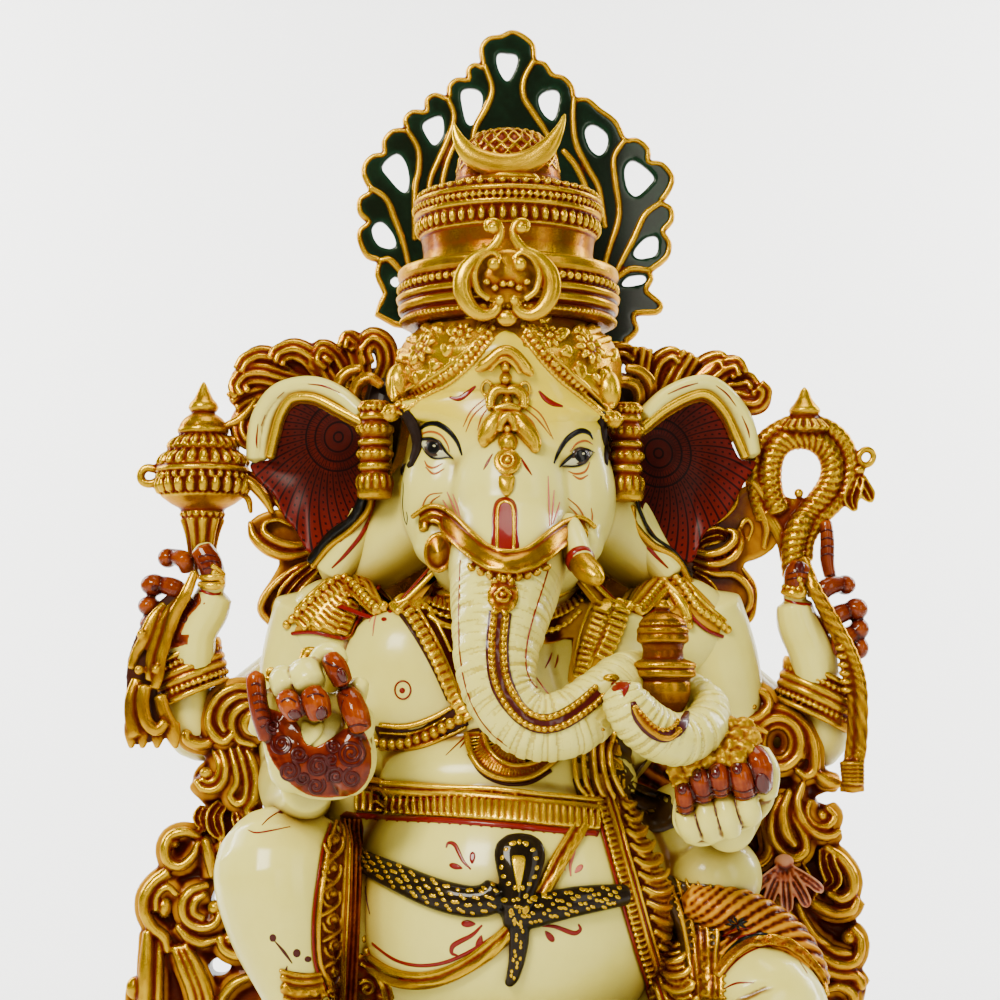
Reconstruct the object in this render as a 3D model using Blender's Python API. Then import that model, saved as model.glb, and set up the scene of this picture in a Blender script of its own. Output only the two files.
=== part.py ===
"""A seated Ganesha idol on a lotus base, as separate solid pieces.

Blender 4.5, metres, +Z up. The figure faces -Y and the origin is under the middle of the base.
Lengths below are in millimetres. "Right" and "left" are the idol's own, so right is -X.
"""

import math

import bmesh
import bpy
import numpy as np
from mathutils import Vector
from mathutils.bvhtree import BVHTree

MM = 0.001
BASE_MIDDLE_Y = -20.0  # the figure is laid out around its own spine, this far behind the base's middle
GAP = 0.42  # clearance between pieces that rest on each other

# The stand, from the table up
BASE_HALF = (148.0, 102.0)
FELT_TOP = 1.6
PLINTH_TOP = 26.0
LOWER_LOTUS_TOP = 60.0
UPPER_LOTUS_TOP = 98.0
SEAT_TOP = 118.0
LOTUS_PETALS = 22

# The crown's tiers, from the brow up
CROWN_Y = -20.0
DOME = (446.0, 483.0, 53.5)  # bottom, top, radius
LOWER_RING = (483.4, 513.0, 54.0)
UPPER_RING = (513.4, 548.0, 46.5)
BUN = (548.4, 582.0, 29.5)

# The fan behind the crown
FAN_MIDDLE = (3.0, 520.0)
FAN_Y = (42.0, 50.0)
FAN_LOBES = 11
FAN_RADII = (78.0, 122.0)  # across and up

IVORY = ((0.80, 0.76, 0.52), 0.22, 0.0)
GOLD = ((0.75, 0.42, 0.05), 0.32, 0.45)
ORANGE = ((0.52, 0.16, 0.03), 0.30, 0.0)
GREEN = ((0.01, 0.05, 0.03), 0.30, 0.0)
BLACK = ((0.03, 0.02, 0.01), 0.30, 0.0)
MAROON = ((0.18, 0.02, 0.01), 0.35, 0.0)
FELT = ((0.10, 0.10, 0.10), 0.90, 0.0)

placed = []  # every finished piece so far, in order, each cut clear of the ones before it


# ---------------------------------------------------------------- mesh helpers


def clear_scene():
    for obj in list(bpy.data.objects):
        bpy.data.objects.remove(obj, do_unlink=True)


def mesh_object(name, points, faces):
    """A mesh from millimetre points around the spine, with its faces turned outwards."""
    mesh = bpy.data.meshes.new(name)
    shift = np.array([0.0, -BASE_MIDDLE_Y, 0.0])
    mesh.from_pydata(((np.asarray(points, float) + shift) * MM).tolist(), [], faces)
    work = bmesh.new()
    work.from_mesh(mesh)
    bmesh.ops.recalc_face_normals(work, faces=work.faces)
    if work.calc_volume(signed=True) < 0:
        bmesh.ops.reverse_faces(work, faces=work.faces)
    work.to_mesh(mesh)
    work.free()
    obj = bpy.data.objects.new(name, mesh)
    bpy.context.scene.collection.objects.link(obj)
    return obj


def smooth_path(rows, per):
    """A smooth curve through the rows, whatever columns they carry, with `per` steps a span."""
    rows = np.array(rows, float)
    ends = np.vstack([2 * rows[0] - rows[1], rows, 2 * rows[-1] - rows[-2]])
    out = []
    for a, b, c, d in zip(ends, ends[1:], ends[2:], ends[3:]):
        for step in range(per):
            s = step / per
            out.append(0.5 * (2 * b + (c - a) * s + (2 * a - 5 * b + 4 * c - d) * s**2 + (3 * b - a - 3 * c + d) * s**3))
    out.append(rows[-1])
    return np.array(out)


def unit(vectors):
    return vectors / np.maximum(np.linalg.norm(vectors, axis=-1, keepdims=True), 1e-9)


def carried_frames(along):
    """A sideways direction for each step, carried along the curve so that it doesn't twist."""
    start = np.cross(along[0], (0, 0, 1.0) if abs(along[0][2]) < 0.8 else (0, 1.0, 0))
    side = [start / np.linalg.norm(start)]
    for direction in along[1:]:
        moved = side[-1] - direction * np.dot(side[-1], direction)
        side.append(moved / np.linalg.norm(moved))
    return np.array(side)


def tube(name, rows, sides=8, per=2, out=None):
    """A rounded rod along rows of x, y, z, radius. With `out`, rows hold half width and half depth,
    and the depth points that way."""
    path = smooth_path(rows, per)
    centres = path[:, :3]
    along = unit(np.gradient(centres, axis=0))
    if out is None:
        side = carried_frames(along)
    else:
        side = unit(np.cross(along, out))
    depth = np.cross(side, along)
    turn = np.arange(sides) * 2 * math.pi / sides
    rings = (
        centres[:, None]
        + side[:, None] * (path[:, 3, None, None] * np.cos(turn)[None, :, None])
        + depth[:, None] * (path[:, -1, None, None] * np.sin(turn)[None, :, None])
    )
    tips = [
        centres[0] - along[0] * path[0, -1] * 0.6,
        centres[-1] + along[-1] * path[-1, -1] * 0.6,
    ]
    return loft(name, rings, tips)


def loft(name, rings, tips):
    """A closed body through rings of points, ended by a fan to each tip."""
    count, sides = len(rings), len(rings[0])
    points = np.vstack([np.reshape(rings, (-1, 3)), tips])
    faces = []
    for i in range(count - 1):
        for j in range(sides):
            k = (j + 1) % sides
            faces.append((i * sides + j, i * sides + k, (i + 1) * sides + k, (i + 1) * sides + j))
    last = (count - 1) * sides
    for j in range(sides):
        k = (j + 1) % sides
        faces.append((k, j, count * sides))
        faces.append((last + j, last + k, count * sides + 1))
    return mesh_object(name, points, faces)


def ball(name, centre, radii, sides=14, rings=9):
    """An ellipsoid."""
    level = np.linspace(-math.pi / 2, math.pi / 2, rings + 2)[1:-1]
    turn = np.arange(sides) * 2 * math.pi / sides
    centre, radii = np.array(centre, float), np.array(radii, float)
    loops = [
        centre + radii * np.stack([np.cos(turn) * math.cos(a), np.sin(turn) * math.cos(a), np.full(sides, math.sin(a))], 1)
        for a in level
    ]
    return loft(name, loops, [centre - (0, 0, radii[2]), centre + (0, 0, radii[2])])


def turned(name, profile, middle, sides=24, squash=1.0, square=2.0, petals=0, depth=0.0):
    """A stack of rings of (radius, height) around an upright axis. `squash` flattens it front to back,
    `square` above 2 squares it off, and `petals` scallops it."""
    turn = np.arange(sides) * 2 * math.pi / sides
    cos, sin = np.cos(turn), np.sin(turn)
    power = 2 / square
    scallop = 1 - depth * (1 - np.abs(np.cos(turn * petals / 2))) if petals else 1.0
    ring_x = np.sign(cos) * np.abs(cos) ** power * scallop
    ring_y = np.sign(sin) * np.abs(sin) ** power * scallop * squash
    loops = [
        np.stack([middle[0] + ring_x * r, middle[1] + ring_y * r, np.full(sides, z)], 1)
        for r, z in profile
    ]
    tips = [(middle[0], middle[1], profile[0][1]), (middle[0], middle[1], profile[-1][1])]
    return loft(name, loops, tips)


def shell_plate(name, outline, dish, thickness, rings=3):
    """A leaf-like plate: the outline in x, z filled from its middle, `dish` giving y from x, z and
    how far out the point is."""
    outline = np.array(outline, float)
    middle = outline.mean(axis=0)
    sides = len(outline)

    def layer(offset):
        loops = []
        for i in range(1, rings + 1):
            share = i / rings
            flat = middle + (outline - middle) * share
            y = [dish(x, z, share) + offset * (1 - 0.35 * share**4) for x, z in flat]
            loops.append(np.stack([flat[:, 0], y, flat[:, 1]], 1))
        return loops

    front = layer(-thickness / 2)
    back = layer(thickness / 2)
    loops = front + back[::-1]
    tips = [
        (middle[0], dish(middle[0], middle[1], 0) - thickness / 2, middle[1]),
        (middle[0], dish(middle[0], middle[1], 0) + thickness / 2, middle[1]),
    ]
    return loft(name, loops, tips)


def evaluated(obj):
    """Applies the object's modifiers and drops them."""
    graph = bpy.context.evaluated_depsgraph_get()
    mesh = bpy.data.meshes.new_from_object(obj.evaluated_get(graph))
    obj.modifiers.clear()
    old = obj.data
    obj.data = mesh
    mesh.name = obj.name
    bpy.data.meshes.remove(old)


def joined(name, parts):
    """One object holding the parts' meshes, still overlapping."""
    points, faces = [], []
    for part in parts:
        start = len(points)
        points += [tuple(v.co) for v in part.data.vertices]
        faces += [tuple(start + i for i in polygon.vertices) for polygon in part.data.polygons]
        bpy.data.objects.remove(part, do_unlink=True)
    mesh = bpy.data.meshes.new(name)
    mesh.from_pydata(points, [], faces)
    obj = bpy.data.objects.new(name, mesh)
    bpy.context.scene.collection.objects.link(obj)
    return obj


def blend(name, parts, voxel, triangles, relax=2):
    """The parts melted into one smooth body of about so many triangles."""
    obj = joined(name, parts)
    remesh = obj.modifiers.new("Melt", "REMESH")
    remesh.mode = "VOXEL"
    remesh.voxel_size = voxel * MM
    if relax:
        smooth = obj.modifiers.new("Relax", "SMOOTH")
        smooth.iterations = relax
        smooth.factor = 0.5
    evaluated(obj)
    thin_out(obj, triangles)
    keep_largest(obj)
    return obj


def thin_out(obj, triangles):
    count = sum(len(polygon.vertices) - 2 for polygon in obj.data.polygons)
    if count > triangles:
        decimate = obj.modifiers.new("Thin", "DECIMATE")
        decimate.ratio = triangles / count
        decimate.use_collapse_triangulate = True
        evaluated(obj)


def keep_largest(obj):
    """Drops every loose body but the largest, as a cut can leave crumbs behind."""
    work = bmesh.new()
    work.from_mesh(obj.data)
    unseen = set(work.faces)
    bodies = []
    while unseen:
        body, edge = set(), [unseen.pop()]
        while edge:
            face = edge.pop()
            body.add(face)
            for loop in face.loops:
                for other in loop.edge.link_faces:
                    if other in unseen:
                        unseen.discard(other)
                        edge.append(other)
        bodies.append(body)
    bodies.sort(key=lambda body: -sum(face.calc_area() for face in body))
    spare = [face for body in bodies[1:] for face in body]
    if spare:
        bmesh.ops.delete(work, geom=spare, context="FACES")
        loose = [vertex for vertex in work.verts if not vertex.link_faces]
        bmesh.ops.delete(work, geom=loose, context="VERTS")
    work.to_mesh(obj.data)
    work.free()


def box_of(obj, margin=0.0):
    points = np.array([tuple(v.co) for v in obj.data.vertices])
    return points.min(axis=0) - margin, points.max(axis=0) + margin


def fattened(obj):
    """A hidden copy of the piece, thicker all over by the clearance, to cut its neighbours with."""
    copy = bpy.data.objects.new(obj.name + "_cutter", obj.data.copy())
    bpy.context.scene.collection.objects.link(copy)
    work = bmesh.new()
    work.from_mesh(copy.data)
    bmesh.ops.triangulate(work, faces=work.faces)
    work.normal_update()
    for vertex in work.verts:
        vertex.co += vertex.normal * (GAP * MM * min(vertex.calc_shell_factor(), 2.2))
    work.to_mesh(copy.data)
    work.free()
    copy.hide_render = True
    copy.display_type = "WIRE"
    return copy


def tree_of(obj):
    return BVHTree.FromPolygons([v.co.copy() for v in obj.data.vertices], [p.vertices[:] for p in obj.data.polygons])


def finish(obj, look, carved=True):
    """Cuts the piece clear of the pieces already placed, paints it and places it."""
    low, high = box_of(obj, GAP * MM)
    for other in placed if carved else []:
        other_low, other_high = box_of(other, GAP * MM)
        if (low > other_high).any() or (high < other_low).any():
            continue
        cutter = fattened(other)
        if tree_of(obj).overlap(tree_of(cutter)):
            cut = obj.modifiers.new("Clear", "BOOLEAN")
            cut.operation = "DIFFERENCE"
            cut.solver = "EXACT"
            cut.object = cutter
            evaluated(obj)
            keep_largest(obj)
        bpy.data.objects.remove(cutter, do_unlink=True)
    colour, roughness, metallic = look
    material = bpy.data.materials.new(obj.name)
    material.use_nodes = True
    shader = material.node_tree.nodes["Principled BSDF"]
    shader.inputs["Base Color"].default_value = (*colour, 1.0)
    shader.inputs["Roughness"].default_value = roughness
    shader.inputs["Metallic"].default_value = metallic
    obj.data.materials.clear()
    obj.data.materials.append(material)
    placed.append(obj)
    return obj


# ---------------------------------------------------------------- the stand


def make_stand():
    middle = (0.0, BASE_MIDDLE_Y)
    wide, deep = BASE_HALF
    squash = deep / wide

    def slab(name, profile, look, **more):
        finish(turned(name, profile, middle, squash=squash, **more), look, carved=False)

    slab("base_felt", [(wide - 6, 0), (wide - 6, FELT_TOP)], FELT, square=3.0, sides=32)
    slab(
        "plinth",
        [(wide - 3, FELT_TOP + GAP), (wide, FELT_TOP + 4), (wide, 14), (wide - 6, 17), (wide - 6, 22), (wide - 10, PLINTH_TOP)],
        GOLD,
        square=3.0,
        sides=40,
    )
    lower = PLINTH_TOP + GAP
    slab(
        "lotus_lower",
        [(wide - 20, lower), (wide - 12, lower + 5), (wide - 14, 42), (wide - 26, 54), (wide - 34, LOWER_LOTUS_TOP)],
        IVORY,
        sides=LOTUS_PETALS * 3,
        petals=LOTUS_PETALS,
        depth=0.05,
        square=2.3,
    )
    upper = LOWER_LOTUS_TOP + GAP
    slab(
        "lotus_upper",
        [(wide - 38, upper), (wide - 30, 68), (wide - 16, 82), (wide - 12, 92), (wide - 20, UPPER_LOTUS_TOP)],
        ORANGE,
        sides=LOTUS_PETALS * 3,
        petals=LOTUS_PETALS,
        depth=0.05,
        square=2.3,
    )
    seat = UPPER_LOTUS_TOP + GAP
    slab(
        "seat_cushion",
        [(wide - 30, seat), (wide - 21, seat + 3), (wide - 18, 108), (wide - 21, SEAT_TOP - 3), (wide - 30, SEAT_TOP)],
        MAROON,
        sides=36,
        square=2.5,
    )


# ---------------------------------------------------------------- the body


def make_torso():
    parts = [
        ball("belly", (2, -30, 202), (75, 67, 74)),
        ball("hips", (0, -8, 150), (88, 46, 36)),
        ball("chest", (0, -18, 300), (80, 40, 62)),
        ball("neck", (0, -22, 362), (40, 34, 34)),
    ]
    for side in (-1, 1):
        parts.append(ball("breast", (side * 46, -38, 318), (34, 22, 32)))
        parts.append(ball("shoulder", (side * 82, -8, 336), (30, 24, 26)))
    finish(blend("torso", parts, 4.0, 640), IVORY)


def make_leg(name, rows, foot, toes):
    parts = [tube("leg", rows, sides=12, per=3), tube("foot", foot, sides=10, per=3)]
    parts += [ball("toe", toe, (5.5, 5.5, 5), 8, 5) for toe in toes]
    finish(blend(name, parts, 2.6, 360), IVORY)


def make_legs():
    """The right knee is raised with its foot on the seat. The left leg lies folded across the front."""
    make_leg(
        "leg_right",
        [
            (-52, 0, 160, 30),
            (-78, -26, 192, 31),
            (-101, -54, 218, 29),
            (-105, -66, 215, 27),
            (-102, -70, 190, 22),
            (-97, -73, 165, 15),
            (-94, -76, 145, 13),
            (-92, -80, 134, 13),
        ],
        [(-92, -66, 128, 11, 9), (-91, -84, 127, 13, 8), (-90, -100, 124, 13, 5)],
        [(-99 + 5.5 * i, -107 + abs(i - 1), 123.5) for i in range(4)],
    )
    make_leg(
        "leg_left",
        [
            (48, 0, 152, 32),
            (84, -24, 162, 31),
            (116, -50, 160, 29),
            (124, -66, 150, 24),
            (104, -82, 142, 19),
            (66, -94, 137, 15),
            (34, -100, 134, 12),
            (16, -102, 132, 12),
        ],
        [(20, -102, 131, 11, 10), (0, -104, 130, 14, 9), (-20, -102, 129, 13, 7)],
        [(-31, -94 - 6 * i, 127.5) for i in range(3)],
    )


def make_arm(name, rows):
    finish(blend(name, [tube("arm", rows, sides=12, per=3)], 3.2, 200), IVORY)


def make_arms():
    make_arm(
        "arm_front_right",
        [(-96, -6, 344, 21), (-103, 0, 318, 21), (-108, 8, 288, 19), (-107, 6, 264, 18), (-102, -28, 256, 17), (-96, -64, 258, 14), (-92, -86, 262, 12)],
    )
    make_arm(
        "arm_front_left",
        [(96, -6, 344, 21), (104, 0, 318, 21), (111, 9, 288, 19), (111, 6, 264, 18), (107, -26, 251, 17), (103, -58, 245, 14), (101, -78, 243, 12)],
    )
    make_arm(
        "arm_rear_right",
        [(-88, 26, 326, 20), (-112, 27, 308, 19), (-138, 20, 290, 17), (-157, 12, 286, 15), (-160, 6, 304, 12), (-157, 2, 322, 9.5)],
    )
    make_arm(
        "arm_rear_left",
        [(88, 26, 326, 20), (112, 27, 304, 19), (137, 20, 286, 17), (155, 12, 281, 15), (157, 6, 299, 12), (153, 2, 317, 9.5)],
    )


def finger(points, radius):
    rows = [(*point, radius * (1 - 0.12 * i)) for i, point in enumerate(points)]
    return tube("finger", rows, sides=8, per=2)


def make_hand(name, palm, fingers, look, triangles=320):
    parts = [ball("palm", *palm)] + [finger(points, radius) for points, radius in fingers]
    finish(blend(name, parts, 1.9, triangles, relax=1), look)


def make_hands():
    make_hand(
        "hand_front_right",
        ((-89, -106, 274), (25, 11, 24)),
        [
            ([(-110, -108, 284), (-114, -112, 300), (-116, -113, 315)], 6.0),
            ([(-99, -108, 286), (-101, -118, 302), (-99, -128, 296)], 6.5),
            ([(-86, -108, 288), (-87, -120, 305), (-86, -129, 297)], 6.8),
            ([(-73, -108, 288), (-74, -116, 308), (-80, -122, 319)], 6.4),
            ([(-66, -104, 274), (-62, -112, 292), (-66, -118, 306)], 7.4),
        ],
        ORANGE,
    )
    make_hand(
        "hand_front_left",
        ((98, -94, 248), (24, 15, 16)),
        [([(84 + 10 * i, -104, 238 + 2 * i), (82 + 11 * i, -114, 250 + i), (82 + 11 * i, -113, 263 + i)], 6.0) for i in range(4)]
        + [([(118, -94, 244), (124, -102, 256), (121, -108, 272)], 7.2)],
        ORANGE,
    )
    make_hand(
        "hand_rear_right",
        ((-155, -1, 334), (14, 11, 17)),
        [([(-160, -6, 338 + 7 * i), (-172, -10, 340 + 8 * i), (-176, 0, 344 + 8 * i)], 5.4) for i in range(3)]
        + [([(-148, -6, 340), (-144, -9, 354), (-147, -8, 366)], 6.4)],
        IVORY,
        260,
    )
    make_hand(
        "hand_rear_left",
        ((150, -1, 330), (14, 11, 17)),
        [([(156, -6, 334 + 7 * i), (168, -10, 336 + 8 * i), (172, 0, 340 + 8 * i)], 5.4) for i in range(3)]
        + [([(143, -6, 336), (141, -9, 350), (145, -8, 362)], 6.4)],
        IVORY,
        260,
    )


def make_sweets():
    spots = [(78 + 9.5 * i, -100 - 2 * (i % 2), 270 + (i % 2)) for i in range(4)]
    spots += [(80 + 10 * i, -96, 278) for i in range(3)] + [(87, -95, 284), (97, -94, 283)]
    parts = [ball("sweet", spot, (6.6, 6.6, 6.2), 9, 6) for spot in spots]
    parts.append(ball("heap", (92, -92, 270), (20, 12, 10)))
    finish(blend("sweets", parts, 1.8, 260, relax=0), GOLD)


# ---------------------------------------------------------------- the elephant head


def make_head():
    parts = [
        ball("skull", (0, -24, 412), (52, 50, 55)),
        ball("face", (0, -54, 388), (36, 30, 42)),
        ball("jaw", (0, -40, 366), (34, 30, 22)),
    ]
    for side in (-1, 1):
        parts.append(ball("brow", (side * 22, -52, 430), (27, 24, 24)))
        parts.append(ball("cheek", (side * 34, -46, 390), (20, 24, 26)))
    finish(blend("head", parts, 3.2, 520), IVORY)


def make_trunk():
    """It hangs down, swings to the left hand and coils once round the pot, from behind to the front."""
    rows = [
        (0, -66, 372, 27),
        (-1, -86, 357, 25.5),
        (-4, -99, 338, 22),
        (-6, -107, 318, 18.5),
        (-2, -113, 301, 16.5),
        (10, -116, 290, 15.5),
        (26, -115, 291, 15.5),
        (41, -108, 301, 14.5),
        (53, -94, 311, 12.5),
        (66, -80, 312, 10.5),
        (82, -80, 305, 10),
        (91, -92, 297, 10),
        (86, -108, 288, 11),
        (73, -120, 284, 12),
        (60, -127, 290, 12),
        (52, -130, 299, 11),
        (49, -130, 306, 9),
    ]
    finish(blend("trunk", [tube("trunk", rows, sides=14, per=3)], 2.4, 560, relax=0), IVORY)


def make_ears():
    """Each ear is a broad dished leaf that stands out from the head and hangs to a point."""
    for name, side, shift in (("ear_right", -1, 0.0), ("ear_left", 1, -4.0)):
        outline = [(56, 440), (71, 451), (90, 457), (109, 454), (123, 441), (127, 422), (122, 400), (109, 376), (93, 358), (78, 369), (64, 388), (56, 412)]
        closed = smooth_path([(x + shift * (x - 50) / 60, z) for x, z in outline + outline[:1]], 2)[:-1]
        if side < 0:
            closed = closed[::-1]

        def dish(x, z, share):
            return -20 + 0.26 * (abs(x) - 55) + 7 * (1 - share**2)

        plate = shell_plate(name, [(side * x, z) for x, z in closed], dish, 9.0)
        finish(plate, MAROON)


def make_tusks():
    stub = [(-34, -64, 382, 8), (-34, -76, 374, 8), (-33, -86, 364, 7.5), (-33, -91, 357, 7)]
    finish(tube("tusk_right_cap", stub, sides=10), GOLD)
    horn = [(22, -60, 380, 9), (28, -80, 371, 8.5), (35, -97, 363, 6.5), (43, -110, 356, 3)]
    finish(tube("tusk_left", horn, sides=10), IVORY)


# ---------------------------------------------------------------- the crown


def make_crown():
    bottom, top, radius = DOME
    dome = [(radius - 3, bottom), (radius, bottom + 4), (radius, bottom + 14), (radius - 5, bottom + 26), (radius - 14, top)]
    finish(turned("crown_dome", dome, (0, CROWN_Y), sides=28, squash=1.04), GOLD)
    bottom, top, radius = LOWER_RING
    lower = [(radius - 12, bottom), (radius - 2, bottom + 4), (radius, bottom + 10), (radius - 4, bottom + 14), (radius, bottom + 20), (radius, top - 3), (radius - 4, top)]
    finish(turned("crown_ring_lower", lower, (0, CROWN_Y), sides=28), GOLD)
    bottom, top, radius = UPPER_RING
    upper = [(radius - 4, bottom), (radius - 5, bottom + 12), (radius - 1, bottom + 18), (radius, bottom + 24), (radius - 1, top - 4), (radius - 6, top)]
    finish(turned("crown_ring_upper", upper, (0, CROWN_Y), sides=28), GOLD)
    bottom, top, radius = BUN
    bun = [(radius, bottom), (radius, bottom + 6), (radius - 6, bottom + 10), (radius - 9, bottom + 20), (radius - 15, top - 6), (radius - 24, top)]
    finish(turned("crown_bun", bun, (0, CROWN_Y), sides=20), GOLD)


def make_crescent():
    rows = []
    for i in range(9):
        angle = math.radians(-205 + 230 * i / 8)
        rows.append((1 + 25 * math.cos(angle), -51 - 3 * math.sin(angle), 573 + 21 * math.sin(angle), 1.2 + 7.4 * math.sin(math.pi * i / 8), 4.0))
    parts = [tube("moon", rows, sides=8, per=1, out=(0, -1, 0)), ball("boss", (1, -47, 552), (11, 7, 6))]
    finish(blend("crescent", parts, 1.1, 180, relax=0), GOLD)


def make_medallion():
    """Two scrolls that face each other, joined by a crest above and a drop below."""
    y = -80
    parts = [ball("back", (0, -74, 503), (17, 6, 18), 12, 7), ball("crest", (0, y, 524), (9, 4, 6), 10, 6), ball("drop", (0, y, 484), (8, 4, 7), 10, 6)]
    for side in (-1, 1):
        rows = []
        for i in range(9):
            angle = math.radians(115 - 250 * i / 8)
            reach = 18 - 0.6 * i
            rows.append((side * (3 + reach * math.cos(angle)), y, 503 + reach * math.sin(angle), 4.2, 4.0))
        parts.append(tube("scroll", rows, sides=8, per=1, out=(0, -1, 0)))
    finish(blend("crown_medallion", parts, 1.5, 300, relax=0), GOLD)


def make_fan():
    """A half-round comb of leaves behind the crown, each lobe pierced near its edge."""
    middle_x, bottom = FAN_MIDDLE
    across, up = FAN_RADII
    outer = []
    steps = FAN_LOBES * 6
    for i in range(steps + 1):
        angle = math.radians(-24 + 228 * i / steps)
        lobe = 1 - 0.055 * abs(math.cos(math.pi * FAN_LOBES * i / steps)) ** 3
        outer.append((middle_x + across * lobe * math.cos(angle), bottom + up * lobe * math.sin(angle)))
    outline = outer + [(-58, 484), (62, 484)]
    holes = []
    for i in range(FAN_LOBES):
        angle = math.radians(-24 + 228 * (i + 0.5) / FAN_LOBES)
        centre = (middle_x + across * 0.84 * math.cos(angle), bottom + up * 0.84 * math.sin(angle))
        size = 5.2 - 0.25 * abs(i - 5)
        ring = [math.radians(60 * k) for k in range(6)]
        holes.append([(centre[0] + size * 0.8 * math.cos(a), centre[1] + size * math.sin(a)) for a in ring])
    curve = bpy.data.curves.new("fan_outline", "CURVE")
    curve.dimensions = "2D"
    curve.fill_mode = "BOTH"
    curve.extrude = (FAN_Y[1] - FAN_Y[0]) / 2 * MM
    for loop in [outline] + holes:
        spline = curve.splines.new("POLY")
        spline.points.add(len(loop) - 1)
        for point, (x, z) in zip(spline.points, loop):
            point.co = (x * MM, z * MM, 0, 1)
        spline.use_cyclic_u = True
    sheet = bpy.data.objects.new("fan_sheet", curve)
    bpy.context.scene.collection.objects.link(sheet)
    mesh = bpy.data.meshes.new_from_object(sheet.evaluated_get(bpy.context.evaluated_depsgraph_get()))
    bpy.data.objects.remove(sheet, do_unlink=True)
    work = bmesh.new()
    work.from_mesh(mesh)
    bmesh.ops.remove_doubles(work, verts=work.verts, dist=1e-6)
    depth = (FAN_Y[0] + FAN_Y[1]) / 2 - BASE_MIDDLE_Y
    for vertex in work.verts:
        x, z, y = vertex.co
        vertex.co = Vector((x, depth * MM - y, z))
    bmesh.ops.recalc_face_normals(work, faces=work.faces)
    work.to_mesh(mesh)
    work.free()
    fan = bpy.data.objects.new("crown_fan", mesh)
    bpy.context.scene.collection.objects.link(fan)
    finish(fan, GREEN)


# ---------------------------------------------------------------- ornaments


def strap(name, rows, look=GOLD, sides=8, per=2, out=(0, -1, 0)):
    """A flat band along rows of x, y, z, half width, half thickness."""
    finish(tube(name, rows, sides=sides, per=per, out=out), look)


def make_face_ornaments():
    pendant = [(0, -78, 462, 6, 5), (0, -82, 450, 14, 5), (0, -84, 438, 8, 5), (0, -85, 425, 14, 5), (0, -86, 412, 9, 5), (0, -88, 400, 7, 5), (0, -90, 392, 3, 3)]
    strap("forehead_pendant", pendant)
    band = []
    for i in range(9):
        share = (i - 4) / 4
        band.append((39 * math.sin(share * 1.45), -66 - 48 * math.cos(share * 1.45), 357 + 25 * abs(share) ** 1.5, 6.5, 6.5))
    strap("snout_band", band, per=1, out=(0, -0.8, 0.6))
    chain = [(-2, -118, 345, 8, 4), (-5, -122, 335, 6, 4), (-8, -127, 318, 6, 4), (-3, -131, 301, 6, 4), (11, -133, 289, 5, 4), (27, -132, 290, 4, 4), (39, -125, 299, 4, 4)]
    strap("trunk_chain", chain)


def make_tassels():
    for name, x, top in (("ear_tassel_right", -63.5, 446), ("ear_tassel_left", 58.5, 448)):
        profile = [(3, top), (7.5, top - 3), (8, top - 8), (5.5, top - 10)]
        profile += [(8, top - 13), (8.5, top - 19), (5.5, top - 22), (8, top - 25), (8.5, top - 32)]
        profile += [(5.5, top - 35), (7.5, top - 39), (9, top - 47)]
        finish(turned(name, profile[::-1], (x, -38), sides=14), GOLD)


def make_plumes():
    """The curled locks that spread behind the crown and over each ear."""
    for name, side in (("hair_plume_right", -1), ("hair_plume_left", 1)):
        parts = [tube("root", [(side * 48, 14, 462, 15, 9), (side * 84, 14, 466, 14, 8), (side * 112, 12, 458, 9, 6)], out=(0, -1, 0))]
        for i in range(6):
            x = 54 + 14 * i
            lift = 480 - 0.05 * (i - 1) ** 4 - 1.5 * i
            parts.append(tube("lock", [(side * x, 10, 460, 7), (side * (x + 5), 4, lift - 6, 6.5), (side * (x + 11), 1, lift, 4), (side * (x + 13), 0, lift - 7, 3)]))
        finish(blend(name, parts, 2.4, 320, relax=0), GOLD)


def make_collars():
    """The layered necklace that lies over each shoulder."""
    for name, side in (("collar_right", -1), ("collar_left", 1)):
        rows = [(side * 40, -46, 368, 9, 6), (side * 62, -38, 362, 13, 8), (side * 86, -24, 354, 15, 9), (side * 106, -8, 346, 14, 9)]
        parts = [tube("yoke", rows, sides=10, out=(0, -0.8, 0.6))]
        for i in range(4):
            x = 66 + 13 * i
            parts.append(tube("fringe", [(side * x, -34 + 7 * i, 352 - 3 * i, 6, 5), (side * (x + 1), -38 + 7 * i, 336 - 3 * i, 6, 5)], out=(0, -1, 0)))
        finish(blend(name, parts, 2.2, 300, relax=0), GOLD)


def make_chest_ornaments():
    strap("breast_band_right", [(-54, -56, 368, 6, 5), (-45, -64, 346, 6, 5), (-35, -66, 324, 6, 5), (-26, -66, 304, 7, 5), (-20, -66, 290, 7, 5)])
    strap("breast_band_left", [(44, -54, 368, 12, 5), (40, -62, 348, 13, 5), (38, -66, 328, 13, 5), (34, -66, 312, 11, 5), (30, -66, 304, 7, 5)])
    strap("under_band_right", [(-66, -40, 282, 8, 5), (-52, -54, 280, 8, 5), (-38, -62, 283, 8, 5), (-26, -68, 288, 6, 5)])
    rows = [(-24, -70, 282, 5, 5), (-16, -84, 270, 7, 5), (0, -94, 264, 8, 5), (16, -94, 268, 7, 5), (28, -84, 278, 5, 5)]
    strap("chest_pendant", rows)
    rows = []
    for i in range(9):
        angle = math.radians(200 + 140 * i / 8)
        rows.append((3 + 74 * math.cos(angle) * 1.02, -32 + 60 * math.sin(angle), 246 + 4 * math.sin(math.pi * i / 8), 12, 4.5))
    strap("waistband", rows, per=1, out=(0, -0.6, 0.8))


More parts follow.
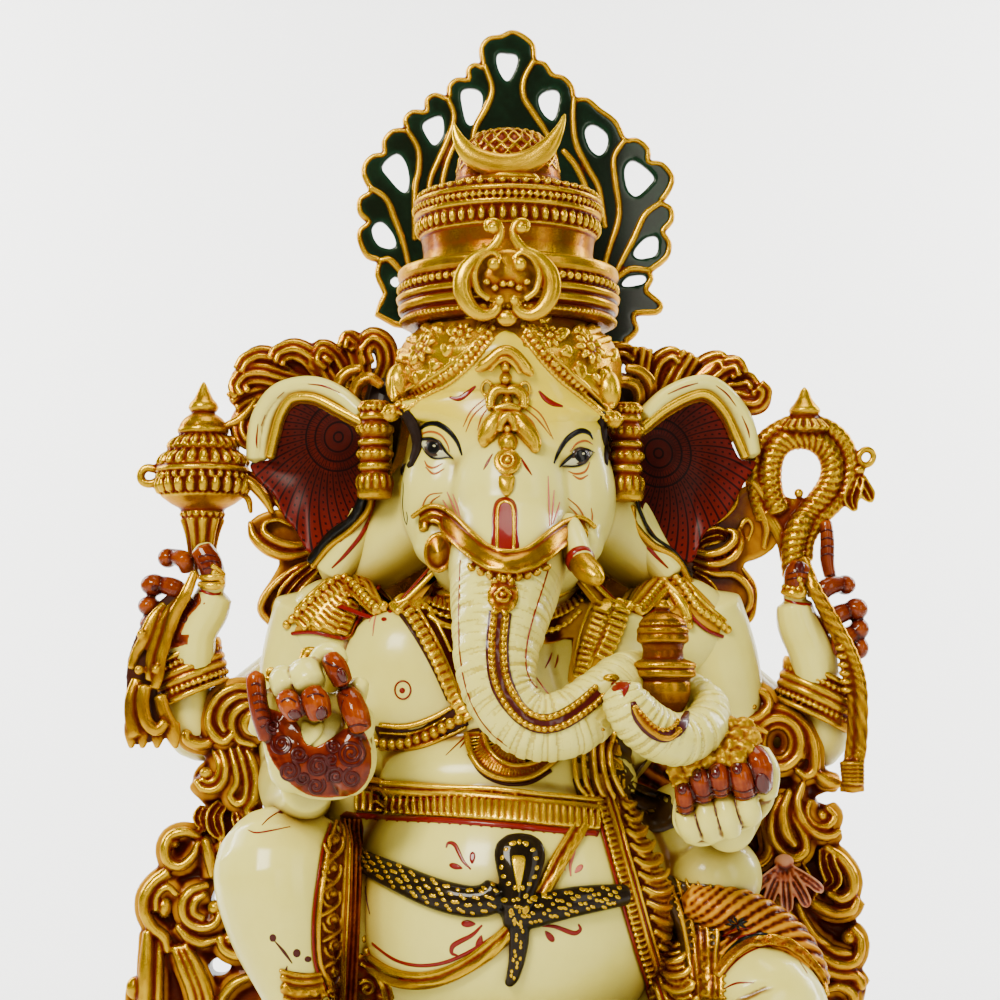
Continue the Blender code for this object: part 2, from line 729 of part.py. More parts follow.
def make_snake():
    """The snake tied round the belly, its hood up and its tail hanging."""
    rows = []
    for i in range(9):
        angle = math.radians(205 + 130 * i / 8)
        rows.append((2 + 77 * math.cos(angle), -30 + 70 * math.sin(angle), 224 - 17 * math.sin(math.pi * i / 8), 5.5, 4.5))
    parts = [
        tube("belt", rows, per=2, out=(0, -1, 0.05)),
        tube("hood", [(3, -101, 204, 6, 5), (4, -102, 216, 8, 5), (5, -102, 228, 11, 5), (5, -101, 236, 8, 4)], out=(0, -1, 0)),
        tube("tail", [(3, -101, 208, 5), (5, -103, 192, 5), (4, -100, 176, 4), (1, -97, 166, 2.5)]),
    ]
    finish(blend("snake_belt", parts, 1.7, 380, relax=0), BLACK)


def make_clothes():
    strap(
        "dhoti_fold_right",
        [(-62, -58, 244, 9, 6), (-73, -64, 226, 12, 7), (-75, -72, 200, 13, 8), (-73, -80, 172, 13, 8), (-68, -88, 146, 14, 8), (-60, -94, 128, 14, 6)],
        ORANGE,
        sides=10,
    )
    strap(
        "stole_left",
        [(46, -56, 288, 9, 5), (44, -82, 268, 12, 6), (48, -88, 244, 14, 7), (58, -88, 216, 16, 8), (64, -86, 188, 17, 9), (66, -88, 164, 17, 9)],
        ORANGE,
        sides=10,
    )
    for name, side in (("shawl_fold_right", -1), ("shawl_fold_left", 1)):
        parts = [
            tube("fold", [(side * 92, 6, 398, 9), (side * 108, 4, 388, 10), (side * 118, 2, 368, 10), (side * 114, 2, 350, 8)]),
            tube("curl", [(side * 100, 6, 404, 6), (side * 116, 2, 408, 7), (side * 124, 0, 396, 6), (side * 116, -2, 388, 5)]),
            tube("tail", [(side * 104, 6, 372, 8), (side * 122, 2, 362, 8), (side * 130, 0, 346, 6)]),
        ]
        finish(blend(name, parts, 2.6, 240, relax=0), GOLD)


def make_pot():
    profile = [(6, 291), (10, 293), (13, 300), (13.5, 307), (17, 311), (17, 315), (14, 318), (12, 323), (12, 326), (14, 329), (14, 334), (12, 336), (9, 341), (6, 344), (4, 346), (5, 350), (3, 352)]
    finish(turned("kalash_pot", profile, (71, -98), sides=16), GOLD)


def make_bracelets():
    for name, centre, tilt, radius in (("bracelet_rear_right", (-158.5, 6, 300), 4.0, 17.5), ("bracelet_rear_left", (155.5, 6, 296), -5.0, 17.5)):
        rows = []
        for i in range(13):
            angle = 2 * math.pi * i / 12
            rows.append((centre[0] + radius * math.cos(angle), centre[1] + radius * math.sin(angle), centre[2] + tilt * math.cos(angle), 4.5))
        ring = blend(name, [tube("ring", rows, sides=8, per=1)], 1.8, 200, relax=0)
        finish(ring, GOLD)


def make_weapons():
    profile = [(7, 352), (9, 366), (10, 384), (8, 391), (13, 395), (23, 402), (25, 409), (22, 414), (27, 419), (27, 424), (22, 430), (19, 434), (20, 437), (11, 441), (12, 445), (5, 449), (6, 453), (2, 460)]
    parts = [turned("mace", profile, (-154, 2), sides=20), ball("loop", (-181, 2, 418), (5, 3, 7), 8, 6)]
    finish(blend("mace", parts, 1.8, 420, relax=0), GOLD)
    loop = [(139, 4, 352, 5.5), (146, 4, 368, 5.5), (163, 3, 384, 5.5), (171, 3, 404, 5.5), (169, 3, 424, 5.5), (158, 3, 437, 5.5), (147, 3, 441, 5.5), (135, 3, 437, 5.5), (126, 3, 424, 5.5), (125, 3, 406, 5.5), (132, 2, 386, 5.5), (142, 1, 371, 5.5), (153, 1, 358, 5.5)]
    parts = [
        tube("loop", loop, sides=8, per=2),
        turned("finial", [(9, 440), (9, 444), (5, 447), (6, 451), (2, 458)], (147, 3), sides=10),
        ball("bow", (172, 0, 418), (6, 4, 8), 8, 6),
        ball("bow_end", (176, 0, 406), (4, 3, 6), 8, 6),
    ]
    finish(blend("noose", parts, 1.7, 420, relax=0), GOLD)


def make_hanging_cloths():
    strap("mace_ribbon", [(-172, -16, 346, 6, 3), (-179, -14, 324, 6, 3), (-182, -10, 300, 8, 4), (-184, -4, 280, 10, 5), (-183, 0, 272, 10, 4)])
    strap("noose_tail", [(168, -18, 342, 5, 4), (175, -15, 322, 5, 4), (176, -10, 300, 5, 4), (174, -6, 280, 6, 5), (173, -4, 262, 8, 6), (172, -4, 256, 8, 5)])


# ---------------------------------------------------------------- the throne


def spiral(side, x, y, z, radius, turns, start):
    """A scroll that winds in to its eye."""
    rows = []
    steps = max(7, int(turns * 9))
    for i in range(steps + 1):
        share = i / steps
        angle = math.radians(start) + turns * 2 * math.pi * share
        reach = radius * (1 - 0.72 * share)
        rows.append((side * (x + reach * math.cos(angle)), y - 4 * share, z + reach * math.sin(angle), 6.5 - 2 * share))
    return tube("scroll", rows, sides=8, per=1)


def make_scroll_frame(name, side, stem, scrolls, leaves):
    """An openwork bracket beside the body: a stem that climbs from the seat, with scrolls and leaves on it."""
    parts = [tube("stem", [(side * x, y, z, r) for x, y, z, r in stem], sides=10, per=3)]
    parts += [spiral(side, *scroll) for scroll in scrolls]
    for leaf in leaves:
        parts.append(tube("leaf", [(side * x, y, z, w, 7) for x, y, z, w in leaf], out=(0, -1, 0)))
    finish(blend(name, parts, 3.0, 640, relax=0), GOLD)


def make_throne_back():
    """The flat rear panel that joins the seat, the body and the fan."""
    edge = [(84, SEAT_TOP + GAP), (88, 200), (80, 300), (66, 350), (72, 400), (80, 440), (66, 479)]
    outline = edge + [(-x, z) for x, z in edge[::-1]]
    points = [(x, y, z) for y in (42.0, 52.0) for x, z in outline]
    count = len(outline)
    faces = [tuple(range(count)), tuple(range(2 * count - 1, count - 1, -1))]
    faces += [(i, (i + 1) % count, count + (i + 1) % count, count + i) for i in range(count)]
    finish(mesh_object("throne_back", points, faces), GOLD)


def make_scroll_frames():
    stem = [(112, 26, 124, 9), (134, 26, 146, 9), (150, 26, 176, 8.5), (152, 25, 206, 8), (142, 23, 236, 8), (132, 12, 258, 7), (133, -4, 270, 6.5), (138, -8, 288, 6)]
    make_scroll_frame(
        "scroll_frame_right",
        -1,
        stem,
        [
            (164, 24, 202, 20, 1.1, -60),
            (164, 24, 160, 22, 1.0, 100),
            (130, 24, 216, 17, 1.0, 20),
            (152, 22, 242, 15, 1.0, 200),
            (142, -8, 292, 13, 1.1, 200),
            (120, 24, 166, 18, 0.9, 20),
        ],
        [
            [(94, 30, 146, 12), (118, 28, 146, 14), (150, 26, 142, 12), (176, 26, 150, 8)],
            [(90, 30, 190, 8), (112, 28, 200, 9), (140, 26, 216, 9), (160, 24, 228, 7)],
            [(120, 4, 274, 6), (136, -6, 276, 7), (156, -6, 282, 6)],
        ],
    )
    make_scroll_frame(
        "scroll_frame_left",
        1,
        stem,
        [
            (136, -8, 280, 17, 1.2, 90),
            (156, 22, 240, 15, 1.0, 200),
            (164, 24, 206, 17, 1.0, -90),
            (162, 24, 164, 22, 1.0, 100),
            (128, 24, 222, 15, 0.9, 20),
            (118, 24, 168, 18, 0.9, 20),
        ],
        [
            [(94, 30, 146, 12), (118, 28, 146, 14), (150, 26, 142, 12), (174, 26, 150, 8)],
            [(90, 30, 190, 8), (112, 28, 204, 9), (140, 26, 222, 9), (164, 24, 240, 7)],
            [(104, -4, 296, 6), (118, -8, 300, 8), (134, -8, 294, 6)],
        ],
    )


def main():
    clear_scene()
    make_stand()
    make_torso()
    make_legs()
    make_head()
    make_trunk()
    make_arms()
    make_pot()
    make_sweets()
    make_hands()
    make_weapons()
    make_crown()
    make_fan()
    make_throne_back()
    make_scroll_frames()
    make_ears()
    make_tusks()
    make_tassels()
    make_plumes()
    make_crescent()
    make_medallion()
    make_face_ornaments()
    make_collars()
    make_chest_ornaments()
    make_snake()
    make_clothes()
    make_bracelets()
    make_hanging_cloths()


main()
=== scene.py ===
"""The looks of the Ganesha idol: carved and painted pieces over the CAD frame.

Lengths are millimetres, laid out around the figure's spine as in part.py. The front is laid out on an
elevation: `spot(u, w, y)` is the point at depth y that the eye sees u right of and w above its centre.
"Right" and "left" in names are the idol's own, so right is -X.
"""

import math

import bmesh
import bpy
import numpy as np
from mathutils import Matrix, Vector
from mathutils.bvhtree import BVHTree
from mathutils.geometry import tessellate_polygon


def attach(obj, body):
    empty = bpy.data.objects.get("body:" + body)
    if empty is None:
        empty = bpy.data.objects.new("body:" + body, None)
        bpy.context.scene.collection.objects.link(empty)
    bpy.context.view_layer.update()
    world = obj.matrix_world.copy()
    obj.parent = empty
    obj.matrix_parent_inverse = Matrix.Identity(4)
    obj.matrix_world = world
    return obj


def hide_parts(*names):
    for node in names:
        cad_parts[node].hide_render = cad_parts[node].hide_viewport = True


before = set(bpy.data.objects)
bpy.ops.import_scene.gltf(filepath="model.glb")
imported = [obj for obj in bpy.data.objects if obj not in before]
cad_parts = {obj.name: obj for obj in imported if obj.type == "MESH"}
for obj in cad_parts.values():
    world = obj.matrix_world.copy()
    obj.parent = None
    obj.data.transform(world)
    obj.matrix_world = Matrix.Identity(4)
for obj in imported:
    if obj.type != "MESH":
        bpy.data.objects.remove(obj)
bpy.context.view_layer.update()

MM = 0.001
SPINE_Y = 20.0  # the spine stands this far in front of the frame's origin, along +Y
COARSE = 1.0
KEPT_SMOOTH, KEPT_CARVED = 0.50, 0.36  # share of a melted surface's triangles that thinning leaves

# The eye, and the middle of the elevation it looks at
EYE = np.array([-4.0, -1100.0, 310.0])
AIM = np.array([-4.0, 0.0, 400.0])
SENSOR_SHARE = 500.0  # width that the frame shows at the elevation
REACH = float(np.linalg.norm(AIM - EYE))
AHEAD = (AIM - EYE) / REACH
ABOVE = np.array([0.0, -AHEAD[2], AHEAD[1]])

FRONT = np.array([0.0, -1.0, 0.0])
UP = np.array([0.0, 0.0, 1.0])


# ---------------------------------------------------------------- layout


def sight(u, w):
    """The direction in which the eye sees a point of the elevation."""
    ray = AHEAD * REACH + np.array([1.0, 0, 0]) * u + ABOVE * w
    return ray / np.linalg.norm(ray)


def spot(u, w, y):
    """The point at depth y behind a point of the elevation."""
    ray = sight(u, w)
    return EYE + ray * ((y - EYE[1]) / ray[1])


def spots(rows):
    """Rows of u, w, y and any more columns, as x, y, z and the same columns."""
    return [(*spot(row[0], row[1], row[2]), *row[3:]) for row in rows]


def unit(vectors):
    vectors = np.asarray(vectors, float)
    return vectors / np.maximum(np.linalg.norm(vectors, axis=-1, keepdims=True), 1e-9)


def smooth_path(rows, per):
    """A smooth curve through the rows, whatever columns they carry, with `per` steps a span."""
    rows = np.array(rows, float)
    if len(rows) < 3 and per > 1:
        share = np.linspace(0, 1, per + 1)[:, None]
        return rows[0] * (1 - share) + rows[1] * share
    ends = np.vstack([2 * rows[0] - rows[1], rows, 2 * rows[-1] - rows[-2]])
    out = []
    for a, b, c, d in zip(ends, ends[1:], ends[2:], ends[3:]):
        for step in range(per):
            s = step / per
            cubic = 3 * b - a - 3 * c + d
            out.append(0.5 * (2 * b + (c - a) * s + (2 * a - 5 * b + 4 * c - d) * s**2 + cubic * s**3))
    out.append(rows[-1])
    return np.array(out)


def even_steps(path, step):
    """The same curve with its points a given length apart."""
    path = np.asarray(path, float)
    run = np.concatenate([[0], np.cumsum(np.linalg.norm(np.diff(path[:, :3], axis=0), axis=1))])
    count = max(2, int(round(run[-1] / step)) + 1)
    at = np.linspace(0, run[-1], count)
    return np.stack([np.interp(at, run, path[:, k]) for k in range(path.shape[1])], 1)


# ---------------------------------------------------------------- shapes, as (points, faces)


def loft(rings, tips, closed=False):
    """A body through rings of points. It ends in a fan to each tip, or closes on itself."""
    rings = np.asarray(rings, float)
    count, sides = rings.shape[:2]
    points = rings.reshape(-1, 3)
    i, j = np.meshgrid(np.arange(count if closed else count - 1), np.arange(sides), indexing="ij")
    k = (j + 1) % sides
    n = (i + 1) % count
    faces = np.stack([i * sides + j, i * sides + k, n * sides + k, n * sides + j], -1).reshape(-1, 4).tolist()
    if not closed:
        points = np.vstack([points, tips])
        last = (count - 1) * sides
        for j in range(sides):
            k = (j + 1) % sides
            faces.append((k, j, count * sides))
            faces.append((last + j, last + k, count * sides + 1))
    return points, faces


def section(kind, sides):
    """Outlines to sweep, as across and out shares of the half width and half depth."""
    turn = np.arange(sides) * 2 * math.pi / sides
    if kind == "round":
        return np.stack([np.cos(turn), np.sin(turn)], 1)
    if kind == "strap":
        top = [(-1, 0.2), (-0.95, 1), (-0.72, 1), (-0.62, 0.35), (0.62, 0.35), (0.72, 1), (0.95, 1), (1, 0.2)]
    elif kind == "leaf":
        top = [(-1, 0.1), (-0.92, 0.85), (-0.7, 0.8), (-0.4, 0.1), (-0.15, 0.25), (0, 0.8), (0.15, 0.25),
            (0.4, 0.1), (0.7, 0.8), (0.92, 0.85), (1, 0.1)]
    elif kind == "ribs":
        top = [(-1 + i / 12, 1 if i % 6 in (2, 3, 4) else (0.6 if i % 6 in (1, 5) else 0.15)) for i in range(25)]
    elif kind == "blade":
        top = [(-1, 0), (-0.5, 0.6), (0, 1), (0.5, 0.6), (1, 0)]
    return np.array(top[::-1] + [(-0.85, -1), (0.85, -1)])


def sweep(rows, kind="round", sides=12, per=4, out=None, twist=0.0, lobes=0, closed=False):
    """A bar along rows of x, y, z, half width and, if it differs, half depth. `out` is the way its face
    points: one direction, or one for each row. `lobes` and `twist` make a rope of it."""
    rows = [tuple(row) for row in rows]
    if out is not None and np.ndim(out) == 2:
        rows = [(*row[:4], row[-1], *way) for row, way in zip(rows, out)]
        path = smooth_path(rows, per)
        ways = path[:, 5:8]
        path = path[:, :5]
    else:
        path = smooth_path(rows, per)
        ways = None if out is None else np.tile(np.asarray(out, float), (len(path), 1))
    centres = path[:, :3]
    along = unit(np.gradient(centres, axis=0))
    if closed:
        path, centres, along = path[:-1], centres[:-1], along[:-1]
        ways = None if ways is None else ways[:-1]
        along = unit(np.roll(centres, -1, 0) - np.roll(centres, 1, 0))
    if ways is None:
        side = [unit(np.cross(along[0], UP if abs(along[0][2]) < 0.8 else FRONT))]
        for direction in along[1:]:
            side.append(unit(side[-1] - direction * np.dot(side[-1], direction)))
        side = np.array(side)
    else:
        side = unit(np.cross(along, ways))
    depth = unit(np.cross(side, along))
    shape = section(kind, sides)
    if lobes:
        run = np.concatenate([[0], np.cumsum(np.linalg.norm(np.diff(centres, axis=0), axis=1))])
        turn = np.arange(sides) * 2 * math.pi / sides
        swell = 1 + 0.22 * np.abs(np.cos(lobes / 2 * (turn[None, :] + run[:, None] * twist)))
        across = np.cos(turn)[None, :] * swell * path[:, 3, None]
        outward = np.sin(turn)[None, :] * swell * path[:, -1, None]
    else:
        across = shape[None, :, 0] * path[:, 3, None]
        outward = shape[None, :, 1] * path[:, -1, None]
    rings = centres[:, None] + side[:, None] * across[..., None] + depth[:, None] * outward[..., None]
    tips = [centres[0] - along[0] * path[0, -1] * 0.5, centres[-1] + along[-1] * path[-1, -1] * 0.5]
    return loft(rings, tips, closed)


def ball(centre, radii, sides=16, rings=9):
    """An ellipsoid."""
    radii = np.broadcast_to(np.asarray(radii, float), 3)
    centre = np.asarray(centre, float)
    level = np.linspace(-math.pi / 2, math.pi / 2, rings + 2)[1:-1]
    turn = np.arange(sides) * 2 * math.pi / sides
    loops = [
        centre + radii * np.stack([np.cos(turn) * math.cos(a), np.sin(turn) * math.cos(a),
            np.full(sides, math.sin(a))], 1)
        for a in level
    ]
    return loft(loops, [centre - (0, 0, radii[2]), centre + (0, 0, radii[2])])


def balls(centres, radius, sides=8, rings=5):
    """Beads, one at each place."""
    points, faces = ball((0, 0, 0), radius, sides, rings)
    centres = np.asarray(centres, float)
    every = (centres[:, None, :] + points[None]).reshape(-1, 3)
    out = []
    for i in range(len(centres)):
        start = i * len(points)
        out += [tuple(start + k for k in face) for face in faces]
    return every, out


def turned(profile, middle, sides=48, squash=1.0, square=2.0, flutes=0, depth=0.0):
    """A stack of rings of (radius, height) around an upright axis, squared off or fluted if wanted."""
    turn = np.arange(sides) * 2 * math.pi / sides
    cos, sin = np.cos(turn), np.sin(turn)
    power = 2 / square
    scallop = 1 - depth * (1 - np.abs(np.cos(turn * flutes / 2))) if flutes else 1.0
    ring_x = np.sign(cos) * np.abs(cos) ** power * scallop
    ring_y = np.sign(sin) * np.abs(sin) ** power * scallop * squash
    loops = [np.stack([middle[0] + ring_x * r, middle[1] + ring_y * r, np.full(sides, z)], 1) for r, z in profile]
    tips = [(middle[0], middle[1], profile[0][1]), (middle[0], middle[1], profile[-1][1])]
    return loft(loops, tips)


def cutout(outline, holes, y, thick):
    """A flat plate at depth y, cut to an outline on the elevation and pierced."""
    loops = [[Vector((place[0], place[2], 0)) for place in spots([(*p,
        y) for p in loop])] for loop in [outline] + holes]
    flat = [(v.x, v.y) for loop in loops for v in loop]
    count = len(flat)
    points = [(x, y - thick / 2, z) for x, z in flat] + [(x, y + thick / 2, z) for x, z in flat]
    faces = []
    for triangle in tessellate_polygon(loops):
        faces.append(tuple(triangle))
        faces.append(tuple(count + k for k in reversed(triangle)))
    start = 0
    for loop in loops:
        for i in range(len(loop)):
            a, b = start + i, start + (i + 1) % len(loop)
            faces.append((a, b, count + b, count + a))
        start += len(loop)
    return np.array(points), faces


def round_loop(points, per=3):
    """A closed outline smoothed through its points."""
    closed = [points[-1]] + list(points) + [points[0], points[1]]
    return [tuple(p) for p in smooth_path(closed, per)[per : -per - 1]]


def around(middle, radius, z, count, squash=1.0, start=0.0, sweep_deg=360.0):
    """Places spaced round an upright axis."""
    angle = np.radians(start + np.arange(count) * sweep_deg / count)
    return np.stack([middle[0] + radius * np.cos(angle), middle[1] + radius * squash * np.sin(angle),
        np.full(count, z)], 1)


def moved(shape, shift):
    return np.asarray(shape[0]) + np.asarray(shift, float), shape[1]


# ---------------------------------------------------------------- pieces


def mesh_of(name, parts):
    points, faces = [], []
    start = 0
    for part_points, part_faces in parts:
        points.append(np.asarray(part_points, float))
        faces += [tuple(start + k for k in face) for face in part_faces]
        start += len(part_points)
    points = (np.vstack(points) + (0, SPINE_Y, 0)) * MM
    mesh = bpy.data.meshes.new(name)
    mesh.from_pydata(points.tolist(), [], faces)
    work = bmesh.new()
    work.from_mesh(mesh)
    bmesh.ops.recalc_face_normals(work, faces=work.faces)
    work.to_mesh(mesh)
    work.free()
    obj = bpy.data.objects.new(name, mesh)
    bpy.context.scene.collection.objects.link(obj)
    return obj


def apply_all(obj):
    graph = bpy.context.evaluated_depsgraph_get()
    mesh = bpy.data.meshes.new_from_object(obj.evaluated_get(graph))
    obj.modifiers.clear()
    old, obj.data = obj.data, mesh
    bpy.data.meshes.remove(old)
    mesh.name = obj.name


def read_points(mesh):
    points = np.empty(len(mesh.vertices) * 3, np.float32)
    mesh.vertices.foreach_get("co", points)
    return points.reshape(-1, 3).astype(float)


def read_normals(mesh):
    normals = np.empty(len(mesh.vertices) * 3, np.float32)
    mesh.vertex_normals.foreach_get("vector", normals)
    return normals.reshape(-1, 3).astype(float)


def relax(points, edges, rounds):
    """Laplacian smoothing of the points."""
    count = np.bincount(edges.ravel(), minlength=len(points))[:, None]
    for _ in range(rounds):
        total = np.stack(
            [
                np.bincount(edges[:, 0], points[edges[:, 1], k], len(points))
                + np.bincount(edges[:, 1], points[edges[:, 0], k], len(points))
                for k in range(3)
            ],
            1,
        )
        points = 0.4 * points + 0.6 * total / np.maximum(count, 1)
    return points


def mark_relief(mesh, fine, broad):
    """Stores how far each point stands out of its surroundings: 0.5 is level, 1 a ridge, 0 a crease."""
    points, normals = read_points(mesh), read_normals(mesh)
    edges = np.empty(len(mesh.edges) * 2, np.int32)
    mesh.edges.foreach_get("vertices", edges)
    edges = edges.reshape(-1, 2)
    near = relax(points, edges, 4)
    far = relax(near, edges, 18)
    rise = ((points - near) * normals).sum(1) / (fine * MM) + ((points - far) * normals).sum(1) / (broad * MM)
    layer = mesh.attributes.new("relief", "FLOAT", "POINT")
    layer.data.foreach_set("value", (0.5 + 0.5 * np.tanh(rise)).astype(np.float32))


def piece(name, parts, skin, nodes=(), slot="gold", voxel=0.8, smooth=2, carve=None, fine=0.20, broad=0.95):
    """One visible piece: its parts melted into one surface, carved, shaded by its relief and painted."""
    obj = mesh_of(name, parts)
    if voxel:
        melt = obj.modifiers.new("Melt", "REMESH")
        melt.mode = "VOXEL"
        melt.voxel_size = voxel * COARSE * MM
        if smooth:
            soften = obj.modifiers.new("Soften", "SMOOTH")
            soften.iterations = smooth
            soften.factor = 0.5
        apply_all(obj)
    mesh = obj.data
    if carve:
        points, normals = read_points(mesh), read_normals(mesh)
        layout = points / MM - (0, SPINE_Y, 0)
        points += normals * (carve(layout, normals) * MM)[:, None]
        mesh.vertices.foreach_set("co", points.astype(np.float32).ravel())
        mesh.update()
    mark_relief(mesh, fine, broad)
    if voxel:
        thin = obj.modifiers.new("Thin", "DECIMATE")
        thin.ratio = KEPT_SMOOTH if slot == "ivory" else KEPT_CARVED
        apply_all(obj)
        mesh = obj.data
    mesh.shade_smooth()
    mesh.materials.clear()
    mesh.materials.append(skin)
    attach(obj, "root")
    if nodes:
        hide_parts(*nodes)
    return obj


def surface_of(*objs):
    """One search tree over the pieces' surfaces, in layout millimetres."""
    points, faces, start = [], [], 0
    for obj in objs:
        own = read_points(obj.data) / MM - (0, SPINE_Y, 0)
        points.append(own)
        faces += [tuple(start + k for k in polygon.vertices) for polygon in obj.data.polygons]
        start += len(own)
    return BVHTree.FromPolygons(np.vstack(points).tolist(), faces)


def hit(tree, u, w):
    """Where the eye's ray to a place on the elevation meets the surface, with the surface's normal."""
    ray = sight(u, w)
    place, normal, _, _ = tree.ray_cast(Vector(EYE), Vector(ray))
    if place is None:
        near, normal, _, _ = tree.find_nearest(Vector(spot(u, w, -60)))
        place = near
    normal = np.array(normal)
    if normal @ ray > 0:
        normal = -normal
    return np.array(place), normal


def drape(tree, rows, lift=0.0, per=4, settle=2):
    """Rows of u, w and sizes laid on the surface: x, y, z and sizes, with the way out at each step."""
    path = smooth_path(rows, per)
    places, ways = [], []
    for row in path:
        place, normal = hit(tree, row[0], row[1])
        places.append(place)
        ways.append(normal)
    places, ways = np.array(places), np.array(ways)
    for _ in range(settle):
        for field in (places, ways):
            field[1:-1] = 0.5 * field[1:-1] + 0.25 * (field[:-2] + field[2:])
    ways = unit(ways)
    places = places + ways * lift
    return [(*place, *row[2:]) for place, row in zip(places, path)], ways


def laid(tree, rows, kind="strap", lift=0.0, per=4, **more):
    """A band laid on the surface."""
    placed, ways = drape(tree, rows, lift, per)
    return sweep(placed, kind, per=1, out=ways, **more)


def laid_beads(tree, rows, radius, step=None, lift=0.3, side=0.0):
    """A row of beads laid on the surface, `side` millimetres to one side of the line."""
    placed, ways = drape(tree, [row[:2] for row in rows], lift * radius, 6)
    line = even_steps(np.hstack([np.array(placed)[:, :3], ways]), step or radius * 1.9)
    centres, ways = line[:, :3], unit(line[:, 3:])
    if side:
        centres = centres + unit(np.cross(unit(np.gradient(centres, axis=0)), ways)) * side
    return balls(centres, radius)


# ---------------------------------------------------------------- paints


class Paint:
    """A Principled material being wired up."""

    def __init__(self, name):
        self.material = bpy.data.materials.new(name)
        self.material.use_nodes = True
        self.tree = self.material.node_tree
        self.shader = self.tree.nodes["Principled BSDF"]

    def set(self, **values):
        for key, value in values.items():
            self.shader.inputs[key.replace("_", " ")].default_value = value
        return self

    def node(self, kind, **values):
        made = self.tree.nodes.new(kind)
        for key, value in values.items():
            setattr(made, key, value)
        return made

    def link(self, source, target):
        self.tree.links.new(source, target)

    def feed(self, socket, value):
        if hasattr(value, "is_output"):
            self.link(value, socket)
        else:
            socket.default_value = value

    def math(self, operation, a, b=0.0, clamp=False):
        made = self.node("ShaderNodeMath", operation=operation, use_clamp=clamp)
        self.feed(made.inputs[0], a)
        self.feed(made.inputs[1], b)
        return made.outputs[0]

    def mix(self, share, a, b):
        made = self.node("ShaderNodeMix", data_type="RGBA")
        self.feed(made.inputs[0], share)
        self.feed(made.inputs[6], a if hasattr(a, "is_output") else (*a, 1.0))
        self.feed(made.inputs[7], b if hasattr(b, "is_output") else (*b, 1.0))
        return made.outputs[2]

    def ramp(self, value, stops):
        made = self.node("ShaderNodeValToRGB")
        ramp = made.color_ramp
        while len(ramp.elements) < len(stops):
            ramp.elements.new(0.5)
        for element, (place, colour) in zip(ramp.elements, stops):
            element.position = place
            element.color = (*colour, 1.0)
        self.link(value, made.inputs[0])
        return made.outputs[0]

    def step(self, value, low, high):
        """0 below low, 1 above high, smooth between."""
        made = self.node("ShaderNodeMapRange", interpolation_type="SMOOTHSTEP")
        self.feed(made.inputs[0], value)
        made.inputs[1].default_value = low
        made.inputs[2].default_value = high
        return made.outputs[0]

    def place(self):
        return self.node("ShaderNodeTexCoord").outputs["Object"]

    def noise(self, scale, detail=3.0, rough=0.6):
        made = self.node("ShaderNodeTexNoise")
        made.inputs["Scale"].default_value = scale
        made.inputs["Detail"].default_value = detail
        made.inputs["Roughness"].default_value = rough
        self.link(self.place(), made.inputs["Vector"])
        return made.outputs[0]

    def occlusion_shade(self, reach, rays=6):
        """0 in the open, towards 1 where other surfaces stand close and shade falls: the paints darken there as
        painted shade, and as glaze where a glaze would gather.
        """
        made = self.node("ShaderNodeAmbientOcclusion", samples=rays)
        made.inputs["Distance"].default_value = reach * MM
        return self.math("SUBTRACT", 1.0, made.outputs["AO"], clamp=True)

    def relief(self):
        return self.node("ShaderNodeAttribute", attribute_name="relief").outputs["Fac"]

    def bump(self, height, distance, strength=0.5):
        made = self.node("ShaderNodeBump")
        made.inputs["Strength"].default_value = strength
        made.inputs["Distance"].default_value = distance * MM
        self.link(height, made.inputs["Height"])
        self.link(made.outputs[0], self.shader.inputs["Normal"])


def aged(name, stops, rub=0.12, scale=260.0, metal=0.78, rough=0.27, coat=0.06, grain=0.25, glaze_and_shade=0.34,
    patches=0.60):
    """Paint over a dark ground: the ground stays in the creases and the ridges are rubbed bright. Where other
    surfaces stand close it darkens further, as glaze and painted shade.
    """
    paint = Paint(name)
    wear = paint.math("MULTIPLY", paint.math("SUBTRACT", paint.noise(scale), 0.5), rub * 2)
    drift = paint.math("MULTIPLY", paint.math("SUBTRACT", paint.noise(46.0, 3.0), 0.46), patches)
    level = paint.math("ADD", paint.math("ADD", paint.relief(), wear), drift)
    # painted shade and glaze: darker where other surfaces stand within 14 mm
    shade = paint.math("MULTIPLY", paint.occlusion_shade(14.0), glaze_and_shade)
    level = paint.math("SUBTRACT", level, shade, clamp=True)
    paint.link(paint.ramp(level, stops), paint.shader.inputs["Base Color"])
    shine = paint.math("MULTIPLY", paint.step(level, 0.22, 0.52), metal)
    paint.link(shine, paint.shader.inputs["Metallic"])
    paint.set(Roughness=rough, Specular_IOR_Level=0.06, Coat_Weight=coat, Coat_Roughness=0.07)
    paint.shader.inputs["Specular Tint"].default_value = (0.80, 0.52, 0.12, 1.0)
    paint.bump(paint.noise(1500.0, 2.0), grain, 0.35)
    return paint.material


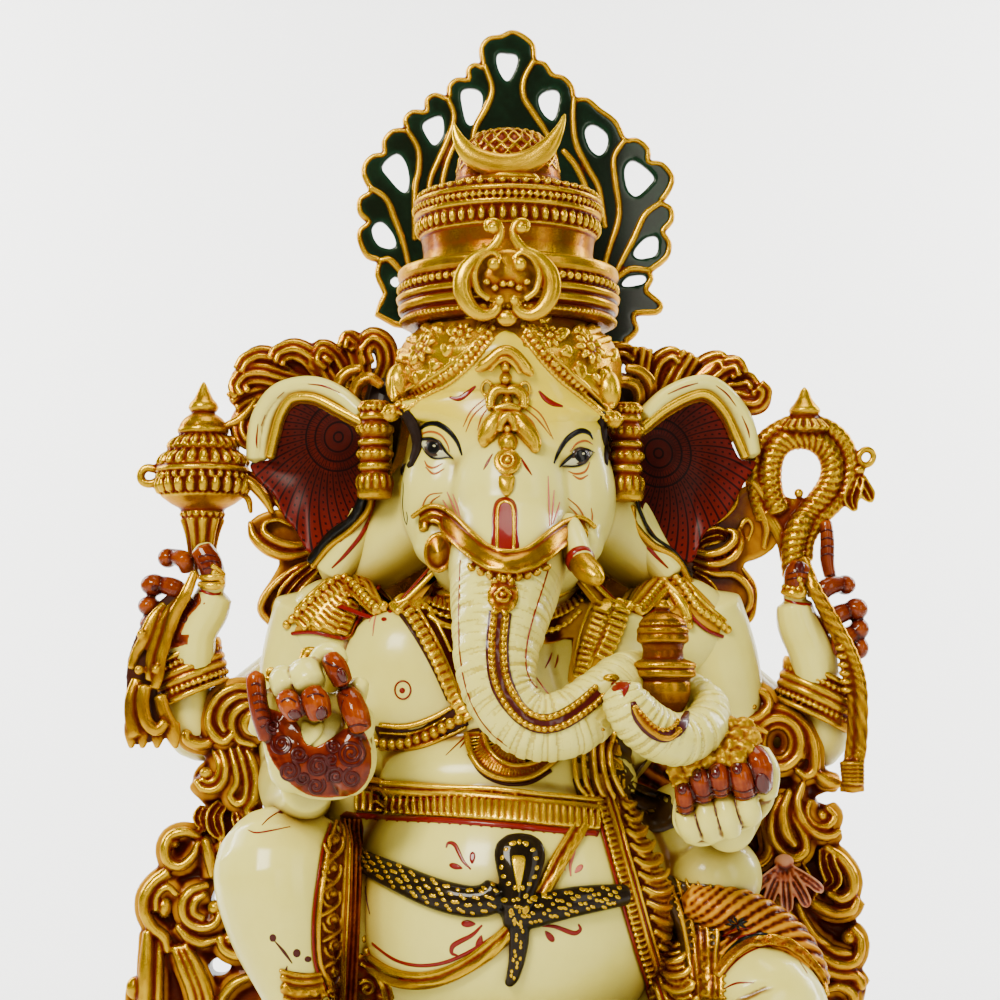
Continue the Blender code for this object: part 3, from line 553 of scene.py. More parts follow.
def marble(name, light, shade, crease, coat=0.55, brow=False):
    """Varnished ivory paint with faint mottling and an olive-brown patina in its creases, plus painted shade:
    browner where other surfaces stand near, and the crease colour where they stand close, as glaze and painted
    shade. A brow is sprayed yellow.
    """
    paint = Paint(name)
    mottle = paint.step(paint.noise(28.0, 4.0), 0.35, 0.75)
    # painted shade: the body turns brown where other surfaces stand within about 42 mm
    painted_shade = paint.step(paint.occlusion_shade(42.0), 0.10, 0.85)
    body = paint.mix(paint.math("MULTIPLY", mottle, 0.4), light, shade)
    body = paint.mix(painted_shade, body, (0.34, 0.215, 0.012))
    if brow:
        along = paint.node("ShaderNodeSeparateXYZ")
        paint.link(paint.place(), along.inputs[0])
        front = paint.step(paint.math("MULTIPLY", along.outputs[1], -1.0), 0.015, 0.045)
        high = paint.step(paint.math("ADD", along.outputs[2], paint.math("MULTIPLY", mottle, 0.006)), 0.410, 0.440)
        body = paint.mix(paint.math("MULTIPLY", front, high), body, (0.78, 0.60, 0.0005))
    # crease colour: patina in the creases, and glaze and painted shade where other surfaces stand within 7 mm
    close_glaze_shade = paint.step(paint.occlusion_shade(7.0), 0.30, 0.90)
    hollow = paint.math("MAXIMUM", paint.step(paint.math("SUBTRACT", 1.0, paint.relief()), 0.58, 0.97),
        paint.math("MULTIPLY", close_glaze_shade, 0.85))
    paint.link(paint.mix(hollow, body, crease), paint.shader.inputs["Base Color"])
    paint.set(Roughness=0.40, Specular_IOR_Level=0.15, Coat_Weight=coat, Coat_Roughness=0.18,
        Subsurface_Weight=0.12, Subsurface_Scale=0.004)
    paint.shader.inputs["Subsurface Radius"].default_value = (1.0, 0.8, 0.45)
    paint.bump(paint.noise(160.0, 3.0), 0.10, 0.25)
    return paint.material


def plain(name, colour, rough=0.35, metal=0.0, coat=0.35, vary=0.25, scale=300.0):
    """A thin brushed colour, a little uneven."""
    paint = Paint(name)
    dark = tuple(c * (1 - vary) for c in colour)
    paint.link(paint.mix(paint.noise(scale), dark, colour), paint.shader.inputs["Base Color"])
    paint.set(Roughness=rough, Metallic=metal, Specular_IOR_Level=0.12, Coat_Weight=coat, Coat_Roughness=0.08)
    return paint.material


GOLD_STOPS = [(0.04, (0.060, 0.0035, 0.0003)), (0.24, (0.125, 0.011, 0.0003)), (0.38, (0.19, 0.044, 0.0003)),
    (0.52, (0.28, 0.118, 0.0003)), (0.70, (0.43, 0.225, 0.0003)), (0.95, (0.68, 0.42, 0.001))]
ORANGE_STOPS = [(0.04, (0.058, 0.0035, 0.0003)), (0.27, (0.125, 0.010, 0.0003)), (0.42, (0.19, 0.036, 0.0003)),
    (0.58, (0.29, 0.095, 0.0003)), (0.74, (0.43, 0.190, 0.0003)), (0.96, (0.66, 0.37, 0.001))]
OLIVE_STOPS = [(0.04, (0.050, 0.004, 0.0003)), (0.28, (0.110, 0.015, 0.0003)), (0.42, (0.16, 0.044, 0.0003)),
    (0.56, (0.25, 0.100, 0.0003)), (0.74, (0.40, 0.190, 0.0003)), (0.95, (0.64, 0.36, 0.001))]
BRIGHT_STOPS = [(0.04, (0.075, 0.0045, 0.0003)), (0.22, (0.16, 0.024, 0.0003)), (0.36, (0.30, 0.105, 0.0003)),
    (0.54, (0.48, 0.255, 0.0003)), (0.88, (0.84, 0.54, 0.001))]

GOLD = aged("antique_gold", GOLD_STOPS)
ORANGE_GOLD = aged("orange_gold", ORANGE_STOPS)
OLIVE_GOLD = aged("olive_gold", OLIVE_STOPS)
BRIGHT_GOLD = aged("bright_gold", BRIGHT_STOPS, rub=0.06)
TRUNK_IVORY = marble("trunk_ivory", (0.85, 0.79, 0.175), (0.72, 0.64, 0.085), (0.56, 0.45, 0.045))
IVORY = marble("ivory", (0.85, 0.79, 0.175), (0.72, 0.64, 0.085), (0.19, 0.070, 0.002))
BROW_IVORY = marble("brow_ivory", (0.85, 0.79, 0.175), (0.72, 0.64, 0.085), (0.19, 0.070, 0.002), brow=True)
HENNA = aged("henna_skin", [(0.05, (0.028, 0.002, 0.0005)), (0.32, (0.065, 0.0035, 0.0006)),
    (0.52, (0.115, 0.008, 0.0008)), (0.74, (0.21, 0.025, 0.001)), (0.95, (0.36, 0.065, 0.002))], rub=0.16,
    scale=90.0, metal=0.0, coat=0.5)
HENNA_DARK = aged("henna_palm", [(0.05, (0.022, 0.0015, 0.0005)), (0.35, (0.060, 0.0035, 0.0006)),
    (0.60, (0.120, 0.010, 0.0008)), (0.95, (0.30, 0.055, 0.001))], rub=0.22, scale=70.0, metal=0.0, coat=0.5)
RED_LINE = plain("red_line", (0.22, 0.004, 0.002))
DARK_LINE = plain("dark_red_line", (0.06, 0.003, 0.002))
BLACK_LINE = plain("black_line", (0.003, 0.0025, 0.002), coat=0.3)
PINK_LINE = plain("pink_line", (0.62, 0.14, 0.10))
ORANGE_LINE = plain("orange_brown_line", (0.42, 0.10, 0.01))
DARK_GROUND = plain("dark_red_ground", (0.050, 0.008, 0.0008), rough=0.6, coat=0.12, vary=0.6, scale=60.0)
OLIVE_SHADE = plain("olive_shade", (0.075, 0.030, 0.0008), rough=0.5, coat=0.25, vary=0.7, scale=90.0)
SNAKE = aged("snake_black", [(0.1, (0.002, 0.0015, 0.001)), (0.5, (0.0045, 0.003, 0.002)),
    (0.9, (0.015, 0.009, 0.005))], metal=0.0, rough=0.4, coat=0.30)
STOLE_GOLD = aged("stole_gold", [(0.08, (0.045, 0.004, 0.0005)), (0.30, (0.14, 0.028, 0.0005)),
    (0.46, (0.30, 0.110, 0.0005)), (0.60, (0.46, 0.220, 0.0005)), (0.92, (0.86, 0.54, 0.003))])
RED_CLOTH = aged("dark_red_cloth", [(0.10, (0.014, 0.001, 0.0005)), (0.45, (0.060, 0.004, 0.001)),
    (0.70, (0.16, 0.020, 0.001)), (0.95, (0.34, 0.10, 0.002))], metal=0.05)
ORANGE_CLOTH = aged("orange_cloth", [(0.08, (0.035, 0.003, 0.0005)), (0.36, (0.14, 0.020, 0.0005)),
    (0.55, (0.34, 0.095, 0.0005)), (0.92, (0.66, 0.30, 0.002))], metal=0.1)
FRAME_GROUND = aged("frame_ground", [(0.08, (0.030, 0.002, 0.0005)), (0.36, (0.085, 0.009, 0.001)),
    (0.54, (0.19, 0.052, 0.001)), (0.72, (0.34, 0.135, 0.001)), (0.95, (0.56, 0.28, 0.002))], metal=0.1)
PINK_PETAL = aged("pink_petal", [(0.10, (0.05, 0.004, 0.001)), (0.42, (0.19, 0.022, 0.006)),
    (0.62, (0.42, 0.10, 0.040)), (0.92, (0.66, 0.30, 0.16))], metal=0.0, coat=0.4)
RED_LACQUER = aged("red_lacquer", [(0.10, (0.012, 0.001, 0.0005)), (0.50, (0.062, 0.0035, 0.0010)),
    (0.90, (0.15, 0.016, 0.003))], metal=0.0, rough=0.35, coat=0.25)
NAIL = plain("nail_lacquer", (0.085, 0.006, 0.005), rough=0.15, coat=1.0)
LADDU = aged("sweet_yellow", [(0.05, (0.14, 0.030, 0.0005)), (0.30, (0.28, 0.105, 0.0005)),
    (0.50, (0.42, 0.205, 0.0005)), (0.90, (0.66, 0.40, 0.001))], metal=0.55, patches=0.15)
WHITE_PAINT = plain("white_paint", (0.62, 0.60, 0.33), coat=0.3)
GREEN = aged("green_enamel", [(0.1, (0.001, 0.004, 0.003)), (0.5, (0.0012, 0.0075, 0.0045)),
    (0.9, (0.004, 0.024, 0.012))], metal=0.0, rough=0.35, coat=0.3)
HAIR = plain("hair_brown", (0.016, 0.005, 0.0015), rough=0.6, coat=0.05, vary=0.7)
FELT = plain("felt", (0.03, 0.03, 0.03), rough=0.95, coat=0.0)


# ---------------------------------------------------------------- the body


def make_torso():
    parts = [
        ball((2, -32, 204), (76, 68, 74), 40, 24),
        ball((0, -8, 150), (88, 46, 36), 32, 16),
        ball((0, -18, 300), (80, 42, 62), 40, 24),
        ball((0, -22, 362), (40, 34, 34), 32, 16),
        ball((0, -44, 262), (62, 30, 26), 32, 16),
    ]
    for side in (-1, 1):
        parts.append(ball((side * 44, -38, 314), (36, 24, 36), 32, 16))
        parts.append(ball((side * 82, -8, 336), (30, 24, 26), 32, 16))
    parts += [ball((86, -14, 236), (26, 30, 26), 32, 16), ball((-76, -8, 232), (22, 26, 30), 32, 16),
        ball((98, -30, 216), (24, 24, 22), 32, 16)]
    return piece("torso_skin", parts, IVORY, ["torso"], "ivory", voxel=1.7, smooth=14, fine=0.3, broad=1.4)


def make_legs():
    right = [
        (-52, 0, 160, 30),
        (-78, -26, 192, 32),
        (-101, -52, 219, 31),
        (-108, -66, 219, 29),
        (-104, -71, 194, 24),
        (-97, -74, 166, 15.5),
        (-94, -76, 146, 12.5),
        (-92, -80, 134, 13),
    ]
    foot = [(-92, -66, 128, 11, 9), (-91, -84, 127, 13, 8), (-90, -100, 124, 13, 5)]
    toes = [sweep([(-99 + 5.5 * i, -98, 124, 3.2), (-100 + 5.8 * i, -108 + abs(i - 1), 123, 3.4),
        (-100 + 5.8 * i, -112 + 1.3 * i, 122, 2.6)], per=3) for i in range(4)]
    first = piece("leg_right_skin", [sweep(right, sides=24, per=5), sweep(foot, sides=16, per=5)] + toes, IVORY,
        ["leg_right"], "ivory", voxel=1.5, smooth=6, fine=0.3, broad=1.4)
    left = [
        (48, 0, 152, 32),
        (84, -24, 162, 31),
        (116, -50, 160, 29),
        (124, -66, 150, 24),
        (104, -82, 142, 19),
        (66, -94, 137, 15),
        (34, -100, 134, 12),
        (16, -102, 132, 12),
    ]
    foot = [(20, -102, 131, 11, 10), (0, -104, 130, 14, 9), (-20, -102, 129, 13, 7)]
    toes = [sweep([(-22, -94 - 5 * i, 127, 3.2), (-31, -93 - 5.4 * i, 127, 3.4), (-36, -93 - 5.4 * i, 127, 2.6)],
        per=3) for i in range(4)]
    second = piece("leg_left_skin", [sweep(left, sides=24, per=5), sweep(foot, sides=16, per=5)] + toes, IVORY,
        ["leg_left"], "ivory", voxel=1.5, smooth=6, fine=0.3, broad=1.4)
    return first, second


def make_arms():
    routes = {
        "arm_front_right": [(-94, -6, 346, 22), (-101, 0, 318, 22), (-107, 8, 288, 19), (-107, 6, 264, 18),
            (-102, -28, 256, 17), (-96, -64, 258, 14), (-92, -86, 262, 12)],
        "arm_front_left": [(94, -6, 346, 22), (103, 0, 318, 22), (110, 9, 288, 19), (111, 6, 264, 18),
            (107, -26, 251, 17), (103, -58, 245, 14), (101, -78, 243, 12)],
        "arm_rear_right": [(-88, 26, 326, 20), (-112, 27, 308, 20), (-138, 20, 290, 18), (-157, 12, 286, 15),
            (-160, 6, 304, 12), (-157, 2, 322, 9.5)],
        "arm_rear_left": [(88, 26, 326, 20), (112, 27, 304, 20), (137, 20, 286, 18), (155, 12, 281, 15),
            (157, 6, 299, 12), (153, 2, 317, 9.5)],
    }
    return [
        piece(name + "_skin", [sweep(route, sides=24, per=6)], IVORY, [name], "ivory", voxel=1.5, smooth=6,
            fine=0.3, broad=1.4)
        for name, route in routes.items()
    ]


def make_head():
    parts = [
        ball((0, -22, 414), (51, 48, 56), 40, 24),
        ball((1, -48, 428), (46, 27, 34), 40, 24),
        ball((1, -56, 392), (30, 30, 44), 32, 20),
        ball((0, -40, 366), (38, 32, 22), 32, 16),
    ]
    for side in (-1, 1):
        parts.append(ball((side * 30, -44, 398), (22, 25, 34), 32, 16))
        parts.append(ball((side * 34, -54, 376), (12, 17, 13), 24, 12))
        parts.append(sweep([(side * 34, -14, 400, 26), (side * 52, -10, 384, 22), (side * 70, -4, 366, 15),
            (side * 86, 0, 352, 9)], sides=20, per=4))
    parts.append(sweep([(0, -60, 378, 29.8), (-1, -80, 361, 27.6), (-1.8, -88, 353, 25.0), (-2.2, -91, 349, 21)],
        sides=32, per=5))
    return piece("head_skin", parts, BROW_IVORY, ["head"], "ivory", voxel=1.2, smooth=64, fine=0.3, broad=1.2)


TRUNK = [
    (-1, -82, 357.5, 26.0),
    (-2.4, -90.5, 349, 24.9),
    (-4, -98, 338, 22.5),
    (-6, -106, 318, 19),
    (-2, -112, 301, 16.5),
    (10, -115, 290, 15.5),
    (26, -114, 291, 15.5),
    (41, -107, 301, 14.5),
    (53, -94, 311, 12.5),
    (66, -80, 312, 10.5),
    (82, -80, 305, 10),
    (91, -92, 297, 10),
    (86, -108, 288, 11),
    (73, -120, 284, 12),
    (60, -127, 290, 12),
    (52, -130, 299, 11),
    (49, -130, 306, 9),
]


def make_trunk():
    path = smooth_path(TRUNK, 8)
    run = np.concatenate([[0], np.cumsum(np.linalg.norm(np.diff(path[:, :3], axis=0), axis=1))])

    def wrinkles(points, normals):
        """Fine creases across the trunk, bent into a chevron along its middle."""
        near = ((points[:, None, :] - path[None, :, :3]) ** 2).sum(-1).argmin(1)
        off = points - path[near, :3]
        bent = run[near] + 0.10 * np.abs(off[:, 0])
        fade = np.clip((run[near] - 6) / 20, 0, 1)
        return -0.62 * fade * (0.5 + 0.5 * np.cos(bent * 2 * math.pi / 3.7))

    return piece("trunk_skin", [sweep(TRUNK, sides=32, per=6)], TRUNK_IVORY, ["trunk"], "ivory", voxel=0.7,
        smooth=3, carve=wrinkles, fine=0.10, broad=0.8)


# ---------------------------------------------------------------- the crown

CROWN = (0.0, -20.0)


def drum(profile, sides=96):
    return turned(profile, CROWN, sides=sides)


def make_crown():
    parts = [drum([(40, 440), (51, 446), (54.5, 449), (56, 456), (56, 466), (52, 475), (43, 484), (40, 486)])]
    dome = piece("crown_dome_skin", parts, BRIGHT_GOLD, ["crown_dome"], voxel=0.9, smooth=4)
    tree = surface_of(dome)
    flowers = []
    for u, w, r in ((-39, 76, 4.6), (-19.5, 83, 3.4), (24.5, 82, 3.4), (44.5, 76, 4.6)):
        flowers += rosette(tree, u, w, r)
    for side in (-1, 1):
        for u, w, turn in ((50, 61, 80), (45, 58, 60), (38, 65, 120), (31, 72, 100), (30, 84, 160), (37, 87, 200),
            (50, 85, 250), (52, 70, 20), (21, 91, 150), (15, 84, 130), (26, 66, 90), (53, 78, 300), (44, 90, 220),
            (35, 60, 40)):
            for bend in (0, 38):
                flowers.append(sprig(tree, 4 + side * u, w, (turn + bend) if side > 0 else 180 - turn - bend, 6.5))
    piece("crown_dome_relief", flowers, BRIGHT_GOLD, voxel=0.5, smooth=1)

    lower = [(42, 482.5), (50, 483), (52.5, 484.5), (53, 487), (51.5, 489), (54, 490), (54.6, 492.5), (53, 494.5),
        (55, 495.5), (55.4, 497.5), (53, 499), (52, 504), (53.5, 505.2), (54.5, 507), (54.6, 510), (53.6, 511.6),
        (50.5, 512.4), (44, 513)]
    parts = [drum(lower), balls(around(CROWN, 53.2, 501.7, 76), 2.1)]
    parts.append(balls(around(CROWN, 52.8, 485.6, 120), 1.2))
    piece("crown_ring_lower_skin", parts, GOLD, ["crown_ring_lower"], voxel=0.6, smooth=1)

    upper = [(38, 513.0), (42.5, 514), (42, 520), (42.8, 527), (44, 528), (43.6, 529), (44.6, 536), (46.3, 537),
        (46.6, 538.6), (45.2, 539.6), (45.4, 542.6), (47, 543.6), (47.2, 545), (45.6, 546), (43, 546.4),
        (43, 549.5), (36, 550.2)]
    parts = [drum(upper), balls(around(CROWN, 46.4, 541.2, 84), 1.55)]
    tongues = around(CROWN, 44.6, 532.4, 54)
    parts += [ball(place, (1.9, 1.9, 3.4), 8, 6) for place in tongues]
    parts += [ball(place, (2.0, 2.0, 1.6), 8, 6) for place in around(CROWN, 43.6, 548.0, 50)]
    piece("crown_ring_upper_skin", parts, GOLD, ["crown_ring_upper"], voxel=0.6, smooth=1)

    bun = [(28, 549.8), (30.5, 551.5), (29, 554), (26.5, 556), (25.8, 560), (24.0, 568), (20.5, 575), (14, 580.5),
        (6, 583)]
    parts = [drum(bun, 48), balls(around(CROWN, 29.6, 553.2, 52), 1.2)]
    for i in range(22):
        turn = i * 2 * math.pi / 22
        for lean in (-1, 1):
            rows = []
            for k in range(4):
                angle = turn + lean * 0.15 * (k % 2 * 2 - 1)
                radius = (25.6, 24.4, 21.4, 15.6)[k]
                rows.append((CROWN[0] + radius * math.cos(angle), CROWN[1] + radius * math.sin(angle),
                    (561, 567, 574, 580)[k], 0.9))
            parts.append(sweep(rows, sides=6, per=2))
    piece("crown_bun_skin", parts, GOLD, ["crown_bun"], voxel=0.6, smooth=1)
    return dome


def rosette(tree, u, w, size, petals=9):
    """A flower in relief: a boss and a ring of petals."""
    place, out = hit(tree, u, w)
    side = unit(np.cross(out, UP))
    above = np.cross(side, out)
    parts = [ball(place + out * 0.4, size * 0.62, 10, 7)]
    for i in range(petals):
        angle = i * 2 * math.pi / petals
        way = side * math.cos(angle) + above * math.sin(angle)
        rows = [(*(place + way * size * 0.6), size * 0.26), (*(place + way * size * 1.3 + out * 0.5), size * 0.42),
            (*(place + way * size * 1.9), size * 0.22)]
        parts.append(sweep(rows, sides=8, per=2))
    return parts


def sprig(tree, u, w, turn, size):
    """A small curled leaf in relief."""
    a = math.radians(turn)
    rows = []
    for i in range(5):
        share = i / 4
        bend = a + 2.2 * share
        rows.append((u + size * (share * math.cos(a) + 0.45 * share * math.cos(bend)),
            w + size * (share * math.sin(a) + 0.45 * share * math.sin(bend)),
            0.7 + 1.5 * math.sin(math.pi * (0.15 + 0.8 * share))))
    return laid(tree, rows, "round", lift=0.3, per=2, sides=8)


def make_headband(tree):
    brow = piece("forehead_skin", [blanket(tree,
        round_loop([(-55, 47), (-46, 51), (-36, 56.5), (-25, 62.5), (-13, 72), (-4, 82), (3.5, 87), (11, 82),
        (20, 73), (30, 62.5), (42, 53), (52, 45), (56, 40), (44, 38), (24, 37), (2, 37), (-24, 38), (-46, 40)], 2),
        0.45)], BROW_IVORY, slot="ivory", voxel=0.9, smooth=5, fine=0.3, broad=1.2)
    sides = [blanket(tree, round_loop(loop, 3), 1.0, 8,
        20) for loop in ([(-54, 49), (-54.5, 56), (-54, 63), (-46, 64), (-32, 67), (-28, 65), (-40, 57)],
        [(56, 45), (57.5, 52), (58, 61), (50, 62), (36, 66), (31, 65.5), (44, 54)])]
    piece("crown_dome_sides", sides, BRIGHT_GOLD, voxel=0.8, smooth=2)
    parts = []
    tree = surface_of(*(bpy.data.objects[name] for name in ("head_skin", "crown_dome_skin", "forehead_skin",
        "crown_dome_sides")))
    ends = {-1: [(-54.5, 48), (-50, 51), (-36.5, 60.5), (-25, 67), (-13.5, 76.5), (-3.0, 89)],
        1: [(58, 43.5), (53, 48.5), (42, 58), (30.5, 67.5), (20.5, 77.5), (11.0, 90)]}
    for side, line in ends.items():
        parts.append(laid(tree, [(u, w, 1.2) for u, w in line], "round", lift=1.0, per=6, sides=10, lobes=3,
            twist=1.3))
        parts.append(laid_beads(tree, [(u + side * 0.5, w - 3.6) for u, w in line], 1.75, lift=0.6))
        parts.append(laid(tree, [(u + side * 0.6, w - 6.4, 0.9) for u, w in line], "round", lift=0.6, per=6,
            sides=8))
        parts.append(laid_beads(tree, [(u + side * 0.6, w - 8.8) for u, w in line], 1.3, lift=0.4))
    for u, w in ((-54.5, 43.6), (56.8, 40.2)):
        place = spot(u, w, hit(tree, u * 0.97, w)[0][1] + 1.0)
        parts += [ball(place, (4.4, 4.0, 4.4), 20, 12), balls(around(place[:2], 4.0, place[2], 10), 1.1)]
    piece("crown_headband", parts, BRIGHT_GOLD, voxel=0.5, smooth=1)
    caps = [ball(spot(u, w, hit(tree, u * 0.94, w)[0][1] + 5.0), (6.5, 8.0, 10.0), 32,
        18) for u, w in ((-50.5, 58.0), (53.8, 54.5))]
    piece("crown_dome_corners", caps, BRIGHT_GOLD, voxel=0.7, smooth=3)
    return brow


def make_medallion():
    y = -79
    parts = []
    for side in (-1, 1):
        outer = [(6.6, 4.2, 1.6), (9.6, 4.6, 1.7), (9.2, 8.0, 1.8), (4.8, 7.5, 2.0), (3.4, 1.5, 2.2),
            (8, -5.5, 2.6), (15.5, -10, 3.4), (21.5, -18, 4.4), (22.2, -27, 4.4), (18.0, -35, 3.8),
            (11.5, -38.5, 3.0), (5.5, -36, 2.4), (4.5, -31, 2.2)]
        rows = spots([(3.5 + side * u, 131 + w, y, h, h * 0.9) for u, w, h in outer])
        parts.append(sweep(rows, "round", per=4, sides=12, out=FRONT))
        inner = [(7.2, -13.5, 2.5), (4.2, -10, 1.5), (7.6, -7.2, 1.6), (13.2, -10.5, 1.7), (16.2, -17.5, 1.8),
            (14.6, -26, 1.7), (9.0, -30.5, 1.6)]
        rows = spots([(3.5 + side * u, 131 + w, y - 1, h, h) for u, w, h in inner])
        parts.append(sweep(rows, "round", per=4, sides=10))
        parts.append(ball(spot(3.5 + side * 6.9, 131 + 5.0, y - 1), 2.8))
        parts.append(ball(spot(3.5 + side * 6.6, 131 - 13.2, y - 2), 3.2))
        parts.append(ball(spot(3.5 + side * 3.6, 131 - 31.0, y - 1), 2.4))
        for k in range(4):
            parts.append(ball(spot(3.5 + side * (7 + 5 * k), 131 - 37 + 0.7 * k * k, y + 1), (2.4, 2, 3.4), 10, 6))
    parts.append(ball(spot(3.5, 131 - 20, y + 7), (15, 5, 14), 20, 10))
    parts += [ball(spot(3.5 + u, 131 + w, y + 1), 1.7) for u, w in ((-10, -22), (-6, -25), (-2, -23), (2, -23),
        (6, -25), (10, -22))]
    parts.append(ball(spot(3.5, 131 - 40, y + 2), (5, 3, 4), 12, 8))
    return piece("crown_medallion_skin", parts, BRIGHT_GOLD, ["crown_medallion"], voxel=0.5, smooth=1)


def make_crescent():
    y = -52
    rows = [(-23.5, 188.5, y, 0.8, 0.8), (-20.5, 180, y, 3.2, 2.4), (-14.5, 172.5, y, 5.0, 3.4),
        (-5.5, 168.2, y, 6.0, 4.0), (4.5, 167.0, y, 6.2, 4.2), (15, 169.5, y, 6.0, 4.0), (23.5, 176, y, 4.8, 3.4),
        (29.5, 185, y, 2.6, 2.2), (32.5, 193, y, 0.7, 0.7)]
    parts = [sweep(spots(rows), "round", sides=16, per=5, out=FRONT)]
    parts.append(ball(spot(4.5, 161, -48), (15, 8, 3.6), 20, 10))
    parts.append(ball(spot(4.5, 158, -48), (11, 8, 3.6), 20, 10))
    piece("crescent_skin", parts, BRIGHT_GOLD, ["crescent"], voxel=0.6, smooth=3)


FAN_Y = 46.0


def make_fan():
    outline = [(-52.5, 88), (-57, 103), (-61, 112.5), (-60, 119.5), (-66, 122), (-69.5, 129), (-69.5, 134.5),
        (-65, 138.5), (-69.5, 143.5), (-69.5, 150), (-64, 154), (-67.5, 162), (-67, 167.5), (-63, 171.5),
        (-57.5, 172.5), (-57.5, 179), (-53, 184), (-46, 184.5), (-47.2, 189.5), (-43.5, 193.5), (-36.5, 193.5),
        (-36.2, 199.5), (-32, 202), (-25.5, 200), (-25, 206), (-21.5, 209.5), (-15.5, 209.5), (-15.5, 214.5),
        (-12.5, 217), (-8, 216)]
    outline += [(-9, 225), (-5.5, 230), (0.5, 231), (5.5, 233.2), (10.5, 231.8), (16, 227), (17, 219), (22, 217.5),
        (26, 212), (31.5, 210.5), (35.5, 206), (37, 200), (43.5, 199.5), (49.5, 194.5), (57.5, 188.5), (62, 179.5),
        (68, 179.5), (73.5, 175), (74, 168.5), (80.5, 167.5), (85.7, 161), (83.5, 154), (80, 148.5), (84.8, 145.5),
        (85.3, 139.5), (81, 134), (84.3, 128), (82.5, 121), (74.5, 114.5), (75.3, 110.5), (72.5, 105),
        (75.5, 101.5), (80, 97.5), (78, 94), (68, 93.5), (66.5, 90), (68, 85), (62.5, 80), (52, 78)]
    holes = [
        [(-1.0, 223), (3.5, 223), (8.5, 222), (8, 216), (4, 209), (0.5, 212.5), (-1.5, 218)],
        [(-19.5, 203.5), (-14.5, 205.5), (-9.5, 203.5), (-9, 197.5), (-11.5, 189.5), (-15, 187), (-17.5, 190.5)],
        [(-38.5, 188), (-30.5, 192), (-28.5, 189.5), (-28.5, 182.5), (-32.5, 177), (-36.5, 181.5)],
        [(-59, 166.5), (-52, 173), (-47.5, 169), (-45.5, 161), (-46.5, 154), (-50, 154.5), (-54.5, 159.5)],
        [(-64, 135.5), (-59.5, 139), (-54, 133.5), (-52, 127), (-56, 125.5), (-61.5, 128)],
        [(-55, 109), (-52.5, 111.5), (-50, 109.5), (-52, 106)],
        [(19.5, 201), (24, 204.5), (29.5, 203.5), (28.5, 194), (26, 189.5), (21, 194)],
        [(42.5, 184), (46.5, 187.5), (53.5, 182.5), (53, 175.5), (49.5, 172), (45, 175.5)],
        [(62.5, 165.5), (67, 169.5), (76.5, 162), (75, 157.5), (68, 151.5), (63.5, 156)],
        [(67, 124), (72.5, 130.5), (78, 131.5), (79, 128), (77.5, 122), (69, 120.5)],
        [(61, 108), (64.5, 111.5), (72.5, 112), (71.5, 108), (62, 106.5)],
    ]
    rim = round_loop(outline, 3)
    plate = cutout(rim, [round_loop(hole, 3) for hole in holes], FAN_Y, 4.5)
    piece("crown_fan_skin", [plate], GREEN, ["crown_fan"], "green", voxel=0.9, smooth=3)
    ribs = [
        [(-7.5, 216.5), (-4, 205.5), (-6.5, 196.5), (-12.5, 185), (-14, 172)],
        [(17, 219.5), (12, 210), (12, 201), (17.5, 192), (23.5, 182.5), (28, 170)],
        [(-26, 200.5), (-23, 192), (-25, 182.5), (-30.5, 170), (-35, 158.5), (-36.5, 140)],
        [(-46.5, 185), (-41, 175.5), (-40.5, 165.5), (-42.5, 154), (-42.5, 130)],
        [(-65, 156), (-57, 150.5), (-52.5, 140), (-48, 127.5), (-43.5, 108)],
        [(-60, 119.5), (-54.5, 119.5), (-46.5, 110)],
        [(37, 200.5), (36.5, 190.5), (38, 178), (44, 165.5), (49.5, 155), (52.5, 136)],
        [(31.5, 174.5), (38, 166.5), (43, 155), (46.5, 138)],
        [(62.5, 180), (57, 171), (57.5, 159.5), (59.5, 142.5), (54.5, 125), (49.5, 108)],
        [(80.5, 148.5), (72.5, 142.5), (67, 131), (61, 119.5), (54.5, 106)],
        [(74.5, 114.5), (64.5, 115), (55, 108)],
        [(-22.5, 178), (-27, 166.5), (-29.5, 153), (-30.5, 140)],
    ]
    parts = [sweep(spots([(u, w, FAN_Y, 1.9, 3.4) for u, w in rim + rim[:1]]), "round", sides=10, per=1, out=FRONT)]
    for rib in ribs:
        count = len(rib) - 1
        parts.append(sweep(spots([(u, w, FAN_Y - 1.0, 2.3 - 0.4 * abs(2 * i / count - 1),
            3.2) for i, (u, w) in enumerate(rib)]), "round", sides=10, per=4, out=FRONT))
        parts.append(sweep(spots([(u, w, FAN_Y + 4.5, 1.7 - 0.3 * abs(2 * i / count - 1),
            2.2) for i, (u, w) in enumerate(rib)]), "round", sides=10, per=4, out=FRONT))
    for i in range(9):
        lean = math.radians(-44 + 11 * i)
        reach = 88 - 1.1 * abs(i - 4) ** 2
        line = [(4 + r * math.sin(lean * (0.7 + 0.3 * r / reach)), 92 + r * math.cos(lean), FAN_Y + 4.6,
            1.0 + 1.2 * (1 - r / reach), 2.2) for r in (8, reach * 0.4, reach * 0.7, reach)]
        parts.append(sweep(spots(line), "round", sides=10, per=5, out=FRONT))
    piece("crown_fan_rims", parts, OLIVE_GOLD, slot="gold", voxel=0.7, smooth=2)


# ---------------------------------------------------------------- ears, tassels and plumes


def ear_depth(u):
    """The ears lie back as they stand out."""
    return -26 + 0.36 * (abs(u) - 62)


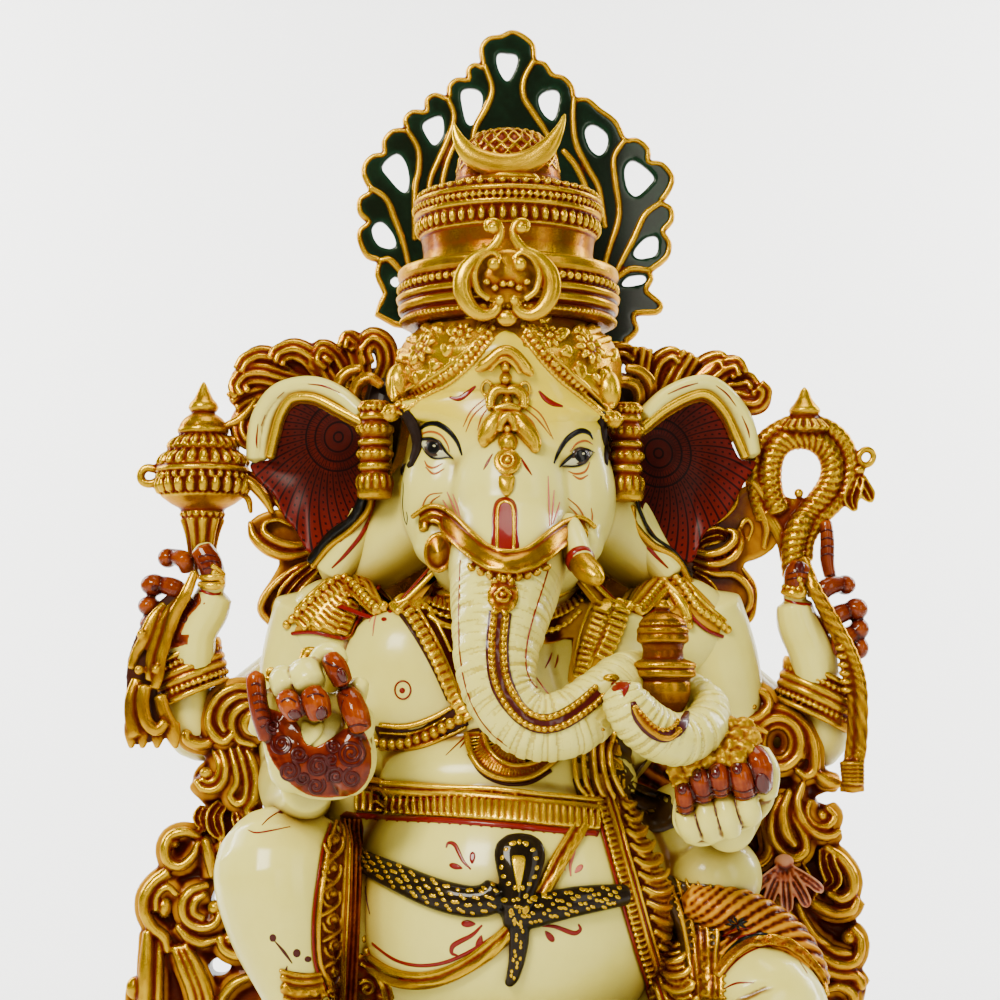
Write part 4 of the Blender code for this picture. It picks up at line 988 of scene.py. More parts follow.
def ear_paint(name, focus, side):
    """Maroon skin with dark curved veins that fan out from the ear's root, and dots between them."""
    paint = Paint(name)
    split = paint.node("ShaderNodeSeparateXYZ")
    paint.link(paint.place(), split.inputs[0])
    along = paint.math("MULTIPLY", paint.math("SUBTRACT", split.outputs[0], focus[0] * MM), side)
    rise = paint.math("SUBTRACT", split.outputs[2], focus[2] * MM)
    reach = paint.math("POWER", paint.math("ADD", paint.math("MULTIPLY", along, along),
        paint.math("MULTIPLY", rise, rise)), 0.5)
    angle = paint.math("ADD", paint.math("ARCTAN2", rise, along), paint.math("MULTIPLY", reach, 9.0))
    vein = paint.math("FRACT", paint.math("MULTIPLY", angle, 7.2))
    across = paint.math("ABSOLUTE", paint.math("SUBTRACT", vein, 0.5))
    line = paint.step(across, 0.38, 0.44)
    spacing = paint.math("ABSOLUTE", paint.math("SUBTRACT",
        paint.math("FRACT", paint.math("MULTIPLY", reach, 290.0)), 0.5))
    dot = paint.math("MULTIPLY", paint.math("LESS_THAN", across, 0.10), paint.math("LESS_THAN", spacing, 0.17))
    outside = paint.step(reach, 0.005, 0.009)
    hoops = paint.math("LESS_THAN", paint.math("ABSOLUTE",
        paint.math("SUBTRACT", paint.math("FRACT", paint.math("MULTIPLY", reach, 210.0)), 0.5)), 0.10)
    hoops = paint.math("MULTIPLY", hoops, paint.math("LESS_THAN", reach, 0.0175))
    marks = paint.math("MAXIMUM", paint.math("MULTIPLY", paint.math("MAXIMUM", line, dot), outside), hoops)
    low = paint.step(reach, 0.018, 0.062)
    blotch = paint.step(paint.noise(45.0), 0.3, 0.8)
    skin = paint.mix(low, (0.030, 0.0025, 0.001), (0.15, 0.006, 0.003))
    skin = paint.mix(paint.math("MULTIPLY", blotch, 0.5), skin, (0.09, 0.006, 0.0015))
    paint.link(paint.mix(paint.math("MULTIPLY", marks, 0.92), skin, (0.004, 0.001, 0.001)),
        paint.shader.inputs["Base Color"])
    paint.set(Roughness=0.45, Specular_IOR_Level=0.05, Coat_Weight=0.05, Coat_Roughness=0.25)
    return paint.material


def dished(outline, y_at, thick, hollow, rings=10):
    """A plate cut to an outline on the elevation, hollowed towards its middle."""
    outline = np.array(outline, float)
    middle = outline.mean(axis=0)

    def layer(offset):
        loops = []
        for i in range(1, rings + 1):
            share = i / rings
            flat = middle + (outline - middle) * share
            loops.append([spot(u, w, y_at(u) + hollow * (1 - share**2) + offset) for u, w in flat])
        return loops

    tips = [spot(*middle, y_at(middle[0]) + hollow - thick / 2),
        spot(*middle, y_at(middle[0]) + hollow + thick / 2)]
    return loft(layer(-thick / 2) + layer(thick / 2)[::-1], tips)


def edging(line, y_at, width, depth, lift=0.0, **more):
    """A rounded rim along a line on the elevation."""
    rows = [(u, w, y_at(u) - lift, width, depth) for u, w in line]
    return sweep(spots(rows), "round", per=5, out=FRONT, **more)


EARS = {
    "ear_right": {
        "side": -1,
        "skin": [(-66, 35), (-84.5, 43.5), (-96, 49.5), (-104.5, 46), (-108.5, 38.5), (-111, 28.5), (-114, 20.5),
            (-125, 18.5), (-121.5, 10.5), (-112.5, 1.5), (-108.5, -8), (-102, -15.5), (-95, -27), (-84.5, -18.5),
            (-73.5, -12), (-66, 1.5), (-64, 18.5)],
        "roll": [(-69, 43), (-79.5, 52), (-91, 57), (-102, 57), (-112, 53), (-119, 43.5), (-122, 32),
            (-122.5, 20.5)],
        "band": [(-68, 38.5), (-79.5, 44.5), (-90, 50), (-97.5, 51.5), (-104.5, 50), (-109.5, 42.5), (-112.5, 32),
            (-115, 21.5)],
        "shadow": [(-68, 34), (-80, 40), (-91, 46), (-98, 47.5), (-103.5, 45), (-107.5, 38), (-109.5, 30)],
        "edge": [(-67, 6), (-69, -1), (-74, -10.5), (-84.5, -18.5), (-94.5, -31)],
        "tail": [(-64, 3), (-66.5, -6), (-75, -15.5), (-85.5, -23.5), (-93.5, -33.5)],
        "dashes": [[(-96, 58), (-88, 57), (-80, 53.5)], [(-108, 54), (-111.5, 51)], [(-117.5, 42.5), (-119.5, 37)],
            [(-121, 38), (-121.8, 30), (-121.5, 26)]],
        "hub": (-80.5, 31),
    },
    "ear_left": {
        "side": 1,
        "skin": [(68, 33), (85, 42.5), (96.5, 49), (104.5, 48), (111.5, 38.5), (116.5, 27), (120.5, 20),
            (128.5, 19), (122, 8), (118, 0.5), (113, -8), (102, -17), (96.5, -31), (89, -28.5), (77.5, -20.5),
            (70, -9.5), (66, 1.5), (66, 18)],
        "roll": [(72, 41.5), (83, 51.5), (96.5, 57.5), (106.5, 57), (115.5, 49.5), (122.5, 38.5), (126, 23)],
        "band": [(71, 36), (83, 45.5), (96.5, 52.2), (104.5, 51.8), (112.5, 43.5), (118, 32), (122.5, 21.5)],
        "shadow": [(71, 32), (84, 41), (96, 47.5), (103.5, 47), (110.5, 38.5), (115, 28.5)],
        "edge": [(68, 2), (70, -6), (76, -17.5), (88, -27), (95.5, -38)],
        "tail": [(65.5, -3), (67.5, -13), (76, -22.5), (88, -29.5), (95.5, -43)],
        "dashes": [[(84, 53), (92, 56.5), (99, 58.5)], [(108, 57.2), (113.5, 53), (118, 47)],
            [(121, 42), (124, 35), (124.8, 31)]],
        "hub": (79, 23),
    },
}


def make_ears():
    for name, ear in EARS.items():
        side = ear["side"]
        focus = spot(*ear["hub"], ear_depth(ear["hub"][0]) + 6)
        paint = ear_paint(name + "_skin_paint", focus, side)
        piece(name + "_membrane", [dished(round_loop(ear["skin"], 3), ear_depth, 4.0, 7.0)], paint, [name],
            "maroon", voxel=1.0, smooth=3)
        roll = [edging(ear["roll"], ear_depth, 4.6, 5.4, 0.0, sides=20),
            edging([((a + c) / 2, (b + d) / 2) for (a, b), (c, d) in zip(smooth_path(ear["roll"], 3),
            smooth_path(ear["band"][: len(ear["roll"])], 3))], ear_depth, 3.4, 4.0, -1.0, sides=16)]
        rim = piece(name + "_roll", roll, IVORY, slot="ivory", voxel=0.8, smooth=2, fine=0.2, broad=1.0)
        piece(name + "_band", [edging(ear["band"], ear_depth, 2.7, 3.6, 2.4, sides=14),
            edging([((a + c) / 2, (b + d) / 2) for (a, b), (c, d) in zip(ear["band"], ear["shadow"])], ear_depth,
            2.4, 2.6, -0.5, sides=12)], BRIGHT_GOLD, slot="gold", voxel=0.6)
        dark = [edging(ear["shadow"], ear_depth, 1.5, 1.6, -1.0, sides=10)]
        dark.append(edging(ear["edge"], ear_depth, 2.6 if side < 0 else 1.0, 3.0, 1.0, sides=14, lobes=4,
            twist=1.1))
        piece(name + "_dark_edge", dark, BLACK_LINE, slot="black", voxel=0.6)
        piece(name + "_tail", [edging(ear["tail"], ear_depth, 1.7 if side < 0 else 2.4, 2.6, 2.0, sides=12)],
            OLIVE_GOLD, slot="gold", voxel=0.6)
        root = [(side * 60, 34, -12, 8), (side * 64, 12, -13, 9), (side * 68, -8, -14, 10),
            (side * 75, -24, -14, 10), (side * 85, -38, -14, 9)]
        base = piece(name + "_root", [sweep(spots(root), sides=20, per=5)], IVORY, slot="ivory", voxel=0.9,
            smooth=3, fine=0.3, broad=1.2)
        hair = [(side * 56, 58, -8, 8), (side * 59, 40, -9, 9), (side * 60, 22, -10, 7), (side * 60, 12, -11, 3)]
        piece(name + "_hair", [sweep(spots(hair), sides=16, per=5, lobes=7)], HAIR, slot="black", voxel=0.8)
        over = surface_of(base)
        curves = ([(62, 6), (64, -6), (69, -17), (77, -27), (84, -34)], [(67, 4), (69, -5), (74, -14), (80, -21)])
        piece(name + "_root_lines", [stroke(over, [(side * u, w) for u, w in line], 1.1) for line in curves],
            RED_LINE, slot="maroon", voxel=0)
        tree = surface_of(rim)
        piece(name + "_dashes", [stroke(tree, dash, 0.45) for dash in ear["dashes"]], RED_LINE, slot="maroon",
            voxel=0)


def stroke(tree, line, width, taper=True, lift=0.12):
    """A painted line, fine as a brush stroke, that lies on the surface."""
    count = len(line) - 1
    rows = []
    for i, place in enumerate(line):
        wide = width * (math.sin(math.pi * (0.12 + 0.76 * i / count)) if taper else 1.0)
        rows.append((place[0], place[1], wide, 0.22))
    return laid(tree, rows, "round", lift=lift, per=6, sides=6, )


def make_tassels():
    for name, u, top, y in (("ear_tassel_right", -62.5, 49.0, -38.0), ("ear_tassel_left", 62.8, 48.0, -38.0)):
        x, _, z = spot(u, top, y)
        parts = [turned([(2, 1), (7.2, 0), (7.6, -2), (7.0, -5), (7.8, -6.5), (8.0, -8), (6.6, -9.5), (8.0, -12),
            (8.4, -15), (6.8, -18), (8.2, -19), (8.4, -20.5), (6.8, -22), (8.0, -24), (8.2, -27), (6.8, -29.5),
            (8.0, -30.5), (8.2, -32.5), (6.6, -34), (7.6, -36), (8.6, -41), (8.6, -45), (7.8, -47),
            (4, -47.5)][::-1], (0, 0), sides=40)]
        parts += [balls(around((0, 0), 7.0, -3.0, 16), 1.9), balls(around((0, 0), 7.4, -13.5, 13), 2.3),
            balls(around((0, 0), 7.2, -25.5, 13), 2.2)]
        parts += [ball(place, (2.0, 2.0, 4.2), 8, 6) for place in around((0, 0), 7.5, -39.5, 13)]
        piece(name + "_skin", [moved(part, (x, y, z)) for part in parts], GOLD, [name], voxel=0.6, smooth=1)


def frond(line, y, width, kind="leaf", depth=0.75, root=0.7, tip=0.35):
    """One carved leaf along a line on the elevation, with a vein and turned-up edges."""
    count = len(line) - 1
    rows = []
    for i, place in enumerate(line):
        share = i / count
        swell = root + (1 - root) * math.sin(math.pi * min(1, share * 1.25) * 0.8)
        if share > 0.7:
            swell *= 1 - (1 - tip) * (share - 0.7) / 0.3
        back = place[2] if len(place) > 2 else 0.0
        rows.append((place[0], place[1], y + back, width * swell, width * swell * depth))
    return sweep(spots(rows), kind, per=5, out=FRONT)


def make_plumes():
    left = [
        [(-60, 58), (-56.5, 68, -3), (-58, 77, -4), (-64, 80.5, -5), (-69, 75, -6), (-67.5, 68, -5)],
        [(-69, 60), (-70, 70, -2), (-72.5, 77, -3), (-76, 80, -5), (-77, 76, -6)],
        [(-76, 56), (-79, 64, -2), (-83, 71, -3), (-89, 74.5, -5), (-91, 70, -7), (-87, 66, -6)],
        [(-84, 54), (-88, 62, -2), (-95, 71, -3), (-103, 75, -4), (-110, 73, -6), (-112, 69, -7)],
        [(-92, 56), (-101, 61, -2), (-110, 68, -3), (-119, 71.5, -4), (-126, 69, -6), (-129, 64, -7)],
        [(-98, 57), (-108, 60, -2), (-119, 63, -3), (-127, 62, -4), (-131, 57, -6), (-129, 53, -7)],
        [(-106, 54), (-116, 56, -2), (-125, 54, -3), (-131, 51, -4), (-134, 49, -5)],
        [(-119, 48), (-126, 44), (-129, 37, -2), (-127, 31, -3), (-123, 29, -3)],
    ]
    curls = [[(-72, 43), (-79, 50), (-80.5, 58, -4), (-76, 64, -5), (-69.5, 66, -6)],
        [(-70, 45), (-72.5, 52, -6), (-71, 58, -8), (-65, 61, -9), (-59, 57, -9)]]
    right = [
        [(58, 56), (55, 64, -3), (56, 71, -4), (62, 73.5, -5), (67, 70, -6)],
        [(66, 52), (69, 62, -2), (70.5, 70, -3), (71.5, 76, -5)],
        [(76, 50), (77, 60, -2), (80, 68, -3), (86, 72, -5), (90, 69, -6)],
        [(84, 52), (88, 60, -2), (92, 67, -3), (95.5, 73, -5)],
        [(92, 55), (98, 62, -2), (104, 67.5, -3), (110, 69.5, -5), (112, 66, -6)],
        [(98, 56), (106, 61, -2), (112, 65.5, -3), (118, 67, -5), (120, 62.5, -6)],
        [(106, 54), (112, 57, -2), (118, 58.5, -3), (124, 59, -4), (126, 56, -5)],
        [(110, 50), (118, 50, -2), (124, 48.5, -3), (129, 49.5, -4), (131, 54, -5), (128.5, 56, -5)],
    ]
    curls_right = [[(68, 40), (74, 50), (75, 58, -4), (70, 64, -5), (63, 66, -6)],
        [(66, 42), (69.5, 51, -6), (67.5, 57, -8), (61, 59, -9), (56, 55, -9)]]
    for name, leaves, arcs in (("hair_plume_right", left, curls), ("hair_plume_left", right, curls_right)):
        parts = []
        for i, leaf in enumerate(leaves):
            parts.append(frond(leaf, 8 - i % 2 * 3, 6.6, "blade", root=0.7, tip=0.5))
            for off, wide in ((-3.6, 1.7), (0.4, 1.5), (3.8, 1.6)):
                line = beside(leaf, off)
                parts.append(flat_bar([(u, w,
                    4.6 - abs(off) * 0.5 - (place[2] if len(place) > 2 else 0)) for (u, w), place in zip(line,
                    leaf)], 8 - i % 2 * 3, wide, per=5))
        parts += [frond(arc, -14, 3.4, "blade", root=0.9, tip=0.7) for arc in arcs]
        edge = [leaves[0][0], leaves[2][0], leaves[4][0], leaves[6][0]]
        parts.append(sweep(spots([(u, w, 10, 9, 4) for u, w, *_ in edge]), "round", per=3, out=FRONT))
        piece(name + "_skin", parts, ORANGE_GOLD, [name], "orange", voxel=0.7, smooth=2)


# ---------------------------------------------------------------- marks that lie on a surface


def patch(tree, outline, lift=0.3, dome=0.0, rings=4, per=3):
    """A painted or raised patch with this outline, laid on the surface."""
    loop = np.array(outline if len(outline) > 18 else round_loop(outline, per))
    middle = loop.mean(axis=0)
    tops, bottoms = [], []
    for i in range(1, rings + 1):
        share = i / rings
        found = [hit(tree, *place) for place in middle + (loop - middle) * share]
        tops.append([place + out * (lift + dome * (1 - share**2)) for place, out in found])
        bottoms.append([place - out * 0.6 for place, out in found])
    place, out = hit(tree, *middle)
    return loft(bottoms + tops[::-1], [place - out * 0.6, place + out * (lift + dome)])


def blanket(tree, outline, lift=0.8, rings=14, settle=40, per=3):
    """A patch that bridges steps in the surface under it."""
    loop = np.array(outline if len(outline) > 18 else round_loop(outline, per))
    middle = loop.mean(axis=0)
    flat = np.array([middle + (loop - middle) * i / rings for i in range(rings + 1)])
    near = np.array([[hit(tree, *place)[0][1] for place in ring] for ring in flat]) - lift
    near[-1] += lift + 0.7
    near[-2] += 0.6 * lift
    depth = near.copy()
    for _ in range(settle):
        inner = depth[1].mean() * np.ones_like(depth[:1])
        around_it = 0.25 * (np.roll(depth[:-1], 1, 1) + np.roll(depth[:-1], -1,
            1)) + 0.25 * (np.concatenate([inner, depth[:-2]]) + depth[1:])
        depth[:-1] = np.minimum(around_it, near[:-1])
        depth[0] = depth[0].mean()
    top = np.array([[spot(u, w, y) for (u, w), y in zip(ring, row)] for ring, row in zip(flat, depth)])
    under = top[1:] + AHEAD * 3.0
    peak = top[0].mean(axis=0)
    return loft(list(under) + list(top[:0:-1]), [peak + AHEAD * 3.0, peak])


def oval(u, w, across, tall, turn=0.0, count=22):
    angle = np.arange(count) * 2 * math.pi / count
    a, b, t = np.cos(angle) * across, np.sin(angle) * tall, math.radians(turn)
    return [(u + x * math.cos(t) - y * math.sin(t), w + x * math.sin(t) + y * math.cos(t)) for x, y in zip(a, b)]


def ring_on(tree, u, w, across, tall, width, lift=0.4, turn=0.0):
    loop = oval(u, w, across, tall, turn, 18)
    return laid(tree, [(a, b, width) for a, b in loop + loop[:1]], "round", lift=lift, per=2, sides=8)


def bump_on(tree, u, w, across, tall=None, high=None, lift=0.0, turn=0.0):
    """A rounded boss on the surface, facing out of it."""
    tall = across if tall is None else tall
    high = min(across, tall) if high is None else high
    return patch(tree, oval(u, w, across, tall, turn, 20), lift=lift, dome=high, rings=5)


def beside(line, off):
    """The line moved sideways on the elevation, to the right of the way it runs where off is positive."""
    line = np.array([row[:2] for row in line], float)
    along = unit(np.gradient(line, axis=0))
    return [(u + off * b, w - off * a) for (u, w), (a, b) in zip(line, along)]


def swirl(u, w, radius, turns, start, way=1, count=16):
    """A spiral that starts at its middle."""
    out = []
    for i in range(count + 1):
        share = i / count
        angle = math.radians(start) + way * turns * 2 * math.pi * share
        out.append((u + radius * (0.12 + 0.88 * share) * math.cos(angle),
            w + radius * (0.12 + 0.88 * share) * math.sin(angle)))
    return out


# ---------------------------------------------------------------- the face


def make_face(tree):
    whites, blacks, browns, reds, pinks, oranges = [], [], [], [], [], []
    eyes = (
        {
            "white": [(-40.8, 29.4), (-36.8, 30.2), (-33.2, 30.0), (-29.6, 27.7), (-26.5, 23.4), (-23.6, 21.0),
                (-27, 21.2), (-31.4, 20.8), (-35.9, 22.6), (-38.6, 26.3)],
            "lid": [(-42.0, 30.0), (-40, 30.2), (-36.8, 30.6), (-33.2, 30.4), (-29.6, 28.0), (-26.5, 23.6),
                (-23.2, 20.6)],
            "under": [(-38.8, 27.0), (-37, 23.6), (-33.8, 21.0), (-30, 20.6), (-26, 21.4), (-23.4, 20.6)],
            "iris": (-32.9, 26.1),
            "brow": [(-43.5, 27.7), (-40.8, 34.8), (-34.1, 38.6), (-27, 35.7), (-21.6, 29.5), (-19, 22.3)],
            "creases": [[(-40.8, 30.6), (-39, 33.0), (-34.6, 34.2), (-29.6, 32.5), (-26.3, 27.9), (-25.3, 24.1)],
                [(-37.7, 19.6), (-36.3, 17), (-33.2, 16.1), (-28.7, 18.3)],
                [(-37.2, 16.5), (-33.2, 13), (-27.9, 15.6)]],
        },
        {
            "white": [(30.6, 17.1), (34.6, 20.7), (39.1, 23.7), (42.7, 24.8), (46.3, 23.4), (44.3, 21),
                (40.9, 17.8), (36.4, 17.0), (33, 17.0)],
            "lid": [(29.4, 16.2), (31.2, 18.2), (34.6, 21.3), (39.1, 24.3), (42.7, 25.4), (46.8, 23.6)],
            "under": [(30.0, 16.6), (33, 16.8), (36.4, 16.6), (40.9, 17.6), (44.2, 20.6), (46.3, 23.2)],
            "iris": (40.2, 22.0),
            "brow": [(27, 18.3), (29.3, 24.1), (33.8, 30.8), (40, 34.6), (44.5, 33.5), (46.4, 30.4)],
            "creases": [[(35.1, 24.2), (38.2, 28.2), (42.7, 29.7), (46.3, 27.9)],
                [(34.2, 14.3), (38.2, 13), (42.7, 14.3), (44.9, 18.8)], [(36.4, 12.5), (40, 10.5), (44, 12.5)]],
        },
    )
    glints = []
    for eye in eyes:
        u, w = eye["iris"]
        whites.append(patch(tree, eye["white"], lift=0.25, dome=0.9))
        browns.append(patch(tree, oval(u, w, 4.5, 4.6), lift=0.7, dome=0.5))
        blacks.append(patch(tree, oval(u, w, 3.2, 3.3), lift=1.15, dome=0.3))
        glints.append(patch(tree, oval(u + 0.8, w + 0.9, 0.62, 0.62), lift=1.55, dome=0.2))
        blacks.append(stroke(tree, eye["lid"], 0.85, lift=0.7))
        blacks.append(stroke(tree, eye["under"], 0.42, lift=0.6))
        blacks.append(stroke(tree, eye["brow"], 1.35))
        oranges += [stroke(tree, line, 0.55) for line in eye["creases"]]
    blacks.append(stroke(tree, [(-48.6, 18), (-48.2, 6), (-48.6, -2), (-47.8, -9), (-46.6, -12.5)], 0.4))
    blacks.append(stroke(tree, [(-46.6, -12.5), (-46.2, -9), (-46.6, -6)], 0.35))

    for line, width in (([(-25.2, 51.4), (-20.7, 50.6), (-16.5, 53.2), (-12.2, 57.0)], 1.35),
        ([(19.5, 54.5), (22.5, 50.8), (26.5, 48.2), (31.4, 46.8)], 1.35),
        ([(-3.8, 23.0), (-6.3, 18.6), (-8.2, 15.2)], 0.7), ([(10.5, 21.2), (13, 16.8), (15.9, 12.5)], 0.7)):
        reds.append(stroke(tree, line, width))
    for line in ([(-7.3, 50.9), (-14.5, 44.5), (-18.4, 36.6)], [(-6.4, 48.6), (-13.4, 42.3), (-17.1, 34)],
        [(-5.5, 46.6), (-9.3, 41.4), (-11.3, 34.8)], [(11.4, 49.2), (20.4, 42.8), (26.6, 30.4)],
        [(11.4, 46.4), (18.6, 40.6), (25.4, 32)], [(12.3, 43.2), (16.5, 38.6), (18.6, 33)]):
        oranges.append(stroke(tree, line, 0.42))
    for line in ([(-26.5, 4), (-23, -4), (-20, -11)], [(-23.6, 3), (-21.2, -4), (-19.2, -11.4)],
        [(-28.6, 0), (-25, -6), (-21, -11)], [(24, 12), (24.4, 0), (24.8, -13)],
        [(27, 5), (26.5, -3), (25.6, -12.6)], [(29.8, -1), (28.5, -6), (26.4, -12)]):
        pinks.append(stroke(tree, line, 0.5))
    for line in ([(-28.8, 3.6), (-35.9, 2.2), (-39.2, -5.4), (-37.7, -10.7)],
        [(-30.0, 2.2), (-34.6, -1.2), (-34.6, -7.4)], [(33.8, 0.9), (39.1, -3.6), (42.4, -9.8), (41.8, -15.2)],
        [(34.4, -3.2), (38.4, -7.2), (40.2, -12.6)], [(45.6, -4), (46.2, -9), (44.8, -14)]):
        oranges.append(stroke(tree, line, 0.42))

    reds.append(patch(tree, [(2.5, 1.4), (7.2, -0.8), (8.8, -7), (8.8, -15), (8.6, -26), (-3.4, -26), (-3.8, -15),
        (-3.8, -7), (-2.0, -0.6)], lift=0.35, rings=5))
    piece("face_whites", whites, WHITE_PAINT, slot="ivory", voxel=0)
    piece("face_irises", browns, plain("iris_brown", (0.045, 0.022, 0.010), coat=0.5), slot="black", voxel=0)
    piece("face_glints", glints, WHITE_PAINT, slot="ivory", voxel=0)
    piece("face_black_marks", blacks, BLACK_LINE, slot="black", voxel=0)
    piece("face_red_marks", reds, RED_LINE, slot="maroon", voxel=0)
    piece("face_pink_marks", pinks, PINK_LINE, slot="maroon", voxel=0)
    piece("face_fine_lines", oranges, ORANGE_LINE, slot="orange", voxel=0)
    inner = [(-1.4, -26), (-1.4, -14), (-1.2, -5), (0.2, -2.0), (2.6, -0.9), (5.0, -2.0), (6.6, -5), (6.8, -14),
        (6.8, -26)]
    piece("tilak_line", [laid(tree, [(u, w, 0.75, 0.4) for u, w in inner], "round", lift=0.45, per=4, sides=8)],
        BRIGHT_GOLD, voxel=0)
    hair = [laid(tree, [(-50.0, 46, 2.2, 1.4), (-49.0, 38, 4.2, 1.6), (-49.2, 28, 4.0, 1.6), (-49.5, 20, 2.6, 1.4),
        (-48.6, 13, 0.9, 0.8)], "round", per=5, sides=12)]
    hair.append(laid(tree, [(51.0, 44, 2.6, 1.4), (51.5, 36, 3.4, 1.6), (52.6, 27, 3.2, 1.5), (53.0, 18, 1.4, 1.0)],
        "round", per=5, sides=12))
    piece("temple_hair", hair, HAIR, slot="black", voxel=0)


def make_face_ornaments(tree):
    parts = [
        laid(tree, [(-11.4, 65.0, 1.32), (-8.5, 66.6, 2.77), (-4.5, 69.5, 2.9), (-1, 73, 2.77), (2.8, 74.4, 2.77),
            (6.8, 73, 2.77), (10.4, 69, 2.9), (13.4, 65, 2.77), (15.6, 62.6, 1.32)], "round", lift=2.2, per=4,
            sides=12),
        laid(tree, [(-4.4, 64.6, 1.06), (-2.0, 68.0, 1.45), (2.8, 70.6, 1.58), (7.4, 67.4, 1.45),
            (9.6, 63.4, 1.06)], "round", lift=2.6, per=4, sides=10),
        bump_on(tree, 2.8, 66.6, 2.6, 3.0, 3.2, 1.0),
        bump_on(tree, 2.8, 61.0, 3.2, 3.0, 3.4, 1.0),
        ring_on(tree, -6.4, 55.8, 2.6, 3.8, 0.8, 0.8),
        ring_on(tree, 12.4, 55.4, 2.4, 3.6, 0.8, 0.8),
        laid(tree, [(-4.6, 45.4, 2.11), (-4.2, 50.6, 2.77), (-1.6, 55.2, 2.77), (1.4, 56.0, 2.51),
            (3.6, 54.6, 2.11), (5.8, 56.0, 2.51), (8.8, 55.2, 2.77), (11.4, 50.6, 2.77), (11.6, 45.4, 2.11)],
            "round", lift=2.2, per=4, sides=12),
        bump_on(tree, 3.6, 49.0, 2.9, 4.2, 2.8, 1.0),
        laid(tree, [(-2.4, 44.6, 1.85), (3.6, 46.0, 2.24), (9.6, 44.6, 1.85)], "round", lift=2.4, per=4, sides=10),
        laid(tree, [(3.0, 43.0, 2.11), (-1.4, 41.0, 3.7), (-4.2, 36, 4.75), (-7.0, 30, 3.83), (-7.4, 26.6, 1.72)],
            "round", lift=1.6, per=5, sides=12),
        laid(tree, [(4.4, 43.0, 2.11), (9.0, 40.4, 3.7), (12.4, 34.6, 4.75), (16.4, 27.6, 3.83),
            (17.2, 23.6, 1.72)], "round", lift=1.6, per=5, sides=12),
        laid(tree, [(0.2, 33, 1.58), (0.8, 38.6, 2.24), (3.8, 41.4, 2.51), (6.8, 38.6, 2.24), (7.6, 33, 1.58)],
            "round", lift=3.2, per=4, sides=10),
        bump_on(tree, 3.9, 28.6, 4.8, 4.8, 3.0, 1.2),
        bump_on(tree, 3.8, 34.6, 2.2, 3.0, 2.6, 1.6),
        patch(tree, oval(3.7, 18.7, 6.6, 6.2), lift=1.9, dome=0.4),
        ring_on(tree, 3.7, 19.0, 3.0, 3.0, 0.55, 2.4),
        bump_on(tree, 3.7, 19.0, 1.9, 1.9, 1.1, 2.0),
        patch(tree, [(-0.4, 11.6), (3.4, 12.2), (7.2, 11.6), (6.9, 6.5), (5.4, 3.6), (3.2, 1.4), (1.0, 3.6),
            (-0.4, 6.5)], lift=1.5, dome=1.3),
    ]
    piece("forehead_pendant_skin", parts, BRIGHT_GOLD, ["forehead_pendant"], voxel=0.45, smooth=1)

    line = [(-37.6, -15.5), (-37.0, -10.6), (-33.6, -8.0), (-29.2, -9.0), (-24.3, -12.8), (-18, -19.8),
        (-10.5, -27.0), (-3.5, -31.8), (4.3, -33.4), (12.0, -31.8), (19.5, -27.2), (27.5, -20.2), (33.6, -15.6),
        (38.2, -14.0), (41.0, -17.0), (41.0, -20.6)]
    wide = [2.4, 3.4, 4.0, 4.0, 4.2, 4.6, 5.0, 5.4, 5.6, 5.4, 5.0, 4.6, 4.2, 3.6, 3.0, 2.0]
    parts = [laid(tree, [(u, w, h, h * 0.62) for (u, w), h in zip(line, wide)], "round", lift=1.2, per=6, sides=20)]
    for off, thick in ((-5.2, 1.3), (-1.2, 0.8), (3.6, 1.2)):
        parts.append(laid(tree, [(u, w, thick) for (u, w) in beside(line, off)[1:-1]], "round", lift=3.0, per=6,
            sides=10))
    for i in range(-4, 5):
        parts.append(bump_on(tree, 4.3 + 4.6 * i, -39.4 + 0.17 * i * i * (1.6 + 0.10 * abs(i)), 2.0, 1.7, 2.2, 0.8))
    piece("snout_band_skin", parts, GOLD, ["snout_band"], voxel=0.5, smooth=1)

    place, _ = hit(tree, -31, -22)
    y = place[1]
    cap = spots([(-30.6, -25.4, y + 8, 5.4, 9.4), (-31.0, -26.0, y - 2, 5.6, 9.8), (-31.2, -26.4, y - 10, 5.6, 9.8),
        (-31.4, -26.6, y - 13, 4.8, 8.6)])
    parts = [sweep(cap, "round", sides=28, per=4, out=UP), ]
    parts.append(sweep(spots([(a, b, y - 12.6, 1.0) for a, b in oval(-31.3, -26.6, 4.0, 7.6, 0, 20) + oval(-31.3,
        -26.6, 4.0, 7.6, 0, 20)[:1]]), "round", sides=8, per=1))
    rim = [(a, b, y - 12.4, 1.3) for a, b in oval(-30.8, -26.4, 6.2, 8.8, 0, 24) + oval(-30.8, -26.4, 6.2, 8.8, 0,
        24)[:1]]
    parts = [sweep(spots([(-29.8, -25.0, y + 8, 6.4, 8.8), (-30.6, -26.0, y - 4, 7.0, 9.4),
        (-30.8, -26.4, y - 12, 6.8, 9.2)]), "round", sides=32, per=4, out=UP),
        sweep(spots(rim), "round", sides=8, per=1)]
    piece("tusk_right_cap_skin", parts, OLIVE_GOLD, ["tusk_right_cap"], voxel=0.6, smooth=3)

